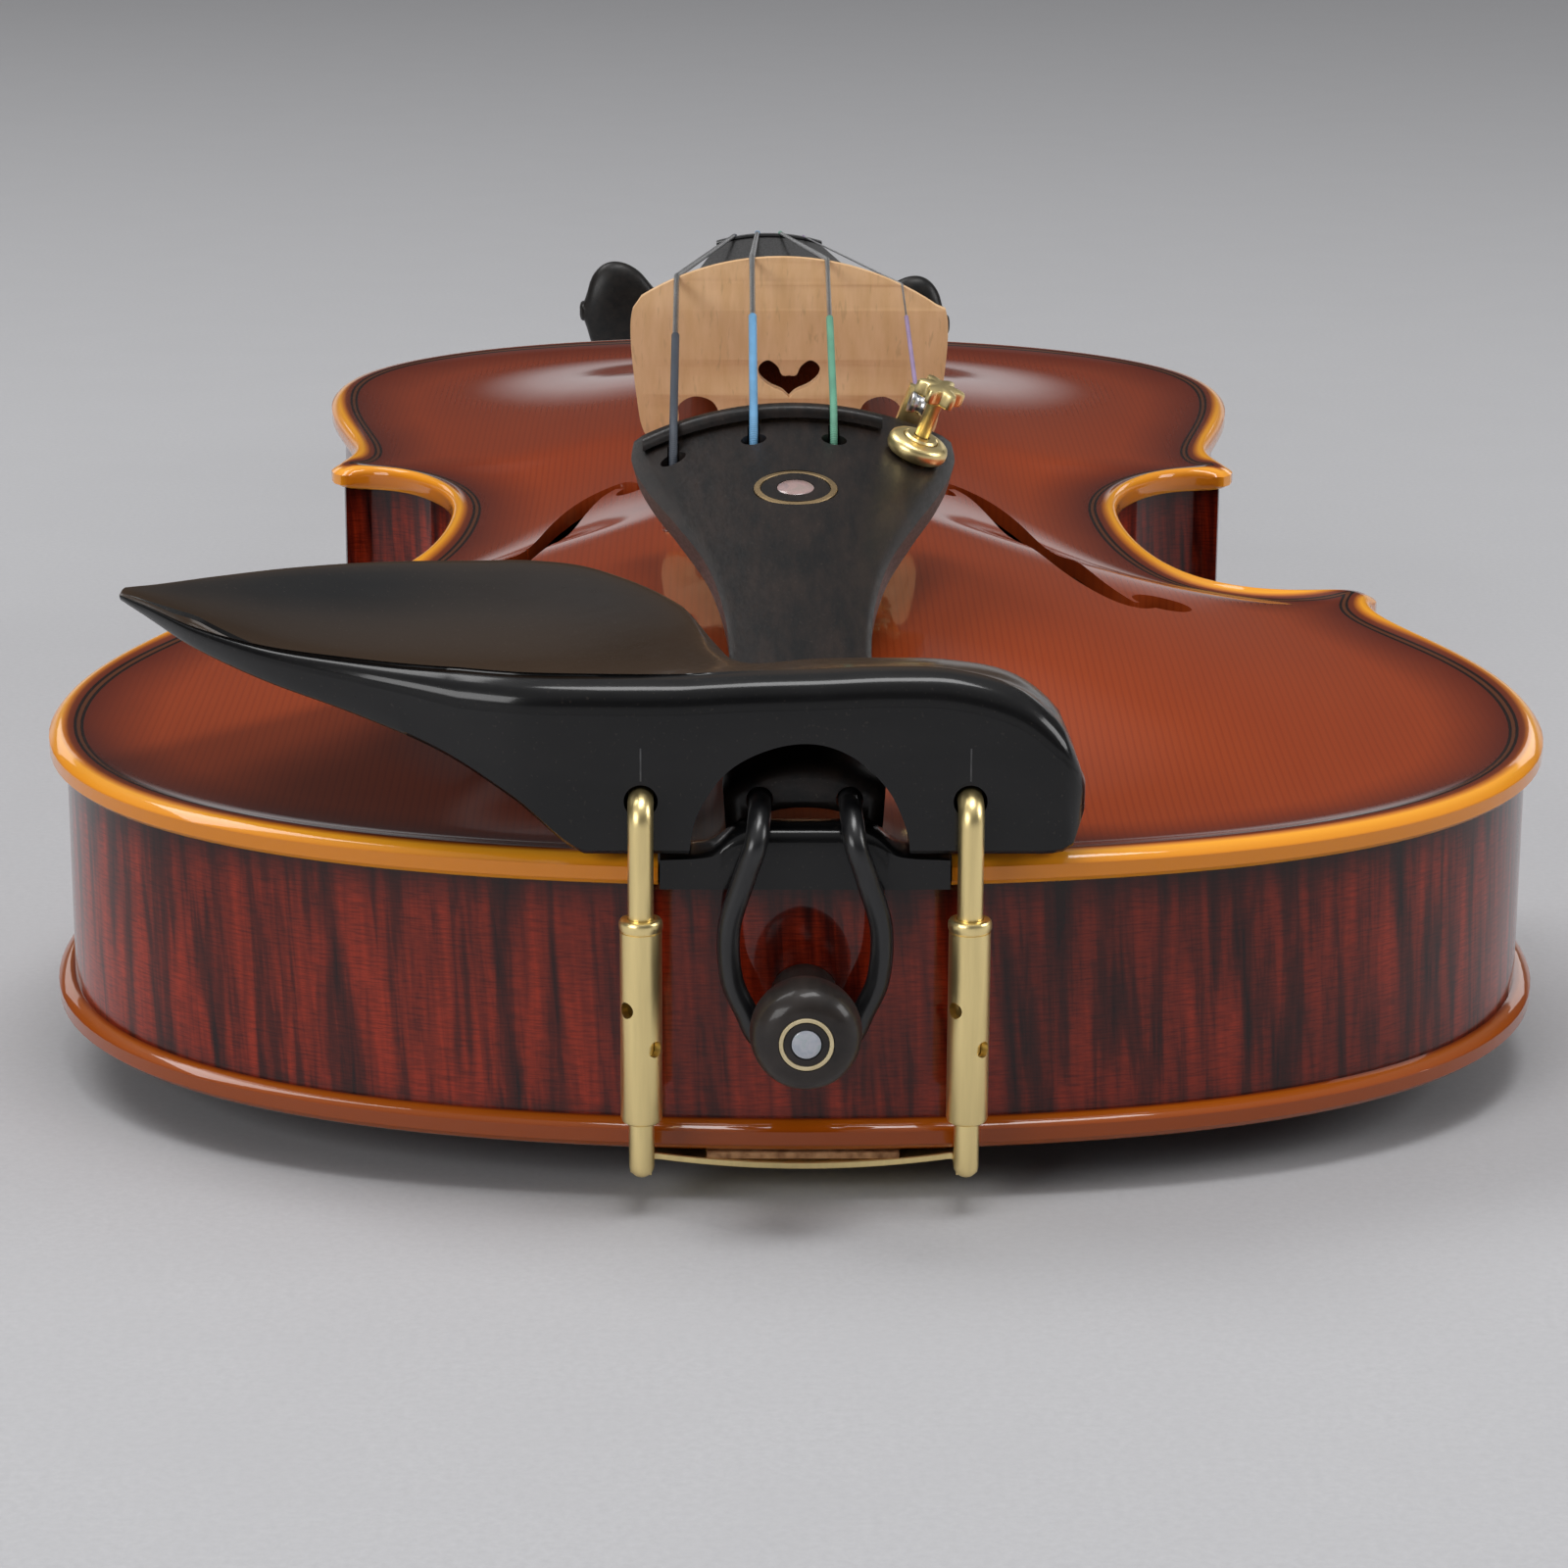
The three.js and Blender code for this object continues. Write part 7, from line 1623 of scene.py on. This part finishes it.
ROD_RADIUS = 1.6
HOOK_BEND = 2.4
BARREL_BORE = 1.68
BARREL_LOW = 17.1
BARREL_TOP = BARREL_LOW + 26.6
barrel_rows = [(BARREL_BORE, BARREL_LOW), (2.15, BARREL_LOW), (2.45, 17.35), (2.6, 17.8)]
barrel_rows += [(radius, BARREL_TOP - depth) for radius, depth in (
    (2.6, 1.62), (2.46, 1.56), (2.46, 1.42), (2.66, 1.34), (2.72, 1.1), (2.72, 0.6), (2.66, 0.3), (2.5, 0.08))]
barrel_rows += [(2.3, BARREL_TOP), (BARREL_BORE, BARREL_TOP), (BARREL_BORE, BARREL_LOW)]
for side, name in SIDES:
    x = side * CLAMP_X
    turns = [k / 16 * math.pi / 2 for k in range(17)]
    hook_path = [v3(x, 9.1, HOOK_Z), v3(x, 2, HOOK_Z)]
    hook_path += [v3(x, CLAMP_Y + HOOK_BEND * (1 - math.sin(t)), HOOK_Z - HOOK_BEND * (1 - math.cos(t))) for t in turns]
    hook_path += [v3(x, CLAMP_Y, 50), v3(x, CLAMP_Y, 33.4)]
    new_piece(f"clamp_hook_{name}_rod", tube_data(hook_path, ROD_RADIUS, [BRASS], 32),
              replaces=f"clamp_hook_{name}")
    barrel = new_piece(f"clamp_barrel_{name}_turned", lathe_data(barrel_rows, "z", [BRASS], 64, (x, CLAMP_Y, 0)),
                       body=f"clamp_barrel_{name}", replaces=f"clamp_barrel_{name}")
    across = math.sqrt(0.5) * 6
    carve(barrel, [bore((x - across, CLAMP_Y - across * lean, z), (x + across, CLAMP_Y + across * lean, z), 1.05, 28)
                   for z, lean in ((32.3, 1), (27.2, -1))], 30)
    leg = [v3(x, CLAMP_Y, z) for z in (11.3, 13, 27.4)]
    new_piece(f"clamp_leg_{name}", tube_data(leg, ROD_RADIUS, [BRASS], 32, True), body="clamp_bracket",
              replaces="clamp_bracket")

# Front edge of the bracket's ears, by distance from the middle
EAR_FRONT = {21.8: -3.3, 21.7: -3.55, 21.4: -3.7, 19.1: -3.7, 18.9: 1.9, 18.6: 2.1}
strip_rings = []
for x in [-d for d in EAR_FRONT] + spread(-17.8, 17.8, 36) + list(EAR_FRONT)[::-1]:
    share = abs(x) / CLAMP_X
    near = EAR_FRONT.get(abs(x), 1.4 + 0.9 * share ** 2)
    far = min(9, 9 - 0.32 * max(0, abs(x) - 13))
    low = 8.62 + 1.25 * share ** 2
    strip_rings.append(ring_x(x, [(near + 0.12, low), (far, low), (far, low + 0.9), (near + 0.12, low + 0.9),
                                  (near, low + 0.78), (near, low + 0.12)]))
new_piece("clamp_bracket_plate", skin(strip_rings, [BRASS]), body="clamp_bracket",
          replaces="clamp_bracket")
cork = new_piece("clamp_cork_sheet", box_data((-12.2, 1.9, 9.75), (12.2, 8.4, 10.75), [CORK]), body="clamp_bracket",
                 replaces="clamp_cork")
round_edges(cork, 0.25)


# Inner pieces, the gut's nuts and the tuner's pin stay as they are and take a look only

def dress(name, material):
    obj = frame["nodes"][name]
    for slot in obj.material_slots:
        slot.material = material
    if not obj.material_slots:
        obj.data.materials.append(material)


INNER_LOOKS = [(INNER_WOOD, ("lower_corner_block_treble", "lower_corner_block_bass", "upper_corner_block_treble",
                             "upper_corner_block_bass", "lower_block", "upper_block", "bass_bar", "sound_post")),
               (STEEL, ("gut_nut_treble", "gut_nut_bass")), (BRASS, ("tuner_pin",))]
for material, names in INNER_LOOKS:
    for name in names:
        dress(name, material)


# Table, camera and lights

TABLE_HALF = 6
floor_mesh = bpy.data.meshes.new("table")
floor_mesh.from_pydata([(TABLE_HALF * x, TABLE_HALF * y, 0) for x, y in ((-1, -1), (1, -1), (1, 1), (-1, 1))], [],
                       [(0, 1, 2, 3)])
floor_mesh.materials.append(paper_floor())
floor = in_scene("table", floor_mesh)
floor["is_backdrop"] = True

# Camera as fitted to the photo, in the instrument's own frame
CAMERA_PLACE = (-9.9, -531.1, 213.8)
SENSOR = 36
FOCAL_PIXELS = 4584
PHOTO_PIXELS = 1600
yaw, pitch, roll = math.radians(0.78), math.radians(16.17), math.radians(0.27)
ahead = Vector((math.sin(yaw) * math.cos(pitch), math.cos(yaw) * math.cos(pitch), -math.sin(pitch)))
across = Vector((math.cos(yaw), -math.sin(yaw), 0))
upward = across.cross(ahead)
right = math.cos(roll) * across + math.sin(roll) * upward
upright = -math.sin(roll) * across + math.cos(roll) * upward
turned = tilt.to_3x3() @ Matrix((right, upright, -ahead)).transposed()
camera_data = bpy.data.cameras.new("camera")
camera_data.sensor_width = SENSOR
camera_data.lens = SENSOR * FOCAL_PIXELS / PHOTO_PIXELS
camera_data.clip_end = 50
camera = in_scene("camera", camera_data)
camera.matrix_world = Matrix.Translation(TO_ROW @ v3(*CAMERA_PLACE)) @ turned.to_4x4()
bpy.context.scene.camera = camera


def area_light(name, spot, aim, size, power):
    data = bpy.data.lights.new(name, "AREA")
    data.shape = "RECTANGLE"
    data.size, data.size_y = size
    data.energy = power
    light = in_scene(name, data)
    light.location = spot
    light.rotation_euler = (Vector(aim) - Vector(spot)).to_track_quat("-Z", "Y").to_euler()


for lamp in (("key", (-0.9, 0.3, 1.6), (0, -0.05, 0), (0.9, 0.9), 12),
             ("overhead", (0.15, -0.45, 1.5), (0, -0.2, 0), (0.8, 0.4), 8.5),
             ("fill_right", (1.5, -0.3, 0.8), (0, -0.1, 0.03), (0.8, 0.6), 8),
             ("fill_front", (-1.4, -1.7, 0.9), (0, -0.2, 0.03), (1.2, 0.8), 16),
             ("back_right", (1.15, 2.1, 0.85), (0, 0, 0.03), (0.7, 0.5), 1.4),
             ("back_left", (-1.15, 2.1, 0.85), (0, 0, 0.03), (0.7, 0.5), 1.1)):
    area_light(*lamp)

# Studio: pale below, dark walls and a bright ceiling
world = bpy.data.worlds.new("studio")
world.use_nodes = True
studio = world.node_tree
background = studio.nodes["Background"]
sky = ramp(studio, along_axis(studio, "Z", "Generated"), [
    (0.0, (0.6, 0.6, 0.61)), (0.08, (0.52, 0.52, 0.53)), (0.16, (0.045, 0.045, 0.046)), (0.42, (0.05, 0.05, 0.051)),
    (0.7, (0.36, 0.36, 0.365)), (1.0, (0.52, 0.52, 0.525))])
studio.links.new(sky, background.inputs["Color"])
background.inputs["Strength"].default_value = 0.85
bpy.context.scene.world = world

low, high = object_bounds()
